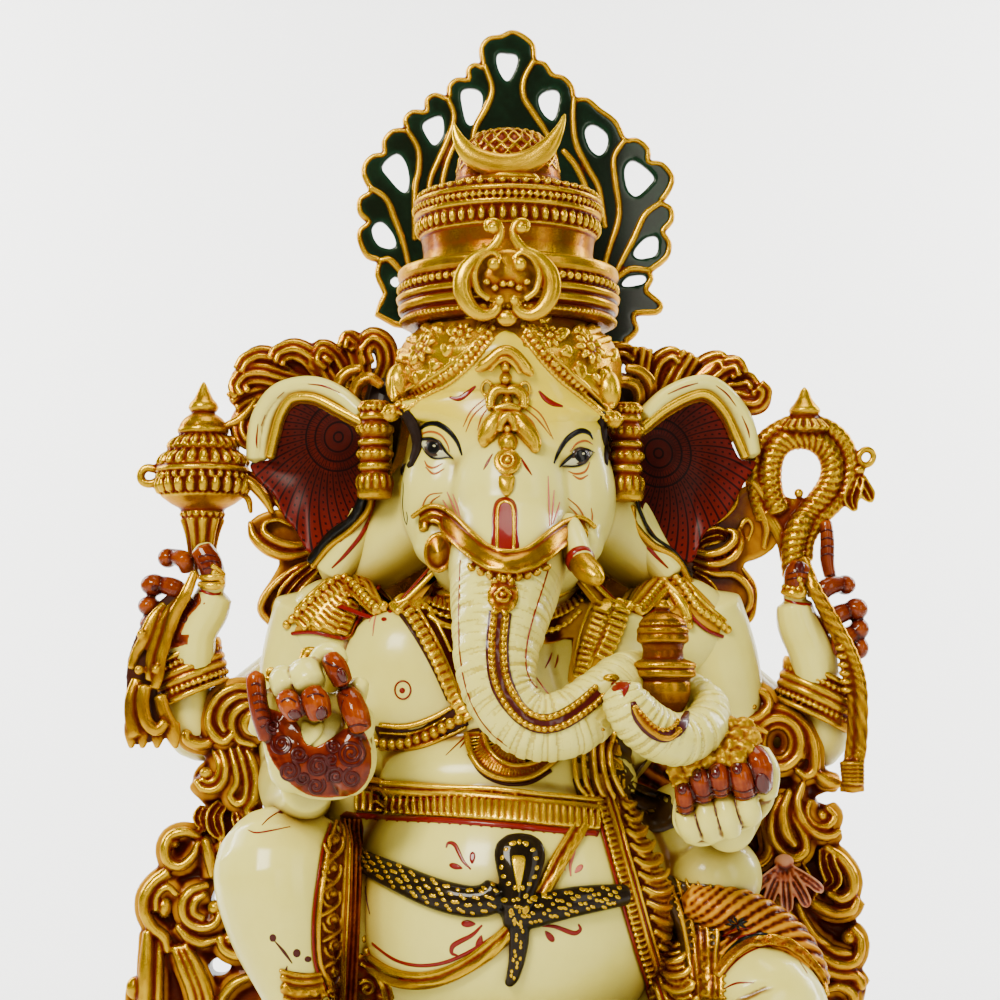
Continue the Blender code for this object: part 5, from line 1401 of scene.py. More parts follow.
    y = hit(tree, 36, -20)[0][1]
    horn = spots([(33.0, -12, y + 4, 6.6), (35.4, -19, y - 5, 7.4), (37.8, -25, y - 12, 7.0),
        (40.6, -31, y - 18, 6.4)])
    piece("tusk_left_skin", [sweep(horn, sides=24, per=5)], IVORY, ["tusk_left"], "ivory", voxel=0.7, smooth=4,
        fine=0.2, broad=1.0)
    tip = spots([(40.2, -30.6, y - 17, 6.0), (43.0, -34.4, y - 22, 6.2), (46.6, -37.6, y - 27, 5.4),
        (49.4, -39.8, y - 31, 3.2)])
    piece("tusk_left_tip", [sweep(tip, sides=24, per=5)], GOLD, voxel=0.6, smooth=3)
    band = spots([(39.4, -29.0, y - 16, 6.9), (40.4, -30.6, y - 18, 6.9)])
    piece("tusk_left_ring", [sweep(band, sides=24, per=3)], RED_LINE, slot="maroon", voxel=0)


TRUNK_MIDDLE = [(0.2, -56), (-0.8, -64), (-1.4, -72), (-1.2, -80), (-0.2, -88), (2.6, -96), (8, -104.4),
    (14, -109.6), (21, -112.0), (29, -110.8), (37, -106.6), (44, -101.4), (49.5, -96.4)]


def make_trunk_ornaments(tree):
    parts = [patch(tree, oval(1.4, -48.6, 7.6, 8.2), lift=1.6, dome=0.6),
        ring_on(tree, 1.4, -48.2, 3.2, 3.2, 0.9, 2.3), bump_on(tree, 1.5, -48.0, 2.3, 2.3, 1.6, 1.8)]
    parts += [bump_on(tree, u, w, 2.2, 2.0, 2.2, 1.2) for u, w in ((-2.4, -41.6), (1.6, -40.0), (5.4, -41.4))]
    wide = [0.95 * (1.0 if i < 6 else 0.86) for i in range(len(TRUNK_MIDDLE))]
    for side in (-1, 1):
        line = beside(TRUNK_MIDDLE, side * 2.7)
        parts.append(laid(tree, [(u, w, 2.0 * k, 0.9) for (u, w), k in zip(line, wide)], "round", lift=0.7, per=5,
            sides=10))
        parts.append(laid_beads(tree, line, 1.5, 2.9, lift=0.9))
    parts.append(bump_on(tree, 55.5, -89.0, 4.2, 1.9, 1.8, 0.4))
    piece("trunk_chain_skin", parts, GOLD, ["trunk_chain"], voxel=0.5, smooth=1)
    base = [laid(tree, [(u, w, 5.4 * k, 0.8) for (u, w), k in zip(TRUNK_MIDDLE, wide)], "round", lift=0.1, per=5,
        sides=12)]
    base.append(laid(tree, [(66.5, -101, 1.2, 0.5), (69, -108, 2.6, 0.7), (76, -115.6, 3.0, 0.8),
        (84, -118, 3.0, 0.8), (91, -112.6, 2.6, 0.7), (93.5, -106, 1.2, 0.5)], "round", lift=0.2, per=5, sides=12))
    piece("trunk_chain_ground", base, DARK_LINE, slot="maroon", voxel=0)
    tip = [laid(tree, [(u, w, 1.5, 0.8) for u, w in line], "round", lift=0.6, per=5,
        sides=8) for line in ([(67, -103), (70.5, -110), (77, -116.6), (84, -119.2), (90, -114.6)],)]
    tip.append(laid_beads(tree, [(70, -106), (76.5, -112.8), (83, -115.2), (89, -111)], 1.1, 2.2, lift=0.8))
    tip.append(laid(tree, [(51.2, -114.5, 0.9), (57, -121.0, 1.1), (63, -126.0, 1.1), (70, -129.5, 0.9)], "round",
        lift=0.4, per=5, sides=8))
    piece("trunk_tip_chain", tip, ORANGE_GOLD, voxel=0.45, smooth=1)
    reds = [stroke(tree, line, 0.5, taper=False) for line in (
        [(-19.8, -30), (-20.5, -50), (-20.5, -70), (-19, -85), (-16, -97), (-11, -108), (-4, -117), (5, -124)],
        [(25, -32), (21, -45), (16.8, -58), (13.8, -70), (12.8, -80), (14.2, -88), (18.2, -93.8), (24, -97.0)],
    )]
    reds.append(patch(tree, [(55.5, -91.6), (60, -90.4), (65, -90.6), (64.6, -93.6), (62.0, -98.6), (60.6, -95.0),
        (56.6, -95.6)], lift=0.3, rings=4))
    piece("trunk_red_marks", reds, RED_LINE, slot="maroon", voxel=0)


def make_pot():
    y = -98
    profile = [(-49.5, 0.6), (-50.5, 3.0), (-53, 4.4), (-55.2, 3.2), (-56.0, 4.6), (-57.2, 7.6), (-59.5, 10.4),
        (-62.4, 11.8), (-63.6, 11.4), (-64.2, 12.6), (-66.2, 12.8), (-66.8, 11.2), (-67.4, 12.6), (-70.2, 12.8),
        (-71.2, 12.2), (-72, 10.6), (-75, 9.8), (-79.4, 10.2), (-80.4, 13.6), (-81.6, 15.8), (-83.6, 16.2),
        (-84.6, 14.8), (-85.4, 16.0), (-88.0, 15.9), (-89.4, 13.4), (-90.6, 12.4), (-91.4, 13.2), (-96, 13.4),
        (-101, 12.2), (-106, 9.4), (-109.5, 5.4), (-110.5, 1.0)]
    x = spot(81.5, -80, y)[0]
    rows = [(r * 0.93, spot(81.5, w, y)[2]) for w, r in profile]
    parts = [turned(rows[::-1], (x, y), sides=64)]
    for w, r, size in ((-62.2, 11.0, 1.0), (-82.6, 15.0, 1.25)):
        parts.append(balls(around((x, y), r * 0.93, spot(81.5, w, y)[2], int(r * 3.6)), size))
    piece("kalash_pot_skin", parts, OLIVE_GOLD, ["kalash_pot"], voxel=0.5, smooth=1)


# ---------------------------------------------------------------- the hands


def capsule(line, y, width, **more):
    """A finger along a line of (u, w) or (u, w, nearness)."""
    rows = []
    count = len(line) - 1
    for i, place in enumerate(line):
        near = place[2] if len(place) > 2 else 0.0
        rows.append((place[0], place[1], y - near, width * (0.86 if i in (0, count) else 1.0)))
    return sweep(spots(rows), "round", sides=14, per=5, **more)


def make_front_right_hand():
    y = -106
    rim = [(-124, -98), (-121.5, -108), (-119, -119), (-116.5, -130), (-110, -139.5), (-100.5, -147.5), (-90, -150),
        (-79, -149.5), (-69, -145), (-63.5, -138), (-61.5, -129), (-63, -119), (-65, -112), (-70, -104), (-80, -98),
        (-95, -94), (-110, -93)]
    parts = [
        dished(round_loop(rim, 3), lambda u: y + 6, 16, 0.0, rings=6),
        ball(spot(-93, -126, y), (22, 8, 20), 24, 14),
        ball(spot(-104, -132, y - 2), (11, 8, 13), 20, 12),
        ball(spot(-74, -130, y - 3), (10, 9, 16), 20, 12),
        ball(spot(-70, -112, y - 3), (7, 8, 9), 16, 10),
        capsule([(-106, -92, -2), (-108, -90, 4), (-107, -95, 9)], y, 7.0),
        capsule([(-96, -88, -2), (-97, -88, 6), (-94, -93, 11)], y, 8.4),
        capsule([(-92, -92, -6), (-91.5, -82, 0), (-88, -76.5, 2), (-82.5, -76.5, 3), (-79.5, -82, 5)], y, 4.6),
        capsule([(-71.5, -101, -4), (-70.5, -94, 2), (-70.5, -90.5, 4)], y, 4.6),
        capsule([(-121, -116, -4), (-118, -106, 0), (-117, -97, 0)], y, 5.6),
    ]
    skin = piece("hand_front_right_skin", parts, IVORY, ["hand_front_right"], "ivory", voxel=0.9, smooth=4,
        fine=0.2, broad=1.0)
    tree = surface_of(skin)
    palm = [(-119.5, -104), (-117.8, -118), (-115, -128), (-109, -137.5), (-100.5, -145), (-91, -148.6),
        (-80, -148.4), (-72, -146), (-66.5, -140), (-64.6, -131), (-65.5, -121), (-69, -115), (-76, -114),
        (-83, -118), (-92, -123.5), (-98, -121), (-101, -112), (-108, -107)]
    fingers = [
        capsule([(-116.5, -119, 1), (-119.5, -108, 4), (-121.3, -98, 4), (-122.2, -90, 3), (-122.3, -87, 3)], y,
            4.5),
        capsule([(-107.5, -98.5, 11), (-104.5, -102.5, 14), (-101.5, -108.0, 12)], y, 5.7),
        capsule([(-94.0, -96.5, 13), (-91.8, -101.5, 16), (-90.0, -108.0, 14)], y, 6.4),
        capsule([(-84.5, -79.5, 6), (-81.5, -84.5, 10), (-78.4, -91.5, 9)], y, 5.4),
        capsule([(-76.5, -96.5, 4), (-74.6, -101, 9), (-71.5, -108, 12), (-69.6, -114, 10)], y, 6.0),
        capsule([(-76, -95, 6), (-77.5, -98, 7)], y, 3.0),
    ]
    parts = fingers + [patch(tree, palm, lift=0.7, dome=0.4, rings=7, per=3)]
    henna = piece("hand_front_right_henna", parts, HENNA, slot="orange", voxel=0.6, smooth=2, fine=0.2, broad=1.0)
    tree = surface_of(skin, henna)
    lines = []
    for u, w, r, turns, start, way in ((-74.5, -126.5, 7.6, 2.6, 200, 1), (-74, -139, 5.0, 1.8, 20, -1),
        (-91, -133, 6.4, 2.4, 90, -1), (-105.5, -135.5, 5.6, 2.2, 0, 1), (-109, -122, 5.4, 2.0, 160, -1),
        (-92, -143, 4.6, 1.8, 120, 1), (-100.5, -127, 4.4, 1.8, 60, 1), (-83, -123, 3.6, 1.6, 0, -1),
        (-113.5, -113, 3.8, 1.7, 40, 1), (-82, -138, 4.6, 1.9, 250, 1), (-98.5, -139, 3.4, 1.5, 10, -1),
        (-84, -130, 3.6, 1.6, 90, 1)):
        lines.append(stroke(tree, swirl(u, w, r, turns, start, way), 0.8, taper=False, lift=0.15))
    for w, a, b in ((-92, -125, -119), (-97, -124.5, -117.5), (-101, -124, -116), (-105, -123, -115),
        (-109, -122, -114), (-113, -120.5, -112.5)):
        lines.append(stroke(tree, [(a + 0.8, w - 0.6), ((a + b) / 2, w + 0.4), (b - 0.8, w - 0.8)], 0.6,
            taper=False))
    for line in ([(-84.5, -92.5), (-80, -96), (-76.2, -98)], [(-104, -92), (-102, -96), (-99.2, -101)],
        [(-78.5, -100), (-79.5, -106), (-77.5, -112)], [(-75.5, -113.5), (-71, -112.2), (-66.6, -113.0)],
        [(-88.0, -80.5), (-85, -82.4), (-81.0, -83.4)], [(-96.5, -98.5), (-92, -96.8), (-88.0, -98.2)],
        [(-109.5, -101), (-106, -99.0), (-102, -101)]):
        lines.append(stroke(tree, line, 0.5, taper=False))
    piece("hand_front_right_lines", lines, DARK_LINE, slot="maroon", voxel=0)
    nails = [patch(tree, oval(-102.6, -107.4, 3.4, 2.6, -20), lift=0.4, dome=0.5),
        patch(tree, oval(-89.2, -106.8, 2.8, 3.8, 0), lift=0.4, dome=0.5),
        patch(tree, oval(-79.0, -87.6, 2.2, 4.0, 25), lift=0.4, dome=0.5)]
    piece("hand_front_right_nails", nails, NAIL, slot="maroon", voxel=0)
    piece("hand_front_right_jewel", [patch(tree,
        [(-98.5, -110.5), (-93, -112.5), (-88.5, -111), (-89, -116.5), (-95, -122.6), (-98.8, -118)], lift=0.9,
        dome=0.6)], IVORY, slot="ivory", voxel=0)
    rings = [sweep(spots([(a, b, y + 2, 1.5) for a, b in swirl(-115, -86.5, 3.2, 0.9, 200, -1, 8)]), sides=10,
        per=3), ball(spot(-95, -76.5, y + 4), (4.6, 3.4, 3.0), 14, 8),
        ball(spot(-97.5, -80, y + 3), (3.0, 3.0, 3.4), 12, 8), ball(spot(-96, -84, y + 1), (3.4, 3, 1.6), 12, 8),
        ball(spot(-90.5, -76, y + 5), (2.4, 2.4, 2.0), 12, 8)]
    rings.append(sweep(spots([(-109.5, -90.5, y + 4, 1.2), (-113, -94, y + 1, 1.6), (-112.5, -99.5, y + 1, 1.0)]),
        sides=8, per=4))
    piece("hand_front_right_rings", rings, BRIGHT_GOLD, voxel=0.5)


def make_front_left_hand():
    y = -100
    rim = [(86, -158), (89, -167), (96, -172.5), (104, -173), (112, -169.5), (121, -166), (129, -161.5),
        (136, -153.5), (138, -142), (136.5, -130), (131, -122.5), (120, -124), (100, -130), (90, -140)]
    parts = [dished(round_loop(rim, 3), lambda u: y + 7, 18, 0.0, rings=6)]
    knuckles = ([(92.0, -155, 3), (94.5, -163, 6), (97, -169, 3)],
        [(101.5, -149, 4), (104, -160, 8), (106.5, -169, 4)], [(111.0, -147, 5), (113.5, -158, 9), (116, -167, 5)],
        [(122.0, -147, 5), (124, -154, 8), (126, -160, 5)])
    parts += [capsule(line, y, width) for line, width in zip(knuckles, (5.4, 5.2, 5.2, 5.8))]
    parts.append(capsule([(129, -126, 0), (133, -136, 2), (132.5, -148, 4)], y, 6.4))
    skin = piece("hand_front_left_skin", parts, IVORY, ["hand_front_left"], "ivory", voxel=0.9, smooth=4, fine=0.2,
        broad=1.0)
    tips = (
        ([(93.0, -155.5, 8), (92.2, -148, 11), (91.0, -142.5, 10)], 4.3),
        ([(102.0, -149.5, 9), (100.2, -141, 13), (98.9, -135.5, 11)], 4.8),
        ([(110.4, -146.5, 10), (109.4, -139, 14), (108.4, -133.5, 12)], 5.0),
        ([(122.4, -147.5, 9), (120.2, -139, 13), (118.2, -133.0, 11)], 5.6),
    )
    parts = [capsule(line, y, width) for line, width in tips]
    parts.append(capsule([(126.4, -126.5, 5), (129.6, -133, 9), (130.6, -144.5, 6)], y, 6.2))
    henna = piece("hand_front_left_henna", parts, HENNA, slot="orange", voxel=0.6, smooth=2, fine=0.2, broad=1.0)
    tree = surface_of(henna, skin)
    nails = [patch(tree, oval(u, w, 2.3, 3.2, 4), lift=0.4, dome=0.5) for u, w in ((90.8, -144), (98.4, -137.4),
        (107.6, -136.0), (118.6, -134.0))]
    nails.append(patch(tree, oval(131.4, -142.0, 3.6, 5.6, 15), lift=0.3, dome=0.3))
    piece("hand_front_left_nails", nails, NAIL, slot="maroon", voxel=0)
    lines = []
    for u, w, half in ((92.9, -156.4, 4.6), (92.8, -153.6, 4.4), (102.2, -151.0, 4.8), (102, -148.2, 4.6),
        (110.8, -147.6, 5.0), (110.4, -145.0, 4.8), (122.6, -148.8, 5.6), (121.8, -145.6, 5.4)):
        lines.append(stroke(tree, [(u - half, w + 0.8), (u, w - 0.6), (u + half, w + 1.6)], 0.55, taper=False))
    for line in ([(97.6, -157), (99, -163), (101, -168)], [(106.6, -150.5), (109, -160), (112, -170)],
        [(117, -150), (119, -158), (121.6, -164)], [(94, -173.2), (100, -174.2), (106, -173.2)]):
        lines.append(stroke(tree, line, 0.5))
    piece("hand_front_left_lines", lines, DARK_LINE, slot="maroon", voxel=0)


def make_sweets():
    places = [(93 + 7.2 * i + 3.4 * (k % 2), -112.5 - 5.6 * k - 0.5 * abs(i - 2),
        3.4 * k) for k in range(4) for i in range(5 - k // 3) if 90 < 93 + 7.2 * i + 3.4 * (k % 2) < 126]
    places += [(88.6, -134.6, 8), (90.5, -139.6, 8), (95.6, -133.6, 10)]
    parts = [ball(spot(u, w, -101 - near), 4.9, 14, 9) for u, w, near in places]
    for i, (u, w, near) in enumerate(places):
        centre = spot(u, w, -101 - near)
        for k in range(12):
            angle, level = 2.4 * k + i, -0.8 + 0.15 * k
            way = np.array([math.cos(angle) * math.cos(level), -abs(math.sin(angle)) * math.cos(level),
                math.sin(level)])
            parts.append(ball(centre + way * 4.6, 1.15, 7, 5))
    parts.append(ball(spot(106, -124, -93), (17, 8, 9), 20, 12))
    piece("sweets_skin", parts, LADDU, ["sweets"], "gold", voxel=0.55, smooth=1)


# ---------------------------------------------------------------- rear hands, mace and noose


def flat_bar(line, y, width, depth=None, kind="round", **more):
    """A bar along a line of (u, w) or (u, w, nearness), its face to the front."""
    rows = []
    for i, place in enumerate(line):
        near = place[2] if len(place) > 2 else 0.0
        wide = width[i] if isinstance(width, (list, tuple)) else width
        rows.append((place[0], place[1], y - near, wide, wide * 0.8 if depth is None else depth))
    more.setdefault("sides", 12)
    more.setdefault("per", 5)
    return sweep(spots(rows), kind, out=FRONT, **more)


def make_mace():
    y = 2.0
    centre = spot(-148.5, 20, y)
    shape = [(59.2, 0.6), (57, 2.0), (54, 3.4), (50.5, 5.2), (48.4, 7.4), (46.2, 8.4), (44.6, 7.6), (43.2, 6.0),
        (42.6, 7.6), (40.6, 10.6), (38.2, 12.6), (36.4, 13.2), (35, 14.2), (33.4, 14.0), (32.0, 12.2), (31.2, 12.6),
        (29, 16.2), (26.6, 19.4), (25, 19.8), (23.8, 18.4), (22, 20.4), (19, 23.2), (16.8, 24.8), (16.2, 24.2),
        (15.6, 25.6), (14.2, 25.8), (13.2, 24.4), (12.4, 23.4), (10.6, 24.0), (7, 23.6), (4, 22.8), (2.8, 22.0),
        (1.6, 22.6), (0.4, 21.0), (-2, 17.4), (-4.2, 12.8), (-5.4, 11.6), (-6.4, 12.0), (-8, 11.2), (-12, 9.6),
        (-18, 8.2), (-26, 7.0), (-38, 6.2)]
    rows = [(r * 0.915, spot(-148.5, w, y)[2]) for w, r in shape]
    parts = [turned(rows[::-1], (centre[0], y), sides=72)]

    def level(w):
        return spot(-148.5, w, y)[2]

    middle = (centre[0], y)
    parts.append(balls(around(middle, 22.4, level(11.4), 30), 1.7))
    parts.append(balls(around(middle, 20.0, level(2.0), 44), 1.0))
    parts.append(balls(around(middle, 10.4, level(-7.4), 18), 1.3))
    for i in range(22):
        angle = i * 2 * math.pi / 22
        way = np.array([math.cos(angle), math.sin(angle), 0])
        for low, high, foot, head, thick in ((3.6, 10.0, 21.2, 22.2, 2.5), (17.4, 23.4, 22.2, 16.6, 2.6),
            (25.8, 31.2, 17.4, 11.4, 2.2)):
            a, b = np.array([*middle, level(low)]) + way * foot, np.array([*middle, level(high)]) + way * head
            parts.append(sweep([(*a, thick * 0.8), (*((a + b) / 2 + way * 0.5), thick), (*b, thick * 0.6)], sides=8,
                per=2))
    for i in range(9):
        angle = i * 2 * math.pi / 9
        way = np.array([math.cos(angle), math.sin(angle), 0])
        rows = [(*(np.array([*middle, level(w)]) + way * r), thick) for w, r, thick in ((-9.5, 9.0, 2.6),
            (-16, 7.0, 2.2), (-26, 5.4, 1.9), (-37, 4.6, 1.8))]
        parts.append(sweep(rows, sides=8, per=3))
    loop = [(-172, 15.4, 2.2), (-176.6, 16, 2.2), (-179.4, 13.4, 2.2), (-179.0, 9.6, 2.2), (-175.6, 8.0, 2.2),
        (-172.0, 9.0, 2.2)]
    parts.append(sweep(spots([(u, w, y, r) for u, w, r in loop]), sides=10, per=4))
    piece("mace_skin", parts, GOLD, ["mace"], voxel=0.65, smooth=1)


def cuff(name, node, u, w, tilt, half):
    """A broad cuff of plain and beaded rings round a forearm."""
    x, _, z = spot(u, w, 4)
    parts = []
    for k, (thick, beads) in enumerate(((1.5, 0), (1.3, 1.5), (2.4, 0), (2.4, 0), (1.3, 1.5), (1.5, 0))):
        rise = 9.5 - 3.9 * k
        rows = []
        for i in range(25):
            angle = i * 2 * math.pi / 24
            rows.append((x + half * math.cos(angle) - tilt * 0.04 * rise, 4 + half * 0.95 * math.sin(angle),
                z + rise + tilt * math.cos(angle), thick))
        parts.append(sweep(rows[:-1] + rows[:1], sides=10, per=2))
        if beads:
            line = np.array([row[:3] for row in rows])
            line = line + (line - (x, 4, z)) * (0.05, 0.05, 0)
            parts.append(balls(even_steps(line, 3.0), beads))
    inner = [(half - 1.2, -12), (half, -9), (half, 9), (half - 1.2, 12)]
    points, faces = turned(inner, (0, 0), sides=40, squash=0.95)
    points = points + np.stack([x + 0 * points[:, 0], 4 + 0 * points[:, 0], z + tilt * points[:, 0] / half], 1)
    parts.append((points, faces))
    piece(name, parts, GOLD, [node], voxel=0.6, smooth=1)


def make_rear_right_hand():
    y = -4
    parts = [
        capsule([(-152, -92, -4), (-153, -78, 0), (-152, -66, 2), (-146, -55, 3), (-142.5, -47, 4)], y, 10.5),
        capsule([(-160, -80, 0), (-159, -66, 2), (-153, -52, 3)], y, 8.0),
        capsule([(-148.5, -50, 4), (-143.5, -42, 7), (-145.5, -31, 8), (-149.5, -24, 7)], y, 6.4),
    ]
    skin = piece("hand_rear_right_skin", parts, IVORY, ["hand_rear_right"], "ivory", voxel=0.9, smooth=5, fine=0.2,
        broad=1.0)
    tree = surface_of(skin)
    parts = [
        capsule([(-143.5, -39.5, 9), (-145.2, -32, 10), (-149.4, -24.5, 9)], y, 6.3),
        ball(spot(-166, -29, y), (5.2, 6, 5.0), 16, 10),
        ball(spot(-173, -42.5, y - 2), (6.8, 7, 5.6), 18, 11),
        ball(spot(-175.5, -53, y - 2), (5.6, 7, 5.0), 16, 10),
        ball(spot(-175, -62, y - 1), (5.2, 6, 5.2), 16, 10),
        capsule([(-164, -28, 0), (-158, -30, 6), (-156, -35, 4)], y, 4.6),
        capsule([(-171, -42, 0), (-163, -44, 6), (-158, -48, 4)], y, 5.0),
        capsule([(-174, -54, 0), (-165, -57, 5), (-160, -62, 3)], y, 5.0),
        patch(tree, [(-150.5, -46.5), (-150, -52), (-156, -59), (-159.5, -67), (-164, -73), (-168, -77),
            (-167, -66), (-161, -55), (-155, -48)], lift=0.5),
    ]
    henna = piece("hand_rear_right_henna", parts, HENNA_DARK, slot="orange", voxel=0.6, smooth=2, fine=0.2,
        broad=1.0)
    tree = surface_of(henna, skin)
    lines = [stroke(tree, [(a, w), ((a + b) / 2, w + 1.2), (b, w + 0.4)], 0.5,
        taper=False) for a, b, w in ((-150.6, -142.5, -28.5), (-149.6, -140.6, -31.6), (-148.8, -139.2, -34.8))]
    lines += [stroke(tree, swirl(u, w, 3.0, 1.6, 0, 1, 12), 0.45, taper=False) for u, w in ((-154, -52),
        (-158.5, -59.5))]
    lines.append(patch(tree, oval(-172.6, -44.0, 1.8, 1.6), lift=0.3, dome=0.2))
    piece("hand_rear_right_lines", lines, DARK_LINE, slot="maroon", voxel=0)
    band = [laid(tree, [(-149.5, -42.2, 1.5), (-143, -42.8, 2.2), (-136.4, -41.0, 1.5)], "round", lift=0.8, per=5,
        sides=10), laid(tree, [(-149.8, -38.6, 1.2), (-142, -38.4, 1.8), (-136.4, -37.2, 1.2)], "round", lift=0.8,
        per=5, sides=10)]
    piece("hand_rear_right_ring", band, BRIGHT_GOLD, voxel=0)
    piece("hand_rear_right_edge", [stroke(tree, [(-150, -45.0), (-143, -47.2), (-136, -46.0)], 0.9, taper=False)],
        RED_LINE, slot="maroon", voxel=0)


def make_mace_ribbon():
    y = -16
    strands = [
        flat_bar([(-152.5, -36, 2), (-157, -47, 4), (-162, -56, 2), (-166, -67), (-169.5, -78), (-171, -88),
            (-172.5, -94)], y, [2.2, 3.0, 3.2, 3.2, 3.2, 3.0, 2.4]),
        flat_bar([(-159, -48, 0), (-166, -56, 0), (-171, -66), (-174.5, -78), (-175.5, -90)], y,
            [1.6, 2.4, 2.6, 2.6, 2.0]),
        flat_bar([(-168, -52, -2), (-174, -60), (-178, -70), (-182, -77, -3), (-184.5, -84, -3)], y,
            [1.8, 3.0, 3.2, 2.8, 2.0]),
        flat_bar([(-181, -90, -4), (-184, -99, -3), (-184, -109, -3), (-182.5, -118, -3)], y, [3.4, 3.6, 3.8, 3.4]),
        flat_bar([(-177.5, -93), (-178.5, -102), (-176.5, -111), (-171.5, -115), (-167.5, -111)], y,
            [3.4, 3.4, 3.4, 3.2, 2.6]),
        flat_bar([(-170, -98, -3), (-168, -106, -3), (-164, -114, -4), (-162.5, -120, -5)], y,
            [3.4, 3.6, 3.4, 2.2]),
        ball(spot(-179.4, -67, y - 2), (2.4, 2.4, 2.4), 12, 8),
        ball(spot(-180.4, -85, y - 2), (2.4, 2.4, 2.4), 12, 8),
        ball(spot(-172, -84.6, y - 2), (2.2, 2.2, 2.2), 12, 8),
    ]
    for a, b in ((-183.5, -184.5), (-178, -178.8), (-171, -171.5), (-164.5, -162)):
        strands.append(flat_bar([(a, -112, -5), ((a + b) / 2, -118, -5), (b, -124, -5)], y, [4.6, 3.8, 1.2]))
    piece("mace_ribbon_skin", strands, OLIVE_GOLD, ["mace_ribbon"], voxel=0.7, smooth=2)
    ground = [flat_bar([(-158, -46, -6), (-170, -62, -6), (-177, -80, -6), (-179, -95, -6), (-178, -110, -6),
        (-175, -120, -6)], y, [5, 8, 9, 8, 9, 8], 3.0)]
    piece("mace_ribbon_ground", ground, DARK_GROUND, slot="maroon", voxel=0.9)


def make_noose():
    y = 3
    inner = [(139.5, -6), (136.0, 3), (135.0, 13), (136.6, 22.4), (141.2, 28.6), (148, 31.0), (155, 30.6),
        (161.4, 27), (165.4, 20.5), (166, 13), (163.6, 6), (158.6, -1), (153.4, -7.5), (149.4, -14), (147.0, -21),
        (146.4, -30), (147, -38)]
    outer = [(131.5, -10), (128.4, 0), (126.8, 10), (127.4, 19), (131, 28.6), (138.4, 34.8), (147.5, 38.6),
        (157, 38.4), (166.4, 34.4), (172.6, 27.4), (175, 18), (173.8, 9), (169.4, 0.5), (162.6, -6.5), (157, -13),
        (153, -20.6), (152, -30)]
    parts = [
        sweep(spots([(u, w, y - (3 if i > 12 else 0), 5.2) for i, (u, w) in enumerate(inner)]), sides=18, per=8,
            lobes=4, twist=0.42),
        cutout(round_loop([(137, 5), (142.5, 1.6), (149.5, 0.4), (157, 3.0), (161, 6), (156, -7), (150, -16),
            (146, -24), (141, -16), (137, -6)], 3), [], y + 2, 7),
            ball(spot(149.4, 3.4, y - 2), (2.4, 2.4, 2.4), 14, 9),
        sweep(spots([(u, w, y + 2 - (2 if i > 12 else 0), 3.9) for i, (u, w) in enumerate(outer)]), sides=18, per=8,
            lobes=4, twist=0.42),
    ]
    parts.append(flat_bar([(133, -6), (138, -14), (142, -22), (143.5, -30)], y, 3.6))
    x, _, _ = spot(152.3, 45, y)
    finial = [(56.4, 0.6), (54.5, 2.4), (51, 3.8), (48, 6.0), (46, 8.0), (44.4, 8.8), (43, 8.0), (41.8, 6.8),
        (40.2, 7.4), (38.8, 9.4), (36.6, 11.4), (34.6, 12.4), (33, 9)]
    parts.append(turned([(r * 0.915, spot(152.3, w, y)[2]) for w, r in finial][::-1], (x, y), sides=48))
    for i in range(16):
        angle = i * 2 * math.pi / 16
        way = np.array([math.cos(angle), math.sin(angle), 0])
        top, foot = np.array([x, y, spot(152, 39.6, y)[2]]) + way * 7.6, np.array([x, y,
            spot(152, 34.8, y)[2]]) + way * 11.2
        parts.append(sweep([(*top, 1.3), (*foot, 1.9)], sides=8, per=3))
    parts.append(sweep(spots([(u, w, y, 1.7) for u, w in oval(183, 21.4, 3.6, 4.0, -30, 14) + oval(183, 21.4, 3.6,
        4.0, -30, 14)[:1]]), sides=10, per=2))
    parts += [ball(spot(179.6, 14.8, y), (3.2, 3, 2.2), 12, 8),
        flat_bar([(177, 18), (175, 16), (173.4, 13)], y, 2.0)]
    parts += [frond([(179.2, 11.5), (177.2, 6), (175.6, 0), (177.6, -5.4)], y, 4.6),
        frond([(180.2, 11.5), (182.4, 6), (184.4, 2), (186, -1)], y, 3.8)]
    piece("noose_skin", parts, GOLD, ["noose"], voxel=0.6, smooth=1)


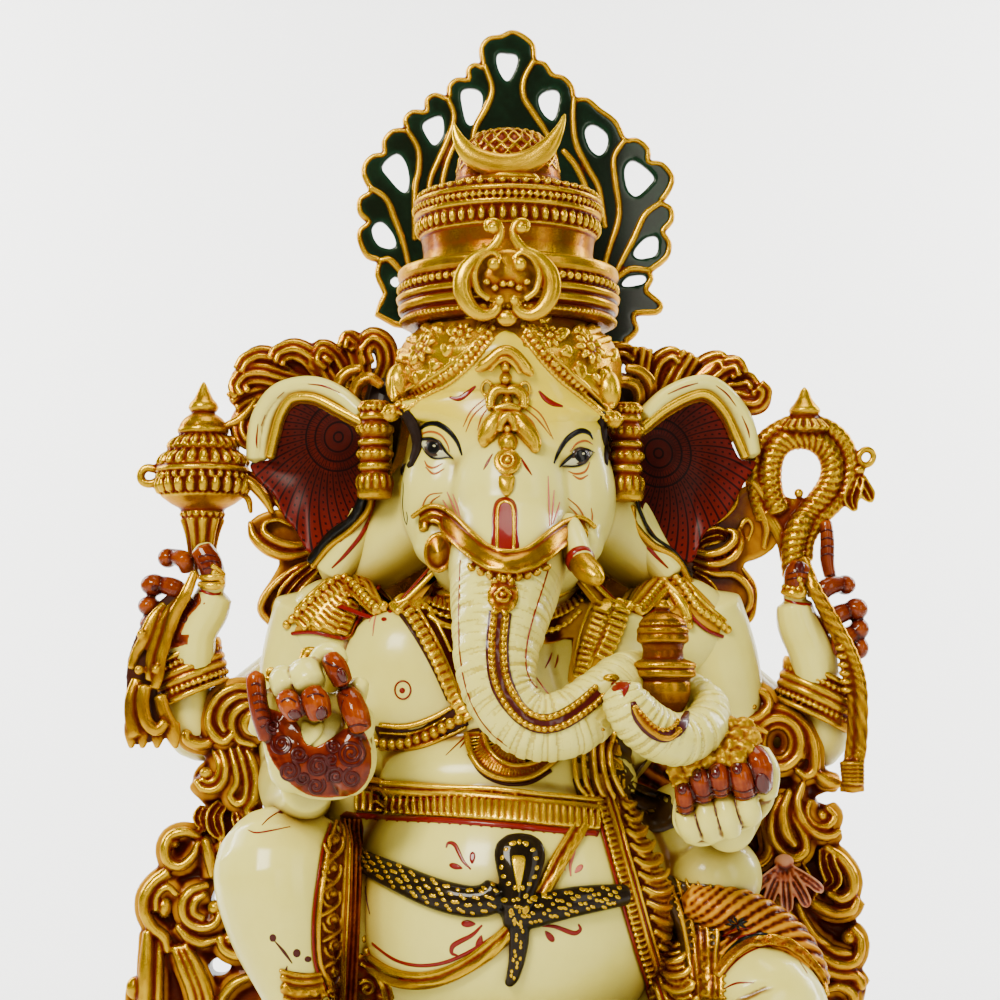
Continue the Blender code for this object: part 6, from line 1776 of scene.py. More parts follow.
def make_rear_left_hand():
    y = -4
    parts = [
        capsule([(156, -98, -4), (157, -86, 0), (154, -74, 2), (149, -62, 3), (147, -52, 4)], y, 10.5),
        capsule([(163, -88, 0), (160, -76, 2), (154, -60, 3)], y, 8.0),
        capsule([(147.5, -54, 4), (147.5, -46, 7), (148.2, -38, 8), (149.5, -33, 7)], y, 6.0),
    ]
    skin = piece("hand_rear_left_skin", parts, IVORY, ["hand_rear_left"], "ivory", voxel=0.9, smooth=5, fine=0.2,
        broad=1.0)
    parts = [
        capsule([(147.6, -43.0, 9), (148.2, -38, 10), (150.2, -32.5, 9)], y, 6.2),
        capsule([(163, -11, -4), (163.6, -20, -3), (163.6, -30, -2), (165, -38, 0)], y, 3.6),
        ball(spot(172.4, -42.5, y), (5.6, 6, 5.0), 16, 10),
        ball(spot(178, -54.5, y - 2), (6.0, 6.5, 5.6), 18, 11),
        ball(spot(179.6, -64.5, y - 1), (5.0, 6, 5.4), 16, 10),
        ball(spot(179.8, -74, y - 1), (4.6, 6, 5.6), 16, 10),
        capsule([(170, -42, 2), (163, -44, 6), (158, -50, 4)], y, 4.8),
        capsule([(176, -55, 0), (168, -58, 5), (162, -64, 3)], y, 5.0),
        capsule([(178, -66, 0), (171, -70, 5), (167, -76, 3)], y, 5.0),
    ]
    henna = piece("hand_rear_left_henna", parts, HENNA_DARK, slot="orange", voxel=0.6, smooth=2, fine=0.2,
        broad=1.0)
    tree = surface_of(henna, skin)
    lines = [stroke(tree, [(a, w), ((a + b) / 2, w + 1.2), (b, w + 0.2)], 0.5,
        taper=False) for a, b, w in ((144.0, 154.5, -37), (143.4, 154, -40), (160.4, 166.6, -16),
        (160.4, 166.8, -20), (160.6, 167, -24), (160.6, 167, -28))]
    lines.append(patch(tree, oval(149.8, -33.4, 2.4, 3.0), lift=0.3, dome=0.3))
    lines.append(stroke(tree, [(157, -56), (162, -64), (165.5, -72)], 1.0))
    piece("hand_rear_left_lines", lines, DARK_LINE, slot="maroon", voxel=0)
    band = [laid(tree, [(142.0, -45.8, 1.5), (148, -47.0, 2.4), (155.4, -47.8, 1.5)], "round", lift=0.8, per=5,
        sides=10)]
    band.append(laid_beads(tree, [(142.4, -43.4), (148, -44.0), (154.8, -45.4)], 1.5))
    piece("hand_rear_left_ring", band, BRIGHT_GOLD, voxel=0.45)
    piece("hand_rear_left_edge", [stroke(tree, [(142, -49.6), (148, -51.6), (156, -52.4)], 0.9, taper=False)],
        RED_LINE, slot="maroon", voxel=0)


def make_noose_tail():
    y = -16
    parts = [
        sweep(spots([(152, -30, y + 8, 2.6), (156, -42, y, 3.0), (162, -53, y, 3.2), (168.5, -64, y, 3.2),
            (174.5, -75, y, 3.2), (178.5, -85, y, 3.0), (180.4, -96, y, 3.0), (180.6, -110, y + 2, 3.0),
            (180, -124, y + 3, 3.0), (178.6, -131, y + 3, 3.0)]), sides=14, per=6, lobes=4, twist=0.5),
        sweep(spots([(159, -52, y + 2, 1.8), (165, -62, y + 1, 2.2), (170, -72, y + 1, 2.4),
            (173.4, -82, y + 1, 2.6), (175.4, -92, y + 1, 2.6), (176.6, -104, y + 3, 2.4), (176, -118, y + 4, 2.4),
            (174.5, -130, y + 4, 2.4)]), sides=14, per=6, lobes=4, twist=0.5),
    ]
    parts += [ball(spot(170.5 + 0.55 * k, -74 - 4.2 * k, y - 1), (3.0, 2.6, 1.7), 12, 8) for k in range(6)]
    for k in range(6):
        parts.append(ball(spot(176 + 0.1 * k, -131.5 - 2.0 * k, y + 3), (6.4 - 0.12 * k, 5.2, 1.4), 20, 9))
    for i in range(9):
        parts.append(flat_bar([(171 + 1.25 * i, -141, 2 * math.sin(i * 0.4)), (170.6 + 1.35 * i, -146, 0)], y + 4,
            [1.1, 0.8]))
    parts.append(ball(spot(176, -143, y + 4), (5.6, 4, 3.6), 16, 9))
    piece("noose_tail_skin", parts, OLIVE_GOLD, ["noose_tail"], voxel=0.65, smooth=1)


# ---------------------------------------------------------------- chest, belly and cloth


def bars_across(tree, rows, step, thick, lift=0.4, bow=0.0, kind="round"):
    """Short bars across a line of (u, w, half width) on the surface: a chain's blocks or a fringe's tongues."""
    line = smooth_path([(row[0], row[1], 0.0, row[2]) for row in rows], 10)
    line = even_steps(line, step)
    along = unit(np.gradient(line[:, :2], axis=0))
    parts = []
    for (u, w, _, half), (a, b) in zip(line, along):
        ends = [(u - b * half * k - a * bow * (1 - abs(k)), w + a * half * k - b * bow * (1 - abs(k)),
            thick) for k in (-1, 0, 1)]
        parts.append(laid(tree, ends, kind, lift=lift, per=2, sides=8))
    return parts


def rope_on(tree, rows, lift=0.6, twist=0.9, lobes=2):
    placed, _ = drape(tree, rows, lift, 5)
    return sweep(placed, per=1, sides=14, lobes=lobes, twist=twist)


def make_collars(tree):
    """The jewelled collar on each shoulder, on a dark red lining."""
    lining = [
        patch(tree, [(-66, -29), (-86, -39), (-102, -54), (-110, -66), (-98, -66), (-88, -66), (-80, -69),
            (-74, -69), (-70, -58), (-61, -43), (-50, -30)], lift=0.6, rings=6),
        patch(tree, [(66, -27), (84, -33), (99, -45), (113, -61), (112, -68), (103, -65), (96, -60), (93, -65),
            (86, -58), (79, -58), (74, -50), (67, -44), (60, -32)], lift=0.6, rings=6),
    ]
    piece("collar_lining", lining, FRAME_GROUND, slot="maroon", voxel=0)
    right = [
        laid(tree, [(-64, -28.6, 1.4), (-55, -27.6, 1.6), (-44, -27.4, 1.4)], "round", lift=1.0, per=6, sides=10),
        laid(tree, [(-64, -31.0, 1.2), (-72, -33.6, 1.3), (-80, -37.4, 1.3), (-88, -42.4, 1.3), (-97, -50.6, 1.4),
            (-104, -58.4, 1.3), (-108, -64, 1.0)], "round", lift=0.9, per=6, sides=10),
        laid_beads(tree, [(-67, -34.2), (-77, -38.8), (-86, -44.6), (-95, -52.6), (-104.6, -62.4)], 2.4, 4.4,
            lift=1.0),
    ]
    for k, (bend, end) in enumerate((((-82, -46.6), (-98.4, -62.4)), ((-79, -48.4), (-91.4, -62.8)),
        ((-75.6, -49.6), (-84.4, -64.4)), ((-72, -50.4), (-78.0, -66.4)))):
        right += bars_across(tree, [(-65.4, -36.4 - k, 0.8), (*bend, 2.4), (*end, 3.0)], 2.9, 1.5, lift=1.4,
            bow=0.4)
        right.append(laid(tree, [(-64.6, -37.4 - k, 0.6), (bend[0] + 1.8, bend[1] - 1.6, 0.8),
            (end[0] + 3.4, end[1] - 0.8, 0.8)], "round", lift=1.2, per=6, sides=8))
    piece("collar_right_skin", right, BRIGHT_GOLD, ["collar_right"], voxel=0.55, smooth=1)
    left = [
        laid(tree, [(66, -29.6, 1.3), (76, -32.0, 1.7), (86, -36.4, 1.9), (94, -43.6, 1.8), (102, -52.6, 1.6),
            (112, -60.6, 1.3)], "round", lift=0.9, per=6, sides=10),
        laid_beads(tree, [(74, -34.8), (83, -37.6), (89.6, -42.6), (94.2, -49), (99, -55.6), (105.6, -59.8),
            (112, -64.6)], 2.3, 3.7, lift=1.0),
        laid(tree, [(70.5, -36.6, 1.4), (79, -40.6, 2.7), (86.6, -47, 2.9), (91.6, -54, 2.9), (94, -60, 2.3)],
            "round", lift=1.2, per=6, sides=10),
        laid(tree, [(69.6, -39.6, 1.2), (76.6, -43.4, 2.3), (82, -48.6, 2.3), (86, -55, 1.8)], "round", lift=1.2,
            per=6, sides=10),
        laid(tree, [(68.6, -42.6, 1.2), (74, -46.8, 2.2), (78, -52.8, 1.9)], "round", lift=1.2, per=6, sides=10),
        laid_beads(tree, [(91.8, -60.8), (94.2, -62.6)], 2.3, 2.6, lift=0.6),
        laid(tree, [(50, -27.4, 1.2), (60, -27.2, 1.3), (70, -28.8, 1.2)], "round", lift=1.0, per=6, sides=10),
    ]
    piece("collar_left_skin", left, BRIGHT_GOLD, ["collar_left"], voxel=0.55, smooth=1)
    edges = [stroke(tree, line, wide, taper=False, lift=1.3) for line, wide in (
                ([(92, -52), (97, -60), (104, -65.6), (112, -68.6)], 0.9),
        ([(-60.6, -43.6), (-66, -52), (-70.6, -60), (-74, -69), (-84, -68), (-94, -66), (-106, -67)], 0.9),
    )]
    piece("collar_edges", edges, RED_LINE, slot="maroon", voxel=0)


def make_breast_bands(tree):
    """The necklace layers, the chain across the right breast and the two columns over the left."""
    lining = [
        patch(tree, [(-52, -28), (-24, -36), (-22, -62), (-17, -96), (-14, -108), (-25, -92), (-37, -66),
            (-50, -46), (-59, -36)], lift=0.5, rings=6),
        patch(tree, [(20, -60), (36, -48), (48, -30), (68, -32), (66, -44), (60, -62), (50, -82), (40, -92),
            (34, -90), (36, -70), (22, -72)], lift=0.5, rings=6),
    ]
    piece("breast_lining", lining, FRAME_GROUND, slot="maroon", voxel=0)
    chain = [(-60.5, -34.5, 1.6), (-57.5, -41, 1.9), (-53.5, -46.4, 2.0), (-48.6, -52.4, 2.1), (-43.6, -59.4, 2.2),
        (-39, -66.6, 2.3), (-35.6, -73, 2.4), (-32, -79.6, 2.5), (-28.6, -87, 2.6), (-25, -95, 2.7),
        (-20.6, -102.6, 2.7), (-16.6, -109, 2.6)]
    right = bars_across(tree, chain, 3.9, 2.1, lift=1.2, bow=0.5)
    right.append(laid(tree, [(-55.5, -36, 0.9), (-49, -44.6, 1.0), (-42, -54, 1.0), (-36, -63.4, 1.0),
        (-31, -72.6, 1.0), (-26.8, -82, 1.0), (-22.4, -93, 1.0)], "round", lift=1.2, per=6, sides=8))
    right.append(laid(tree, [(-52.6, -33, 0.9), (-46, -40.6, 1.0), (-40, -49, 1.0), (-34, -58, 1.0),
        (-28.6, -68, 1.0), (-25, -76, 0.9)], "round", lift=1.2, per=6, sides=8))
    for k, (start, end) in enumerate((((-50, -31), (-24, -38)), ((-47, -35), (-24, -42.4)),
        ((-44, -39.4), (-23, -46.8)))):
        right.append(laid(tree, [(*start, 1.2), ((start[0] + end[0]) / 2 - 1, (start[1] + end[1]) / 2 - 2.6, 1.8),
            (*end, 1.6)], "round", lift=1.0, per=6, sides=10))
    right += bars_across(tree, [(-43, -44.4, 1.4), (-34, -50.8, 2.4), (-23, -54.2, 2.6)], 2.4, 1.0, lift=1.1)
    right.append(laid_beads(tree, [(-39.6, -52), (-33, -56.8), (-23.6, -60.2)], 1.5, 3.0, lift=0.8))
    right.append(laid(tree, [(-36, -58, 1.2), (-30, -62.4, 1.6), (-23.4, -64.4, 1.4)], "round", lift=1.0, per=6,
        sides=10))
    piece("breast_band_right_skin", right, BRIGHT_GOLD, ["breast_band_right"], voxel=0.55, smooth=1)
    left = bars_across(tree, [(55.6, -32.6, 3.2), (55.2, -41, 3.5), (52.8, -50, 3.6), (50, -58, 3.6),
        (47, -66, 3.4), (44, -74, 3.2), (42, -82, 3.0), (40.4, -88, 2.6)], 3.1, 1.5, lift=1.4, bow=-0.3)
    left += bars_across(tree, [(64, -38.6, 3.4), (63.4, -46, 3.6), (61.2, -54, 3.8), (58.6, -62, 3.8),
        (55.6, -70, 3.6), (51.4, -78.6, 3.2)], 3.6, 1.75, lift=1.4, bow=-0.4)
    left.append(laid(tree, [(49.8, -32.6, 0.8), (49.6, -40, 0.9), (47, -50, 0.9), (43.4, -58.6, 0.9),
        (40.2, -67, 0.9), (38.2, -76.6, 0.9), (37, -88, 0.8)], "round", lift=1.2, per=6, sides=8))
    left.append(laid(tree, [(59.8, -34, 0.7), (59.4, -42, 0.7), (57, -51, 0.7), (54, -60, 0.7), (51, -68, 0.7),
        (47.6, -76, 0.7), (45, -84, 0.6)], "round", lift=1.4, per=6, sides=8))
    left += bars_across(tree, [(19.4, -59.6, 2.2), (29.6, -56.6, 2.6), (38.4, -51, 2.6), (45, -43, 2.0)], 3.0, 1.2,
        lift=1.1)
    left.append(laid_beads(tree, [(19, -66.6), (28, -65.4), (34.4, -62.2), (40, -56.8)], 1.7, 3.4, lift=0.9))
    for k in range(4):
        left.append(laid(tree, [(26.6 - 1.6 * k, -33.6 - 5 * k, 1.2), (36 - 2.6 * k, -33 - 4.8 * k, 1.6),
            (45.6 - 2.4 * k, -29 - 4.6 * k, 1.2)], "round", lift=1.0, per=6, sides=10))
    piece("breast_band_left_skin", left, BRIGHT_GOLD, ["breast_band_left"], voxel=0.55, smooth=1)
    under = [
        laid(tree, [(-60, -112, 1.2), (-50, -113, 1.4), (-42, -111.8, 1.4), (-33, -108.4, 1.3), (-24, -103.8, 1.1)],
            "round", lift=0.8, per=6, sides=10),
        laid_beads(tree, [(-60, -119.6), (-50, -120.8), (-42, -120.2), (-34, -117.0), (-27, -113), (-20, -109.4)],
            2.9, 4.4, lift=0.9),
        laid(tree, [(-60, -115.6, 0.7), (-48, -116.4, 0.8), (-38, -114.4, 0.8), (-27, -109.0, 0.7)], "round",
            lift=0.8, per=6, sides=8),
        laid(tree, [(-60, -124.0, 1.0), (-48, -125.2, 1.1), (-38, -123.6, 1.1), (-28, -119.4, 1.0),
            (-17, -113.4, 0.9)], "round", lift=0.8, per=6, sides=8),
    ]
    piece("under_band_right_skin", under, GOLD, ["under_band_right"], voxel=0.55, smooth=1)
    grounds = [
        laid(tree, [(-60, -118, 7.0, 1.0), (-48, -119, 7.2, 1.0), (-38, -117.4, 7.0, 1.0), (-27, -112.2, 6.0, 1.0),
            (-18, -107.6, 5.0, 1.0)], "round", lift=0.2, per=6, sides=12),
        stroke(tree, [(-62, -40), (-57, -48), (-50, -57), (-43.6, -66), (-37, -77), (-31.4, -88), (-26, -100)], 0.9,
            taper=False, lift=0.5),
    ]
    piece("under_band_ground", grounds, DARK_GROUND, slot="maroon", voxel=0)
    pendant = []
    for lift, wide, deep, line in ((1.4, 1.5, 1.5,
        [(-16.6, -117), (-15, -126), (-9, -135), (2, -140), (14, -139.2), (24, -133.4), (31, -127)]),
        (1.6, 1.2, 1.4, [(-8.6, -117.6), (-6, -125), (0, -131), (8, -133.4), (17, -132), (24, -128)])):
        pendant.append(laid(tree, [(u, w, wide, deep) for u, w in line], "round", lift=lift, per=6, sides=10))
    pendant += bars_across(tree, [(-12.8, -117, 2.6), (-11, -126, 3.0), (-5, -132.6, 3.2), (3.6, -136.4, 3.2),
        (13, -135.8, 3.2), (22, -131.4, 2.8), (29, -126, 2.0)], 1.5, 0.65, lift=1.5)
    pendant += bars_across(tree, [(-4.4, -118, 2.0), (-2, -124.6, 2.6), (4, -128.6, 2.6), (12, -129, 2.4)], 1.5,
        0.65, lift=1.5)
    piece("chest_pendant_skin", pendant, GOLD, ["chest_pendant"], voxel=0.5, smooth=1)
    edge = [
        patch(tree, [(-17, -116), (-15.6, -126), (-9.6, -135.8), (2, -141), (14.4, -140.2), (25, -134), (33, -126),
            (20, -122), (-2, -114)], lift=0.5, rings=5),
        stroke(tree, [(-15.6, -127), (-9, -136.8), (2.4, -142), (15, -141.4), (25.6, -135.2)], 0.9, taper=False,
            lift=0.4),
    ]
    piece("chest_pendant_ground", edge, DARK_GROUND, slot="maroon", voxel=0)


def make_skin_marks(tree):
    """The small painted flowers and lines on the ivory."""
    red, pink = [], []

    def flower(u, w, turn, size, where=None):
        """One long stalk with a hooked tip and two drop petals."""
        t = math.radians(turn)

        def at(a, b):
            return (u + size * (a * math.cos(t) - b * math.sin(t)), w + size * (a * math.sin(t) + b * math.cos(t)))

        where = red if where is None else where
        where.append(stroke(tree, [at(0, 0), at(-0.25, 0.35), at(-0.38, 0.75), at(-0.5, 1.05), at(-0.72, 1.12),
            at(-0.82, 0.95)], 0.075 * size))
        for a, b, lean, long in ((0.12, 0.42, -12, 0.24), (-0.55, 0.18, 66, 0.27)):
            where.append(patch(tree, [at(a + x * math.cos(math.radians(lean)) - y * math.sin(math.radians(lean)),
                b + x * math.sin(math.radians(lean)) + y * math.cos(math.radians(lean))) for x, y in ((0, -long),
                (0.11, -0.02), (0.09, long * 0.7), (0, long), (-0.09, long * 0.7), (-0.11, -0.02))], lift=0.15,
                rings=2))

    flower(-14.6, -184.6, 8, 13.0)
    flower(-9, -212.6, 100, 15.5)
    flower(21, -213, -128, 14.5)
    flower(35.4, -188, -32, 12.0, pink)
    for a, b in (((-60.6, -54), (-64.6, -57)), ((-61, -54.6), (-65.4, -61)), ((-61.4, -55.4), (-63.6, -68)),
        ((-57, -53), (-58, -54.6))):
        pink.append(stroke(tree, [a, ((a[0] + b[0]) / 2 - 0.4, (a[1] + b[1]) / 2 + 0.4), b], 0.45))
    red += [bump_on(tree, -58, -59.6, 1.5, 1.1, 0.2), bump_on(tree, -55, -55.4, 1.3, 1.2, 0.2)]
    for a, b in (((64, -53.4), (70.4, -56.6)), ((66, -56), (72, -59)), ((26, -76.4), (22.6, -84)),
        ((29, -77.4), (27.4, -84)), ((-27, -127.6), (-14.6, -115.6)), ((-20, -124), (-17.4, -120))):
        red.append(stroke(tree, [a, ((a[0] + b[0]) / 2 + 0.5, (a[1] + b[1]) / 2 + 0.5), b], 0.5))
    red.append(ring_on(tree, -48.6, -95, 4.0, 4.6, 0.42, lift=0.1))
    red.append(bump_on(tree, -48.9, -95.3, 1.5, 1.5, 0.7))
    for line, wide in (([(-52.6, 2), (-51.6, -5), (-54, -12), (-60, -18), (-68, -23), (-77, -27.4), (-86, -32),
        (-91, -37)], 1.3), ([(54.6, -3), (57.6, -12), (62.6, -20), (70, -26.4), (79, -30.6), (88, -35.4),
        (94.6, -40.6)], 1.3)):
        red.append(stroke(tree, line, wide, taper=False))
    for line in ([(-126, -165), (-122, -166.4), (-115, -165.4), (-105, -163.4)],
        [(-119, -162.6), (-115, -158.6), (-109, -155)], [(111, -245), (118, -241.6), (127, -241.4)],
        [(149.6, -230.6), (153.6, -236.6)]):
        red.append(stroke(tree, line, 0.5))
    dark = [bump_on(tree, u, w, across, tall, 0.15) for u, w, across, tall in ((-105, -154, 1.6, 0.9),
        (-109.4, -156, 1.7, 0.9), (-101.6, -226.6, 2.0, 2.2), (-96, -229.6, 1.8, 1.6), (-113.6, -219, 1.8, 2.0))]
    dark += [stroke(tree, [(-112.6, -220.6), (-108, -226), (-104, -231.6)], 0.7),
        stroke(tree, [(-67.4, -193), (-66.6, -200), (-65, -207)], 0.7),
        stroke(tree, [(-94, -237), (-106, -236), (-106.4, -233)], 0.6)]
    piece("skin_red_marks", red, RED_LINE, slot="maroon", voxel=0)
    piece("skin_pink_marks", pink, PINK_LINE, slot="maroon", voxel=0)
    piece("skin_dark_marks", dark, DARK_LINE, slot="maroon", voxel=0)


def make_waistband(tree):
    top = [(-72, -140.6), (-60, -141.4), (-45, -142.2), (-25, -143.8), (0, -146), (20, -148.2), (40, -150.2),
        (50, -151.4)]
    low = [(-72, -151.4), (-60, -152.4), (-45, -153.2), (-25, -154.2), (0, -156.2), (20, -158.2), (38, -159.8),
        (48, -160.4)]
    parts = [
        laid(tree, [(u, w, 1.5, 1.9) for u, w in top], "round", lift=1.3, per=6, sides=10),
        laid(tree, [(u, w - 3.6, 1.9, 1.9) for u, w in top], "round", lift=1.1, per=6, sides=10),
        laid(tree, [(u, w, 5.2, 1.5) for u, w in low], "round", lift=0.6, per=6, sides=16),
    ]
    line = even_steps(smooth_path([(u, w, 0.0) for u, w in low], 10), 3.3)
    for u, w, _ in line:
        wide = 1.25 + 0.75 * math.exp(-(((u - 12) / 26) ** 2))
        parts.append(laid(tree, [(u, w + 4.6, wide * 0.8, 1.0), (u, w, wide, 1.3),
            (u + 0.2, w - 4.4, wide * 0.9, 0.9)], "round", lift=1.7, per=3, sides=10))
    piece("waistband_skin", parts, BRIGHT_GOLD, ["waistband"], voxel=0.55, smooth=1)
    red = [laid(tree, [(u, w - 6.2, 1.5, 1.0) for u, w in low], "round", lift=0.2, per=8, sides=8)]
    red.append(laid(tree, [(u, w - 7.4, 0.8, 0.9) for u, w in top], "round", lift=1.3, per=8, sides=8))
    red += [stroke(tree, [(u - 1.2, w - 5), (u, w - 7.6), (u + 1.2, w - 5)], 0.7, taper=False,
        lift=0.1) for u, w, _ in even_steps(smooth_path([(u, w, 0.0) for u, w in low], 10), 5.2)]
    piece("waistband_edge", red, RED_LINE, slot="maroon", voxel=0)


def make_snake_belt(tree):
    left = [(-72, -178.4, 4.6), (-62, -183.4, 5.6), (-50, -189, 6.4), (-38, -194.4, 6.9), (-26, -198.6, 7.2),
        (-14, -200.8, 7.2), (-6, -199.6, 7.4), (-1, -195, 7.0)]
    right = [(62, -197.4, 4.8), (50, -198.8, 6.0), (38, -200.6, 6.8), (26, -203.2, 7.2), (14, -206, 7.6),
        (3, -205, 7.6)]
    body = [laid(tree, [(u, w, half, half * 0.75) for u, w, half in line], "round", lift=1.6, per=8,
        sides=20) for line in (left, right)]
    tail = [(6, -203, 7.0), (9, -211, 5.2), (9.4, -220, 4.6), (8.2, -230, 3.8), (6.2, -238, 3.0), (4, -241.6, 2.0)]
    body.append(laid(tree, [(u, w, half, half * 0.8) for u, w, half in tail], "round", lift=1.6, per=8, sides=18))
    rise = [(8, -204, 7.0, 5.5), (9, -196, 8.0, 5.5), (9.4, -187, 10.0, 5.2), (9.6, -179, 11.6, 4.8),
        (9.8, -173, 10.4, 4.4), (9.8, -169.6, 6.6, 3.4)]
    body.append(laid(tree, rise, "round", lift=3.6, per=6, sides=28))
    skin = piece("snake_belt_skin", body, SNAKE, ["snake_belt"], "black", voxel=0.8, smooth=3, fine=0.2, broad=0.9)
    hide = surface_of(skin)
    dots = []
    for line, rows in ((left, 4), (right, 4), (tail, 2)):
        path = even_steps(smooth_path([(u, w, 0.0, half) for u, w, half in line], 8), 3.7)
        for i, (u, w, _, half) in enumerate(path[1:-1]):
            for k in range(rows):
                off = (k - (rows - 1) / 2) * half * (0.50 if rows == 4 else 0.8) + 0.6 * math.sin(i * 2.3 + k)
                slip = 1.4 * ((i * 7 + k * 3) % 5 - 2) * 0.5
                if line is tail:
                    dots.append(bump_on(hide, u + off * 0.8, w + slip, 0.75, 1.1, 0.22))
                else:
                    dots.append(bump_on(hide, u + slip, w + off, 1.3 + 0.25 * math.sin(i + k), 0.85, 0.22,
                        turn=-25))
    for i in range(15):
        angle = 0.3 + i * 2 * math.pi / 15
        u, w = 9.6 + 9.0 * math.cos(angle), -182.5 + 11.6 * math.sin(angle)
        dots.append(bump_on(hide, u, w, 1.3, 1.0, 0.22, turn=30 * (i % 4)))
    dots += [bump_on(hide, u, w, a, b, 0.22, turn=t) for u, w, a, b, t in ((6.4, -171.6, 2.0, 1.2, 15),
        (12.6, -171.4, 1.5, 0.9, -10), (2, -200, 1.6, 1.2, 0), (13, -198, 1.5, 1.1, 40), (17, -199, 1.9, 1.3, 20),
        (13, -205, 2.4, 1.6, 60), (22, -197, 1.5, 2.0, 0), (5.6, -206, 1.2, 1.8, 10))]
    dots.append(patch(hide, [(6, -178.4), (9.4, -177.8), (12.4, -178.6), (12.2, -184), (10.8, -191), (9.4, -196.4),
        (8.2, -192), (6.8, -185)], lift=0.35, rings=3))
    piece("snake_dots", dots, BRIGHT_GOLD, voxel=0)


def make_thread(tree):
    """The double cord over the belly, in front view from the left hip to under the right breast."""
    parts = [
        rope_on(tree, [(38, -161, 1.6), (35, -166.4, 1.6), (30, -174, 1.6), (25, -183, 1.6), (20, -193, 1.6),
            (10, -206, 1.6), (2, -215, 1.6), (-7, -222.6, 1.6), (-17, -230, 1.6), (-30, -236, 1.7),
            (-43, -237.6, 1.7), (-55, -234.6, 1.7), (-66, -227, 1.6), (-74, -219, 1.4)], lift=0.8, twist=0.0,
            lobes=0),
        rope_on(tree, [(42, -163, 2.0), (39, -168, 2.1), (34, -176, 2.1), (28.4, -186, 2.1), (22, -197, 2.1),
            (12, -210, 2.1), (4, -218.6, 2.1), (-5, -226.6, 2.2), (-16, -234, 2.2), (-29, -239.8, 2.3),
            (-43, -241.8, 2.2), (-54, -240, 2.0), (-64, -234, 1.8), (-72, -226, 1.6)], lift=1.0, twist=0.55,
            lobes=4),
    ]
    piece("thread_skin", parts, GOLD, voxel=0.6, smooth=1)
    piece("thread_shade", [stroke(tree, [(u + 2.0, w + 2.2) for u, w in ((-5, -220.6), (-17, -228), (-30, -233.6),
        (-43, -235), (-55, -232), (-66, -224))], 0.9, taper=False)], RED_LINE, slot="maroon", voxel=0)


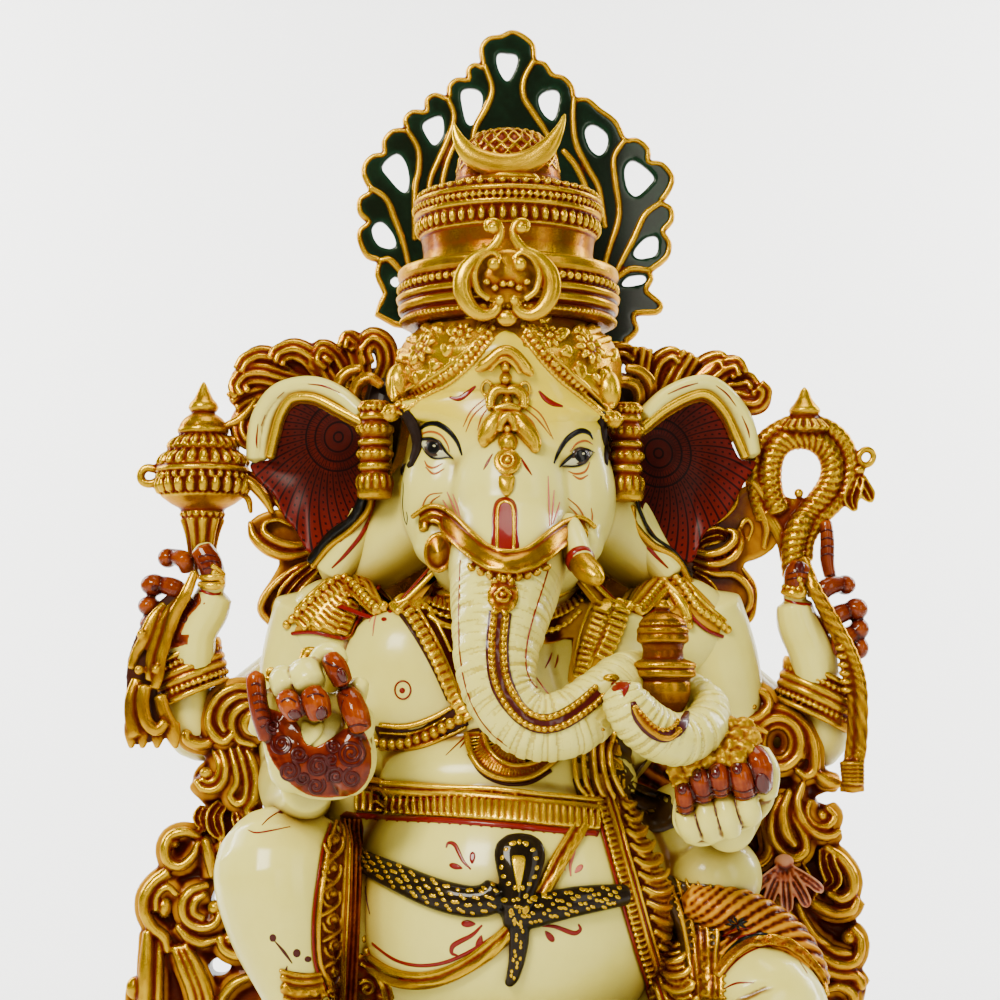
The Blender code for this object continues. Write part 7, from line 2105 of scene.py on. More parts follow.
def make_stole(tree):
    """The scroll-worked band that falls over the left hip, with its gathered top."""
    left_edge = [(47, -112), (44, -124), (44.6, -138), (47.6, -150), (51.6, -163), (56, -179), (60.6, -195),
        (65, -211), (69.6, -227), (74.4, -241), (78, -251)]
    right_edge = [(58, -112), (56, -124), (56, -136), (60, -148), (66.6, -158), (72, -171), (77, -185), (83, -200),
        (88, -214), (92.4, -229), (97, -242), (101, -251)]
    base = [patch(tree, round_loop(left_edge + right_edge[::-1], 2), lift=1.6, rings=8)]
    parts = base
    parts.append(laid(tree, [(u + 4.0, w, 1.5) for u, w in left_edge[2:]], "round", lift=2.2, per=6, sides=10))
    parts.append(laid(tree, [(u + 7.2, w, 1.0) for u, w in left_edge[2:]], "round", lift=2.2, per=6, sides=8))
    parts += bars_across(tree, [(u + 0.8, w, 1.7) for u, w in left_edge[3:]], 3.0, 1.2, lift=1.9)
    for line, wide in (([(49, -114), (45.6, -124), (46.6, -138), (50, -149)], 1.5),
        ([(53, -112), (49.6, -124), (50.6, -137), (55, -149)], 1.6),
        ([(57, -114), (53.4, -125), (54.4, -136), (59.6, -147)], 1.5),
        ([(43, -118), (40.8, -128), (41.6, -140), (45, -150)], 1.4),
        ([(37, -122), (36.6, -132), (38, -142), (42, -150)], 1.2)):
        parts.append(laid(tree, [(u, w, wide, wide * 1.2) for u, w in line], "round", lift=2.4, per=6, sides=10))
    for k in range(15):
        w = -152 - 7.0 * k
        u = 57.4 + 0.283 * 7.0 * k + (1.2 if k < 2 else 0)
        reach = 4 + min(9.5, 1.4 * k + 2)
        parts.append(laid(tree, [(u, w, 1.3), (u + reach * 0.45, w - 3.2, 2.1), (u + reach * 0.92, w - 1.8, 2.0),
            (u + reach * 1.12, w + 1.6, 1.3)], "round", lift=2.3, per=5, sides=10))
        parts.append(laid(tree, [(u + 1.4, w + 3.0, 0.9), (u + reach * 0.5, w + 0.6, 1.4),
            (u + reach * 0.9, w + 2.0, 1.0)], "round", lift=2.2, per=5, sides=8))
        if k % 3 == 1 and k > 2:
            parts.append(laid(tree, [(a, b, 0.9) for a, b in swirl(u + reach * 0.95, w - 0.6, 3.6, 1.4, 40, 1, 12)],
                "round", lift=2.8, per=2, sides=8))
            parts.append(bump_on(tree, u + reach * 0.95, w - 0.6, 1.6, 1.6, 1.4, lift=2.4))
    piece("stole_left_skin", parts, STOLE_GOLD, ["stole_left"], voxel=0.6, smooth=1)
    red = [stroke(tree, [(u - 1.8, w) for u, w in left_edge[2:]], 0.9, taper=False, lift=1.2),
        stroke(tree, [(u + 5.6, w) for u, w in left_edge[2:]], 0.5, taper=False, lift=2.6)]
    piece("stole_left_edge", red, RED_LINE, slot="maroon", voxel=0)
    tucked = [sweep(spots(rows), sides=54, per=6, lobes=11, twist=0.25) for rows in (
        [(62, -106, 2, 8), (68, -128, 0, 17), (72, -150, 0, 19), (80, -172, 2, 12)],
        [(-70, -112, 2, 6), (-73, -132, 0, 13), (-74, -160, 0, 14), (-72, -188, 2, 9)],
        [(86, -172, 2, 10), (92, -200, 0, 22), (96, -226, 0, 24), (98, -252, 0, 18)],
    )]
    piece("waist_cloth", tucked, RED_CLOTH, slot="maroon", voxel=1.2, smooth=2)
    shade = [blanket(tree, round_loop([(72, -176), (84, -187), (94, -190), (106, -191), (116, -194), (128, -202),
        (116, -206), (112, -216), (110, -236), (106, -251), (98, -251), (90, -226), (79, -198), (71, -182)], 3),
        0.8, 10, 12)]
    shade.append(patch(tree, [(36, -118), (58, -112), (80, -140), (90, -160), (76, -166), (62, -152), (40, -150)],
        lift=0.3, rings=6))
    lap = surface_of(piece("hip_shade", shade, OLIVE_SHADE, slot="maroon", voxel=0), torso, leg_left)
    folds = []
    for k in range(6):
        folds.append(laid(lap, [(81 + 6.0 * k, -187 - 1.2 * k, 0.7), (86 + 5.2 * k, -196 - 2.0 * k, 1.1),
            (91 + 4.4 * k, -210 - 2 * k, 1.2), (95 + 3.2 * k, -230, 1.2), (98 + 2.6 * k, -250, 1.1)], "round",
            lift=0.6, per=6, sides=10))
        folds += bars_across(lap, [(84 + 5.6 * k, -191 - 1.4 * k, 1.5), (91 + 4.6 * k, -208 - 2 * k, 2.0),
            (96.5 + 3.0 * k, -232, 1.8), (99 + 2.6 * k, -249, 1.5)], 3.6, 0.7, lift=0.5)
    for k in range(7):
        folds.append(laid(tree, [(a, b, 0.8) for a, b in swirl(103.6 + 0.5 * math.sin(k), -208 - 6.4 * k, 2.8, 1.2,
            90 * (k % 2), 1, 10)], "round", lift=1.8, per=2, sides=8))
    piece("hip_folds", folds, OLIVE_GOLD, voxel=0.7, smooth=1)


def make_dhoti_border(tree):
    """The worked border of the wrap on the right leg, with the gathered folds beside it."""
    left_edge = [(-84, -162), (-88, -174), (-90.6, -190), (-92.4, -204), (-93, -218), (-92, -232), (-88, -242),
        (-84, -252)]
    right_edge = [(-79, -162), (-78, -176), (-78.6, -192), (-79, -208), (-79, -222), (-78, -236), (-77, -252)]
    parts = [patch(tree, round_loop(left_edge + right_edge[::-1], 2), lift=1.6, rings=6)]
    for edge in (left_edge, right_edge):
        parts.append(laid(tree, [(u + (0.9 if edge is left_edge else -0.9), w, 1.1) for u, w in edge], "round",
            lift=1.9, per=6, sides=10))
    for k in range(7):
        u, w = -84.4 - 1.4 * math.sin(k * 0.8), -171 - 12.8 * k
        parts.append(laid(tree, [(a, b, 1.0) for a, b in swirl(u, w, 3.4, 1.1, 200, 1, 12)], "round", lift=2.2,
            per=2, sides=8))
        parts.append(bump_on(tree, u, w, 1.9, 2.1, 1.6, lift=2.0))
        parts.append(laid(tree, [(u + 4.2, w + 1.2, 0.8), (u + 3.6, w - 4, 1.2), (u - 1, w - 8.4, 1.3),
            (u - 5.0, w - 11, 0.9)], "round", lift=2.1, per=5, sides=10))
        parts.append(laid(tree, [(u - 5.0, w - 1.6, 0.7), (u - 3.4, w - 5.8, 1.0), (u + 0.6, w - 7.0, 0.7)],
            "round", lift=2.0, per=5, sides=8))
    piece("dhoti_border_skin", parts, OLIVE_GOLD, ["dhoti_fold_right"], voxel=0.6, smooth=1)
    folds = [patch(tree, [(-80, -158), (-69, -160), (-69, -180), (-70, -205), (-72, -225), (-72, -251), (-78, -251),
        (-79, -225), (-79, -190)], lift=0.9, rings=6)]
    for k, start in enumerate((-77.4, -75.2, -73.0, -70.8)):
        folds.append(laid(tree, [(start, -160, 0.7), (start - 0.6, -182, 1.0), (start - 1.0, -206, 1.1),
            (start - 1.4, -230, 1.1), (start - 1.6, -251, 1.0)], "round", lift=1.6, per=7, sides=10))
    piece("dhoti_folds", folds, RED_CLOTH, slot="maroon", voxel=0.6, smooth=1)
    gold = [laid(tree, [(-76.4, -163, 0.6), (-77, -184, 0.8), (-77.4, -208, 0.9), (-77.8, -230, 1.0),
        (-77.8, -251, 1.2)], "round", lift=1.9, per=7, sides=8)]
    gold += [laid(tree, [(a, b, 1.1) for a, b in swirl(-66.6, -243, 4.4, 1.3, 40, 1, 12)], "round", lift=1.4, per=2,
        sides=8), laid(tree, [(-70, -231, 1.0), (-62, -235, 1.5), (-57, -243, 1.7), (-56, -251, 1.6)], "round",
        lift=1.2, per=5, sides=10)]
    gold.append(patch(tree, [(-72, -228), (-64, -230), (-56, -240), (-54, -252), (-76, -252)], lift=0.5, rings=4))
    piece("dhoti_gold_line", gold, GOLD, voxel=0.6, smooth=1)
    red = [stroke(tree, [(u - 0.9, w) for u, w in left_edge], 0.8, taper=False, lift=0.9)]
    piece("dhoti_border_edge", red, RED_LINE, slot="maroon", voxel=0)


def make_thigh_cloth(tree):
    """The cloth over the left thigh, folded in ridges, with its hem above the bare knee."""
    outline = [(108, -192), (118, -198), (130, -206), (140, -213), (150, -222), (158, -232), (150, -229),
        (138, -222.6), (128, -224), (118, -230), (109, -240), (106, -222), (106, -204)]
    parts = [patch(tree, outline, lift=1.3, rings=7)]
    for k in range(8):
        share = k / 7
        parts.append(laid(tree, [(108.6 + 2 * share, -197 - 31 * share, 0.9),
            (119 + 1 * share, -203.6 - 18 * share, 1.3), (131 + 1 * share, -210 - 9.6 * share, 1.4),
            (144 + 4 * share, -218.6 - 5 * share, 1.0)], "round", lift=1.5, per=6, sides=10))
    deep = hit(tree, 124, -216)[0][1]
    parts.append(sweep(spots([(94, -200, deep + 8, 7), (106, -203.5, deep + 7, 9), (119, -206.5, deep + 7, 10),
        (131, -212, deep + 8, 10), (142, -220, deep + 9, 10), (151, -231, deep + 10, 9),
        (156, -243, deep + 12, 8)]), sides=40, per=6, lobes=9, twist=0.2))
    cloth = piece("thigh_cloth", parts, ORANGE_CLOTH, slot="orange", voxel=0.8, smooth=2)
    over = surface_of(cloth, leg_left, torso)
    hem = [laid(over, [(u, w, wide, wide * 0.5) for u, w, wide in ((108.6, -238, 2.4), (114, -230.6, 2.8),
        (121, -224.4, 2.8), (129, -220.8, 2.8), (137, -219.6, 2.8), (145, -222, 2.6), (152, -227.6, 2.4),
        (160, -237, 2.0), (164, -249, 1.6))], "ribs", lift=0.8, per=6)]
    piece("thigh_hem", hem, ORANGE_GOLD, voxel=0.55, smooth=1)
    black = [stroke(over, [(111, -229.6), (115.4, -224.6), (121, -220.2), (128, -217.4), (134, -216.8)], 1.3,
        lift=0.5)]
    for i in range(8):
        angle = i * 2 * math.pi / 8 + 0.2
        a, b = math.cos(angle), math.sin(angle)
        black.append(stroke(over, [(118.4 + 1.2 * a, -211.6 + 0.8 * b), (118.4 + 3.4 * a, -211.6 + 2.2 * b),
            (118.4 + 5.6 * a, -211.6 + 3.6 * b)], 0.75, lift=0.6))
    piece("thigh_black", black, BLACK_LINE, slot="black", voxel=0)
    red = [stroke(over, [(108.6, -241), (115, -233.4), (122, -227.4), (130, -223.6), (138, -222.6), (146, -225.2),
        (153, -230.6), (161, -240)], 0.6, taper=False)]
    red += [stroke(over, [(110, -219), (118, -214.6), (126, -214)], 0.6),
        stroke(over, [(112, -224), (120, -218.4), (128, -216.2)], 0.5)]
    piece("thigh_red", red, RED_LINE, slot="maroon", voxel=0)


def make_anklet(tree):
    parts = []
    for k, (w, wide) in enumerate(((-236.6, 1.1), (-239.8, 1.7), (-244.6, 3.0), (-249.8, 1.7))):
        parts.append(laid(tree, [(-110 + 0.8 * k, w + 1.6, wide), (-103, w - 0.6, wide), (-97, w - 1.2, wide),
            (-90, w - 0.4, wide)], "round", lift=0.8, per=6, sides=10))
    parts += [bump_on(tree, -104.6 + 3.6 * k, -245 - 0.5 * k, 1.5, 1.8, 1.2, lift=3.0) for k in range(5)]
    piece("anklet_skin", parts, OLIVE_GOLD, voxel=0.6, smooth=1)


# ---------------------------------------------------------------- carved frames at the sides


def scrollwork(name, node, outline, holes, y, curls, fronds, knobs, skin, back_lines):
    """A pierced frame: a dark red ground cut to its outline, with gold curls, leaves and knobs on it."""
    bed = [flat_bar(line, y - 0.5, 5.4, depth=3.8, per=4) for line, _ in curls]
    ground = piece(name + "_ground", bed + [cutout(round_loop(outline, 3), [round_loop(h, 3) for h in holes], y + 5,
        15)], FRAME_GROUND, [node], "maroon", voxel=1.1, smooth=6, fine=0.3, broad=1.4)
    parts = []
    for line, wide in curls:
        wide = [1.45 * h for h in (wide if isinstance(wide, (list, tuple)) else [wide] * len(line))]
        parts.append(flat_bar(line, y - 3.0, wide, depth=max(wide) * 1.5, per=6))
    for line, wide in fronds:
        parts.append(frond(line, y - 3.5, wide, depth=1.2))
    for u, w, across, tall in knobs:
        parts.append(ball(spot(u, w, y - 5), (across, 4.5, tall), 18, 11))
    for line, wide in back_lines:
        parts.append(flat_bar(line, y + 13, wide, depth=2.6, per=5))
    piece(name + "_skin", parts, skin, voxel=0.8, smooth=1)
    return ground


def make_frames():
    left = [(-122, -92), (-133, -91.6), (-141, -96), (-146, -104), (-147.6, -111), (-153, -115), (-157.6, -115.6),
        (-157.6, -120), (-150, -123.6), (-143.6, -124.6), (-141.6, -128.6), (-148, -131), (-152.6, -137),
        (-152, -145), (-149, -150), (-146, -154), (-150.6, -160), (-151, -165), (-158, -164.6), (-165, -167.6),
        (-168.6, -174), (-167.6, -183), (-171, -189.6), (-176.6, -195), (-178.8, -204), (-177, -213),
        (-179.6, -224), (-180.4, -230), (-178.6, -236), (-184, -239), (-186.6, -247), (-185, -256), (-176, -262),
        (-150, -264), (-118, -262), (-108, -254), (-114, -246), (-109.4, -240), (-116, -228), (-122, -215),
        (-130, -200), (-134, -184), (-130, -168), (-120, -152), (-112, -130), (-112, -106)]
    holes = [[(-143.6, -201), (-142.6, -195.6), (-140.6, -192.4), (-138.8, -194.6), (-137.6, -200.4),
        (-140.6, -201)], [(-143.6, -236), (-144.2, -230.6), (-140, -228), (-135, -229.6), (-133.6, -232.6),
        (-137.6, -236.6)]]
    curls = [
        ([(-124, -93.6), (-133, -93.8, 2), (-140.4, -98, 2), (-144.6, -105, 2), (-145.6, -112, 3),
            (-142.6, -118, 4), (-137.6, -120.6, 4), (-133.4, -117, 4)], [1.4, 1.7, 1.8, 1.8, 1.8, 1.9, 1.9, 1.4]),
        ([(-122, -98), (-131, -98.4, 3), (-137.6, -103, 3), (-139.8, -110, 3), (-137.6, -115.6, 3)],
            [1.2, 1.6, 1.8, 1.7, 1.2]),
        ([(-120, -102.6), (-128, -103, 3), (-133, -107.6, 3), (-133.8, -114, 3), (-130.4, -120, 3),
            (-123, -122.6, 3)], [1.2, 1.8, 1.9, 1.8, 1.6, 1.2]),
        ([(-116, -106), (-123, -106.6, 4), (-127, -110.6, 4), (-125.6, -115.6, 4), (-119, -117.6, 4)],
            [1.2, 1.7, 1.9, 1.6, 1.2]),
        ([(-156.6, -116, 3), (-155.8, -120, 3), (-150, -122.4, 3), (-144.6, -120.6, 2), (-142, -116, 2)],
            [1.8, 2.1, 2.2, 2.0, 1.2]),
        ([(-139.6, -124.6), (-137.2, -132, 2), (-137.8, -139.6, 3), (-142, -144.4, 3), (-148, -144.6, 3),
            (-151.6, -140.6, 2)], [1.6, 1.8, 1.8, 1.8, 1.6, 1.2]),
        ([(-143, -125.6), (-140.4, -132, 3), (-141.2, -138, 3), (-145, -141, 3), (-149.6, -139.6, 3)],
            [1.0, 1.2, 1.2, 1.1, 0.8]),
        ([(-134.6, -123.6), (-132.4, -132, 3), (-131.4, -141, 4), (-134.6, -147.6, 4), (-131.6, -151.6, 4),
            (-127.4, -149.6, 4), (-126.4, -141, 3), (-128.4, -131, 3), (-130.6, -124, 2)],
            [1.2, 1.4, 1.4, 1.5, 1.8, 1.6, 1.4, 1.3, 1.1]),
        ([(-127, -123.6), (-123.6, -131, 2), (-121.6, -140, 3), (-122.6, -149, 4), (-125.8, -155, 4),
            (-122.4, -159, 5), (-117.8, -157.6, 4)], [1.4, 1.7, 1.9, 2.0, 1.8, 2.0, 1.6]),
        ([(-151, -167.6), (-158, -165.8, 3), (-164.6, -168.4, 3), (-167.2, -174.6, 4), (-165.4, -181, 4),
            (-159.4, -182.8, 4), (-153.4, -178, 3), (-150.6, -171.4, 2)], [1.6, 2.0, 2.2, 2.1, 2.1, 2.1, 1.8, 1.3]),
        ([(-146.8, -170, 2), (-145.2, -178, 3), (-143.6, -187.6, 2)], [2.0, 2.4, 1.6]),
        ([(-138, -177.6), (-136, -187, 1), (-132.6, -195, 1), (-129, -200, 1)], [1.6, 2.2, 2.0, 1.3]),
        ([(-166, -186, 2), (-173, -191.4, 3), (-177.2, -198, 4), (-177.4, -206, 4), (-173.6, -213.4, 3),
            (-167.6, -218.6, 2), (-165.6, -225, 1)], [2.4, 2.4, 2.3, 2.2, 2.2, 2.2, 1.6]),
        ([(-171.8, -205, 4), (-171.4, -198, 4), (-166.4, -193.4, 4), (-161.6, -197, 3)], [1.2, 1.4, 1.5, 1.2]),
        ([(-146.6, -192.6), (-154.6, -195.6, 3), (-158.6, -202, 4), (-157.2, -209.4, 4), (-150.6, -213.6, 4),
            (-143, -212.4, 4), (-139.8, -207, 3)], [1.6, 1.9, 1.9, 1.8, 1.9, 1.8, 1.4]),
        ([(-147.4, -197, 2), (-152.4, -200.6, 3), (-153, -206.4, 3), (-148, -209.4, 3)], [1.4, 1.8, 1.8, 1.3]),
        ([(-160.6, -213, 2), (-155.6, -218.6, 3), (-148.6, -221.4, 3), (-141.4, -219.6, 2)], [1.6, 2.1, 2.0, 1.5]),
        ([(-139.8, -218.6, 3), (-138, -224.6, 4), (-131.6, -227.8, 4), (-124, -225.6, 4), (-120.8, -218.6, 3),
            (-119.8, -212, 1)], [1.7, 1.9, 1.9, 1.9, 1.7, 1.2]),
        ([(-119.6, -229), (-122.4, -235.6, 2), (-117.6, -240, 2)], [1.3, 1.8, 1.5]),
        ([(-124.8, -238, 2), (-133, -242, 3), (-138.4, -249, 2), (-140.6, -258)], [1.7, 2.0, 2.0, 1.6]),
    ]
    for k, (top, foot, wide) in enumerate((((-175.4, -216), (-176.4, -262), 3.2),
        ((-169.6, -220), (-170.4, -262), 2.0))):
        curls.append(([(*top, 1), ((top[0] + foot[0]) / 2 - 0.6, (top[1] + foot[1]) / 2, 3), (*foot, 1)],
            [wide * 0.7, wide, wide]))
    for k in range(3):
        curls.append(([(-162 + 2.6 * k, -224 + 0.6 * k, 2), (-158 + 3.4 * k, -234, 4), (-153.6 + 3.6 * k, -246, 4),
            (-151 + 3.4 * k, -262, 2)], [1.8, 2.4, 2.3, 1.8]))
    fronds = [([(-139.4, -152.6), (-142.6, -158, -4), (-141.6, -164, -4), (-138.6, -170, -3)], 4.6),
        ([(-148, -154), (-150, -159, -2), (-147.6, -165.6, -1)], 3.6),
        ([(-131.6, -154.6), (-130.4, -161, -2), (-128, -168)], 3.4)]
    knobs = [(-138.4, -173.6, 4.6, 3.6), (-163.4, -171, 3.4, 3.6), (-167.6, -203.6, 3.8, 5.4),
        (-142.4, -203.8, 3.9, 3.8), (-135, -219.4, 4.0, 3.9), (-182, -244, 5.0, 6.0), (-146.6, -136.4, 3.6, 3.0)]
    backs = [([(-124, -98), (-140, -104), (-142, -120), (-140, -140), (-142, -160), (-160, -176), (-172, -196),
        (-172, -220), (-176, -250)], 5.0), ([(-120, -112), (-130, -130), (-132, -150), (-140, -172)], 4.0),
        ([(-138, -186), (-152, -200), (-150, -222), (-154, -250)], 4.4)]
    scrollwork("scroll_left_side", "scroll_frame_right", left, holes, 4, curls, fronds, knobs, GOLD, backs)

    right = [(96, -92), (106, -91), (114, -98), (122, -101), (124.6, -94), (129.6, -93.4), (134.6, -98),
        (137, -103.6), (146, -106), (153.4, -112), (158, -122), (158.8, -134), (161, -138), (168.6, -139),
        (168.8, -143.4), (160, -146.6), (155.6, -149.6), (163.6, -152.6), (168.6, -159), (168.4, -164.4),
        (170, -167), (163.4, -171.6), (172, -178), (177.8, -185.6), (178, -196), (179.6, -202), (177, -209),
        (175.6, -213.6), (180, -220), (180.6, -229), (177, -235), (181.6, -240), (181.8, -246), (178, -254),
        (165, -261), (140, -262), (118, -255), (126, -236), (138, -222), (130, -212), (116, -200), (108, -186),
        (112, -170), (124, -158), (132, -146), (126, -130), (110, -116), (98, -110)]
    holes = [[(150, -206.6), (155, -209), (160, -212.4), (158, -215.4), (159.6, -220), (156.4, -218.6),
        (152.4, -213)], [(134.4, -118), (139, -114.6), (143.4, -118.6), (143, -125), (138.4, -127.6),
        (134.4, -124)]]
    curls = [
        ([(96.6, -94), (99, -102.6, 2), (106, -109.4, 4), (115, -112.8, 5), (125, -112.6, 5), (132.6, -116, 4)],
            [1.8, 2.6, 2.9, 2.8, 2.4, 1.6]),
        ([(101, -92.6), (106, -100.4, 4), (113, -106.6, 6), (122, -109.8, 6), (129.6, -108.4, 6), (134.2, -103, 5),
            (132, -97, 4), (126, -94.8, 3)], [1.5, 2.2, 2.3, 2.2, 2.1, 2.0, 1.9, 1.5]),
        ([(106.6, -93), (112, -100, 5), (119.6, -104.4, 6), (127, -103, 6)], [1.4, 2.1, 2.1, 1.5]),
        ([(133, -104.6, 2), (141, -104.8, 3), (149, -109.6, 4), (154.8, -117, 4), (157.2, -126, 5),
            (156.8, -134.6, 5), (152.6, -137.8, 5), (148.6, -135.4, 4)], [1.7, 2.3, 2.4, 2.3, 2.2, 2.2, 1.9, 1.4]),
        ([(136, -109.8, 3), (143.4, -110.4, 4), (149.2, -115.6, 4), (151.6, -122.6, 4), (150.8, -129.4, 5)],
            [1.6, 2.2, 2.2, 2.0, 1.4]),
        ([(u, w, 6) for u, w in oval(138.6, -121.4, 11.6, 12.4, 0, 16) + oval(138.6, -121.4, 11.6, 12.4, 0,
            16)[:1]], 2.1),
        ([(u, w, 5) for u, w in oval(138.6, -121.2, 7.2, 8.4, 0, 14) + oval(138.6, -121.2, 7.2, 8.4, 0, 14)[:1]],
            1.6),
        ([(158, -137, 3), (163, -140.4, 4), (168.4, -141.4, 3)], [1.8, 2.9, 2.3]),
        ([(140, -148, 4), (135.8, -158, 6), (135.6, -168, 7), (140.6, -176, 7), (147.4, -178.8, 7),
            (152.4, -174.8, 6), (151.4, -167, 5), (146.6, -158.6, 4), (144, -150, 3)],
            [1.4, 1.7, 1.9, 2.0, 2.1, 2.1, 1.9, 1.7, 1.4]),
        ([(144, -146, 4), (141, -156, 6), (142.6, -166, 7), (146.6, -172, 6)], [1.5, 2.5, 2.7, 1.8]),
        ([(131.4, -159, 3), (133.6, -167.6, 5), (134.4, -175.6, 6), (130.4, -181, 6), (124.4, -180.8, 6),
            (121, -176.8, 5)], [1.6, 2.1, 2.2, 2.2, 2.1, 1.8]),
        ([(151, -142, 2), (148.4, -151, 4), (151, -160, 5), (157, -166.4, 5), (164, -168, 4), (168.6, -165.6, 2)],
            [1.6, 2.1, 2.2, 2.1, 1.9, 1.3]),
        ([(154.6, -150.6, 3), (153.4, -157, 5), (157.4, -162.6, 5), (163.6, -163, 5), (166.8, -158.4, 4),
            (163.6, -153.8, 3)], [1.2, 1.4, 1.5, 1.5, 1.5, 1.1]),
        ([(163, -173.6, 2), (170.6, -179.6, 3), (175.8, -187.6, 4), (175.6, -195.6, 4), (170.4, -199.4, 4),
            (164, -196.6, 3)], [1.7, 2.2, 2.3, 2.2, 2.1, 1.4]),
        ([(152.6, -198, 2), (159, -203, 4), (167.4, -206.4, 4), (175, -205, 4), (178, -199.6, 3)],
            [1.8, 2.3, 2.4, 2.2, 1.4]),
        ([(143, -203, 2), (146.6, -212, 4), (152.4, -220.4, 5), (159, -226.6, 5), (167, -231.4, 5),
            (174.6, -232, 4), (179, -227.4, 3), (179.4, -219.6, 2), (176, -214.4, 1)],
            [1.7, 2.2, 2.3, 2.3, 2.3, 2.3, 2.2, 2.0, 1.5]),
        ([(148, -201.6, 3), (152, -210.6, 4), (157.6, -218.4, 4), (163.8, -222.4, 3)], [1.6, 2.1, 2.1, 1.7]),
        ([(160.6, -222.6, 3), (168, -225.6, 4), (174.4, -226.4, 3)], [1.6, 2.1, 1.5]),
        ([(150, -227, 1), (158, -232.6, 3), (168, -236.4, 3), (177, -237.8, 2), (180.6, -243, 1)],
            [1.6, 2.3, 2.6, 2.5, 1.9]),
        ([(164, -244, 1), (170, -243, 3), (176, -247, 3), (176, -256, 1)], [1.5, 2.1, 2.3, 1.7]),
        ([(135.8, -197.6, 3), (139.8, -200.6, 5), (144.4, -198.8, 4)], [1.4, 2.2, 1.6]),
        ([(111, -176.6), (114, -180.4, 1), (118.6, -178.6, 1)], [1.5, 2.0, 1.4]),
    ]
    fronds = [([(162.4, -175, -2), (163.6, -183, -4), (166, -190, -3), (161.6, -194.6, -1)], 5.0),
        ([(148, -183, -3), (151, -190, -6), (153.4, -196, -5), (153.8, -199, -4)], 5.4),
        ([(140.4, -184, -2), (139.4, -191, -5), (140.6, -198, -4)], 5.0),
        ([(147.4, -184.6, -2), (146, -191, -4), (147, -197, -3)], 3.0)]
    knobs = [(168.6, -183.6, 4.2, 4.4), (174.8, -218.4, 4.4, 4.2), (127.6, -98.6, 3.0, 3.4),
        (161, -157.8, 3.2, 3.4), (179, -241, 4.2, 4.6)]
    backs = [([(100, -100), (118, -110), (140, -106), (152, -120), (150, -140), (158, -160), (168, -182),
        (170, -204), (172, -230), (168, -256)], 5.0),
        ([(136, -124), (140, -144), (142, -166), (148, -190), (146, -206), (156, -228)], 4.4)]
    scrollwork("scroll_right_side", "scroll_frame_left", right, holes, 4, curls, fronds, knobs, ORANGE_GOLD, backs)
    pink = []
    for tip_u, tip_w, wide in ((126, -196, 2.6), (133, -203, 3.1), (143.5, -206.5, 3.4), (154, -203.5, 3.2),
        (161.5, -196, 2.7)):
        pink.append(frond([(142, -182, -17), (0.4 * 142 + 0.6 * tip_u, 0.45 * -182 + 0.55 * tip_w, -22),
            (0.12 * 142 + 0.88 * tip_u, 0.15 * -182 + 0.85 * tip_w, -21), (tip_u, tip_w, -18)], 0.5, wide,
            depth=0.7))
    pink.append(ball(spot(142, -181, -16), (5, 4, 4), 16, 9))
    piece("scroll_pink_petal", pink, PINK_PETAL, slot="orange", voxel=0.7)


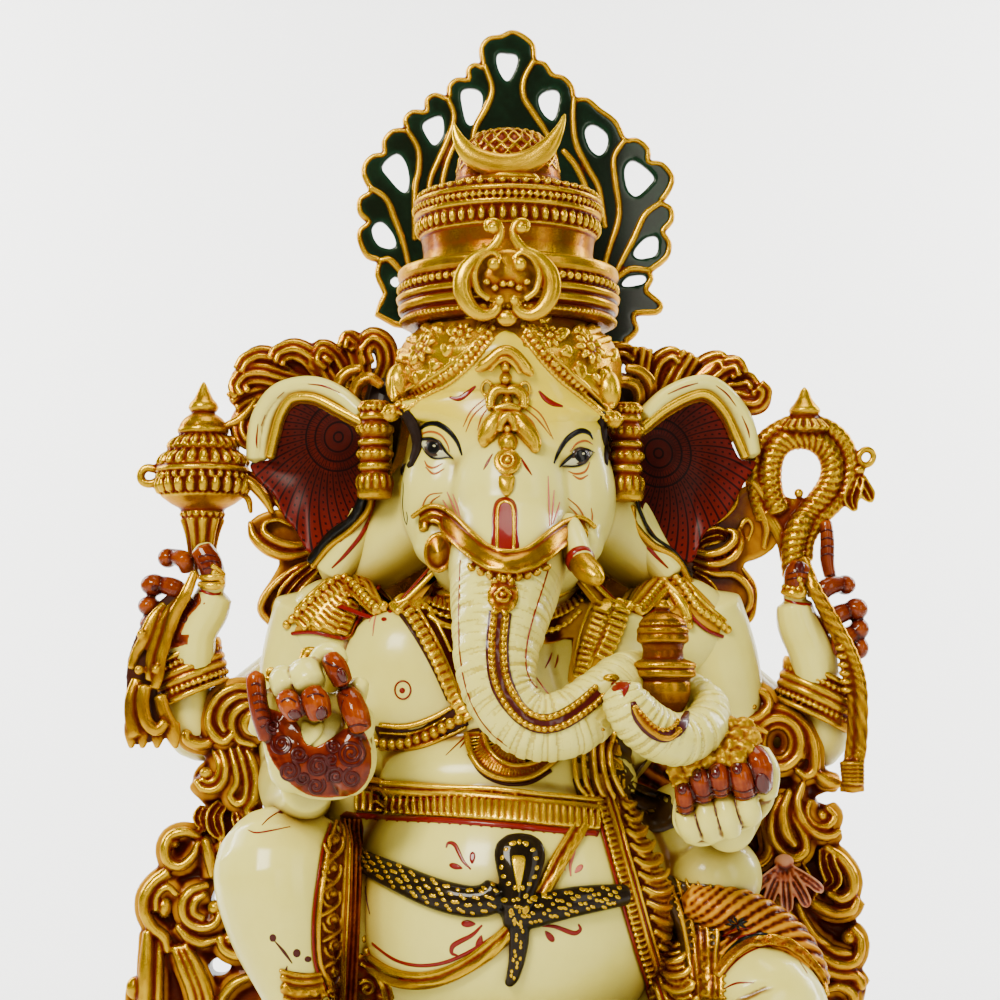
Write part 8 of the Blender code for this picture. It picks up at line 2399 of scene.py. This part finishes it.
def make_shawl_folds():
    """The folds of the shawl that curl out between each ear and shoulder, and the leaf scrolls over them."""
    y = 6
    ground = [
        cutout(round_loop([(-94, -12), (-108, -5), (-121, -8), (-125.6, -15), (-119.6, -24), (-110, -30),
            (-113, -38), (-120, -49), (-120.6, -57), (-114, -64), (-107, -68), (-98, -62), (-88, -50), (-82, -38),
            (-84, -24)], 3), [], y + 4, 13),
        cutout(round_loop([(84, -24), (96, -12), (108, -8), (118, 4), (127, 8), (134, 2), (139, -10), (138, -22),
            (130, -29), (121, -32.6), (126, -41), (127.6, -48), (125.8, -60), (118, -62.6), (110, -60), (100, -54),
            (88, -42), (82, -32)], 3), [], y + 4, 13),
    ]
    piece("shawl_ground", ground, FRAME_GROUND, ["shawl_fold_right", "shawl_fold_left"], "maroon", voxel=1.1,
        smooth=6, fine=0.3, broad=1.4)
    left = [
        ([(-94.6, -22, 2), (-103, -22.6, 6), (-111.6, -20.6, 7), (-117.6, -16.4, 6), (-117.2, -11.8, 5),
            (-111, -10.2, 4), (-104.6, -13, 3)], [1.8, 2.4, 2.5, 2.2, 1.5, 1.2, 0.9]),
        ([(-96, -26.6, 2), (-106, -28, 5), (-115.6, -25, 5), (-122.6, -18.6, 4), (-124.6, -12, 2)],
            [1.8, 2.9, 3.2, 2.9, 1.6]),
        ([(-92, -30.6, 4), (-101, -33.6, 6), (-110, -40, 6), (-117, -48, 6), (-119.2, -55, 5), (-114.6, -61, 4),
            (-108.6, -66, 2)], [1.2, 1.7, 1.9, 1.9, 2.0, 1.9, 1.3]),
        ([(-94, -34, 5), (-103, -38.4, 6), (-109.6, -46.6, 7), (-113.2, -54.6, 6), (-110, -61.4, 4)],
            [1.1, 1.5, 1.6, 1.5, 1.0]),
    ]
    parts = [flat_bar(line, y, wide, depth=max(wide) * 1.4, per=6) for line, wide in left]
    parts.append(frond([(-93, -34, -6), (-101, -41, -8), (-107, -49, -8), (-108.4, -56, -6)], y, 5.0, depth=1.0))
    parts.append(frond([(-89, -40, -6), (-96, -47, -8), (-101.6, -54, -7), (-104, -59, -5)], y, 4.2, depth=1.0))
    right = [
        ([(95.6, -25, 4), (103, -27, 7), (111, -25.4, 8), (116.8, -20.6, 8), (117, -16.4, 7), (113.8, -15, 6)],
            [1.6, 2.1, 2.2, 2.2, 2.0, 1.2]),
        ([(96, -29.6, 2), (106, -32.4, 5), (115, -29.6, 5), (120, -22.6, 5), (119.2, -15, 4)],
            [1.6, 2.4, 2.5, 2.3, 1.4]),
        ([(97, -33.8, 4), (107, -37.2, 6), (117, -37.6, 6), (123.6, -43.4, 6), (125, -51, 5), (121.6, -56.4, 4),
            (114.8, -57.4, 4)], [1.2, 1.7, 1.9, 1.9, 1.8, 1.7, 1.3]),
        ([(121, -34, 2), (126, -42, 2), (126.8, -50, 2), (124.6, -59.6, 2), (116, -61.6, 2)],
            [1.2, 1.9, 2.0, 1.9, 1.3]),
        ([(118.6, 6, 2), (117.6, -2, 4), (110.6, -9.6, 4), (102, -13.6, 3)], [1.3, 1.6, 1.6, 1.2]),
        ([(121.6, -19.6, 1), (120.6, -13, 3), (123.6, -9.8, 3), (126, -13.6, 2), (124, -20.6, 1)],
            [1.2, 1.5, 1.6, 1.3, 1.0]),
        ([(124, 6, 0), (129.6, -4, 2), (133, -14, 2), (131.6, -24, 1)], [1.8, 2.6, 2.6, 1.8]),
    ]
    parts += [flat_bar(line, y, wide, depth=max(wide) * 1.4, per=6) for line, wide in right]
    parts.append(frond([(96.6, -38, -6), (103, -43, -8), (107.6, -51, -8), (111.4, -59.6, -5)], y, 4.0, depth=1.0))
    parts.append(frond([(98, -22, -3), (103, -19, -5), (109, -17.6, -5), (113, -19.6, -3)], y, 4.6, depth=1.0))
    piece("shawl_fold_skin", parts, ORANGE_GOLD, voxel=0.75, smooth=1)
    scrolls = [
        ([(-139, 36, 4), (-131, 39.6, 5), (-126, 44, 4), (-122, 50, 2)], [1.8, 2.8, 2.7, 1.5]),
        ([(-137, 31, 2), (-131, 30, 4), (-125, 33, 3)], [1.5, 2.4, 1.7]),
        ([(-131, 11, 2), (-124.6, 8.6, 5), (-118, 1.6, 5), (-114, -6, 3)], [1.8, 3.0, 2.9, 1.5]),
        ([(-127, 14, 1), (-120.6, 11, 3), (-114, 3, 3), (-108.6, -6, 1)], [1.2, 1.8, 1.8, 1.2]),
        ([(-131, 4, 1), (-126, 0.6, 3), (-124.6, -6, 2)], [1.2, 1.8, 1.2]),
        ([(122, 11, 1), (127, 8, 3), (131.6, 2, 3), (136, -6, 2)], [1.4, 2.5, 2.5, 1.6]),
        ([(121, 20, 1), (127, 20, 2), (131, 16, 2)], [1.3, 2.1, 1.4]),
    ]
    parts = [flat_bar(line, y, wide, depth=max(wide) * 1.4, per=6) for line, wide in scrolls]
    piece("ear_side_scrolls", parts, ORANGE_GOLD, voxel=0.75, smooth=1)


# ---------------------------------------------------------------- throne, lotus base and plinth


def make_throne():
    """The throne's back: a panel with a moulded border and a lotus over a diaper of leaves, seen from behind."""
    rows = []
    panel = []
    half, low, high = 86.0, 119.0, 481.0
    border = [(-half, low), (-half, 400), (-74, 438), (-52, 464), (-20, 479), (0, high), (20, 479), (52, 464),
        (74, 438), (half, 400), (half, low)]
    loops = [[Vector((x, z, 0)) for x, z in border]]
    count = len(border)
    points = [(x, 41.0, z) for x, z in border] + [(x, 53.0, z) for x, z in border]
    caps = tessellate_polygon(loops)
    faces = [tuple(t) for t in caps] + [tuple(count + k for k in reversed(t)) for t in caps]
    faces += [(i, (i + 1) % count, count + (i + 1) % count, count + i) for i in range(count)]
    panel.append((np.array(points), faces))
    piece("throne_panel", panel, OLIVE_GOLD, ["throne_back"], voxel=1.5, smooth=2, fine=0.3, broad=1.2)
    for inset, wide in ((3.0, 3.0), (9.0, 1.8)):
        line = [(x * (1 - inset / 90), 53.0, low + (z - low) * (1 - inset / 190) + inset * 0.35, wide,
            2.8) for x, z in border]
        rows.append(sweep(line, "round", sides=14, per=4, out=-FRONT))
    lotus = []
    for ring, (petals, radius, long, wide) in enumerate(((14, 46, 22, 8.5), (12, 27, 17, 7.0), (8, 11, 11, 4.6))):
        for i in range(petals):
            angle = i * 2 * math.pi / petals + ring * 0.2
            a, b = math.cos(angle), math.sin(angle)
            y = 53.5 + ring * 1.6
            line = [(a * (radius - long * 0.5), y, 300 + b * (radius - long * 0.5), wide * 0.5, 2.4),
                (a * radius, y + 1.2, 300 + b * radius, wide, 3.0),
                (a * (radius + long * 0.5), y, 300 + b * (radius + long * 0.5), wide * 0.35, 2.0)]
            lotus.append(sweep(line, "leaf", per=5, out=-FRONT))
    lotus.append(ball((0, 57, 300), (8, 4, 8), 20, 11))
    lotus.append(balls([(5 * a, 60, 300 + 5 * b) for a, b in [(math.cos(t),
        math.sin(t)) for t in np.arange(8) * math.pi / 4]], 1.3))
    for side in (-1, 1):
        for start, way in ((392, -1), (208, 1)):
            stem = [(side * 66, start, 2.2), (side * 58, start + way * 22, 2.6), (side * 64, start + way * 48, 2.6),
                (side * 60, start + way * 70, 2.0)]
            lotus.append(sweep([(x, 54.0, z, r, 2.2) for x, z, r in stem], "round", sides=10, per=6, out=-FRONT))
            for k in range(6):
                x, z = side * (60 + 2 * math.sin(k)), start + way * (6 + 12 * k)
                for lean in (-1, 1):
                    lotus.append(sweep([(x, 54.0, z, 1.6, 1.6), (x + lean * 6, 55.4, z + way * 5, 3.0, 2.2),
                        (x + lean * 11, 54.4, z + way * 4, 1.0, 1.4)], "leaf", per=4, out=-FRONT))
    for k in range(9):
        x = -56 + 14 * k
        lotus.append(sweep([(x, 54.0, 128, 3.4, 2.0), (x, 55.6, 144, 5.6, 2.8), (x, 54.0, 160, 1.2, 1.6)], "leaf",
            per=5, out=-FRONT))
        if abs(x) < 50:
            lotus.append(sweep([(x, 54.0, 408, 2.6, 1.6), (x * 0.95, 55.4, 424 - abs(x) * 0.12, 4.6, 2.6),
                (x * 0.85, 54.0, 440 - abs(x) * 0.26, 1.0, 1.4)], "leaf", per=5, out=-FRONT))
    piece("throne_carving", rows + lotus, GOLD, voxel=1.0, smooth=1)
    ground = [ball((0, 52.5, 300), (62, 2.0, 62), 60, 13)]
    piece("throne_roundel", ground, DARK_GROUND, slot="maroon", voxel=0)


BASE_HALF_X, BASE_HALF_Y = 148.0, 102.0
BASE_SQUARE = 3.0  # the power of the base's rounded oblong
BASE_MIDDLE_Y = -20.0


def ring_path(half_x, half_y, square, count):
    """Places round a rounded oblong, the first one again at the end."""
    angle = np.arange(count) * 2 * math.pi / count
    power = 2 / square
    x = np.sign(np.cos(angle)) * np.abs(np.cos(angle)) ** power * half_x
    y = np.sign(np.sin(angle)) * np.abs(np.sin(angle)) ** power * half_y
    loop = np.stack([x, y, 0 * x], 1)
    return np.vstack([loop, loop[:1]])


def oblong(profile, sides=120):
    """A moulding round the base: rows of how far it stands in from the widest outline, and height."""
    rings = [(BASE_HALF_X - inset, z) for inset, z in profile]
    return turned(rings, (0.0, BASE_MIDDLE_Y), sides=sides, squash=BASE_HALF_Y / BASE_HALF_X, square=BASE_SQUARE)


def make_base():
    middle = np.array([0.0, BASE_MIDDLE_Y, 0.0])

    def ring(inset, z, count, shift=0.0):
        half_x = BASE_HALF_X - inset
        loop = ring_path(half_x, half_x * BASE_HALF_Y / BASE_HALF_X, BASE_SQUARE, 400)
        line = even_steps(loop, 1.0)
        run = np.linspace(0, len(line) - 1, count + 1)[:-1] + shift * (len(line) - 1) / count
        where = line[np.round(run).astype(int) % (len(line) - 1)]
        ahead = line[(np.round(run).astype(int) + 1) % (len(line) - 1)]
        out = unit(np.cross(unit(ahead - where), UP))
        return where + middle + (0, 0, z), out

    piece("felt_pad", [oblong([(14, 0.2), (12, 0.4), (12, 2.6), (14, 3.0)])], FELT, ["base_felt"], "felt", voxel=0)
    plinth = [oblong([(8, 3.0), (3, 3.4), (1.6, 5), (1.6, 9), (4, 10.4), (7, 12), (9, 14.4), (8.4, 16.6), (5, 18.4),
        (2.6, 20), (2.0, 22.6), (3.4, 25.0), (9, 26.4)])]
    piece("plinth_skin", plinth, RED_LACQUER, ["plinth"], "maroon", voxel=1.4, smooth=1, fine=0.25, broad=1.0)
    gold = []
    for inset, z, wide in ((1.2, 5.0, 1.9), (1.8, 9.4, 1.7), (2.2, 20.8, 1.9), (3.2, 24.4, 1.7)):
        loop, _ = ring(inset, z, 120)
        gold.append(sweep([(*place, wide) for place in loop], sides=10, per=1, closed=True))
    places, _ = ring(7.0, 14.6, 150)
    gold.append(balls(places, 2.3, 10, 7))
    piece("plinth_gold", gold, GOLD, voxel=1.0, smooth=1)

    def petals(name, node, low, high, count, foot, bulge, top, way, skin):
        parts = [oblong([(foot + 10, low), (foot + 7, low + 1), (bulge + 8, (low + high) / 2), (top + 8, high - 1),
            (top + 11, high)])]
        for shift, push, tall in ((0.5, 3.4, 0.9), (0.0, 0.0, 1.0)):
            start, out = ring(foot + push, low + 1.5 if way > 0 else high - 1.5, count, shift)
            belly, _ = ring(bulge + push, (low + high) / 2, count, shift)
            end, _ = ring(top + push, high - 1.5 if way > 0 else low + 1.5, count, shift)
            for a, b, c, o in zip(start, belly, end, out):
                tip = b + (c - b) * tall
                rows = [(*a, 6.4, 3.2), (*((a + b) / 2 + o * 1.6), 10.6, 3.6), (*b, 11.6, 3.6),
                    (*((b * 0.45 + tip * 0.55) + o * 0.8), 9.4, 3.2), (*(tip + o * 1.8), 2.6, 2.2)]
                parts.append(sweep(rows, "leaf", per=5, out=np.array([o + UP * 0.1 * way] * 5)))
                parts.append(sweep([(*(a + o * 3), 1.8, 1.6), (*(b + o * 4.2), 3.0, 1.8),
                    (*(tip * 0.7 + b * 0.3 + o * 3.6), 1.0, 1.2)], "blade", per=4, out=np.array([o] * 3)))
        return piece(name, parts, skin, [node], voxel=1.0, smooth=1)

    petals("lotus_lower_skin", "lotus_lower", 26.6, 60.0, 26, 8.0, 4.6, 10.0, -1, ORANGE_GOLD)
    petals("lotus_upper_skin", "lotus_upper", 60.4, 98.0, 26, 12.0, 7.0, 11.0, 1, GOLD)
    beads, _ = ring(10.0, 60.2, 160)
    piece("lotus_waist", [balls(beads, 2.2, 10, 7)], BRIGHT_GOLD, voxel=0)
    seat = [oblong([(22, 98.4), (16, 99.4), (13.6, 103), (13.2, 107), (14.4, 112), (17, 115.4), (22, 117.4),
        (30, 118.2)])]
    piece("seat_skin", seat, RED_LACQUER, ["seat_cushion"], "maroon", voxel=1.6, smooth=3, fine=0.25, broad=1.0)
    trim = []
    for inset, z, wide in ((15.4, 99.8, 1.6), (16.6, 115.0, 1.6)):
        loop, _ = ring(inset, z, 120)
        trim.append(sweep([(*place, wide) for place in loop], sides=10, per=1, closed=True))
    places, out = ring(13.2, 107.2, 44)
    for place, o in zip(places, out):
        side = np.cross(o, UP)
        loop = [(*(place + side * 5.2 * math.cos(t) + UP * 4.4 * math.sin(t) + o * 0.6),
            0.9) for t in np.arange(13) * 2 * math.pi / 12]
        trim.append(sweep(loop, sides=8, per=1))
        trim.append(ball(place + o * 0.8, (2.0, 2.0, 2.0), 10, 7))
    piece("seat_trim", trim, GOLD, voxel=0.9, smooth=1)


# ---------------------------------------------------------------- camera, floor and light


def make_stage():
    size = 6.0
    back, rise = 1.6, 3.2
    profile = [(-size, 0.0)] + [(back + 0.6 * math.sin(a), 0.6 - 0.6 * math.cos(a)) for a in np.linspace(0,
        math.pi / 2, 12)] + [(back + 0.6, rise)]
    mesh = bpy.data.meshes.new("floor")
    points = [(x, y, z) for x in (-size, size) for y, z in profile]
    count = len(profile)
    mesh.from_pydata(points, [], [(i, count + i, count + i + 1, i + 1) for i in range(count - 1)])
    mesh.shade_smooth()
    floor = bpy.data.objects.new("floor", mesh)
    bpy.context.scene.collection.objects.link(floor)
    paper = Paint("pale_paper")
    paper.set(Base_Color=(0.86, 0.86, 0.85, 1.0), Roughness=0.9)
    mesh.materials.append(paper.material)

    world = bpy.data.worlds.new("studio")
    world.use_nodes = True
    world.node_tree.nodes["Background"].inputs[0].default_value = (1.0, 0.99, 0.97, 1.0)
    world.node_tree.nodes["Background"].inputs[1].default_value = 0.08
    bpy.context.scene.world = world

    def softbox(name, place, aim, width, height, power, colour=(1.0, 0.945, 0.80)):
        light = bpy.data.lights.new(name, "AREA")
        light.shape = "RECTANGLE"
        light.size, light.size_y = width, height
        light.energy = power
        light.color = colour
        obj = bpy.data.objects.new(name, light)
        bpy.context.scene.collection.objects.link(obj)
        obj.location = place
        obj.rotation_euler = (Vector(aim) - Vector(place)).to_track_quat("-Z", "Y").to_euler()

    middle = (0, 0, 0.35)
    softbox("key", (-0.8, -1.5, 1.45), middle, 0.6, 0.6, 54)
    softbox("fill", (1.3, -1.2, 0.8), middle, 0.5, 1.1, 7)
    softbox("top", (0.1, -0.1, 1.9), middle, 0.7, 0.7, 11)
    softbox("strip", (0.25, -1.7, 0.75), middle, 0.16, 0.9, 3)
    softbox("rear", (0.3, 1.0, 1.5), middle, 1.2, 0.8, 6)
    for side in (-1, 1):
        softbox("backdrop", (side * 1.5, 0.9, 1.3), (side * 0.2, 2.4, 0.5), 0.8, 1.4, 110, (1.0, 1.0, 1.0))


def make_camera():
    camera = bpy.data.cameras.new("eye")
    camera.sensor_width = 36.0
    camera.lens = 36.0 * REACH / SENSOR_SHARE
    camera.clip_end = 50.0
    obj = bpy.data.objects.new("eye", camera)
    bpy.context.scene.collection.objects.link(obj)
    place = Vector((EYE + (0, SPINE_Y, 0)) * MM)
    aim = Vector((AIM + (0, SPINE_Y, 0)) * MM)
    obj.location = place
    obj.rotation_euler = (aim - place).to_track_quat("-Z", "Y").to_euler()
    bpy.context.scene.camera = obj


# ---------------------------------------------------------------- build

torso = make_torso()
leg_right, leg_left = make_legs()
arms = make_arms()
head = make_head()
trunk = make_trunk()
dome = make_crown()
brow = make_headband(surface_of(dome, head))
make_medallion()
make_crescent()
make_fan()
make_ears()
make_tassels()
make_plumes()
face = surface_of(head, trunk, brow)
make_face(face)
make_face_ornaments(face)
make_trunk_ornaments(surface_of(trunk))
make_pot()
make_front_right_hand()
make_front_left_hand()
make_sweets()
make_mace()
cuff("bracelet_rear_right_skin", "bracelet_rear_right", -156, -86.5, 7.0, 16.6)
make_rear_right_hand()
make_mace_ribbon()
make_noose()
make_rear_left_hand()
cuff("bracelet_rear_left_skin", "bracelet_rear_left", 158.5, -97.0, -8.0, 17.0)
make_noose_tail()
body = surface_of(torso, leg_right, leg_left, arms[2], arms[3])
make_collars(body)
make_breast_bands(surface_of(torso))
make_skin_marks(body)
make_waistband(surface_of(torso))
make_snake_belt(surface_of(torso))
make_thread(surface_of(torso))
make_stole(surface_of(torso, leg_left))
make_dhoti_border(surface_of(torso, leg_right))
make_thigh_cloth(surface_of(torso, leg_left))
make_anklet(surface_of(leg_right))
make_frames()
make_shawl_folds()
make_throne()
make_base()

make_stage()
make_camera()
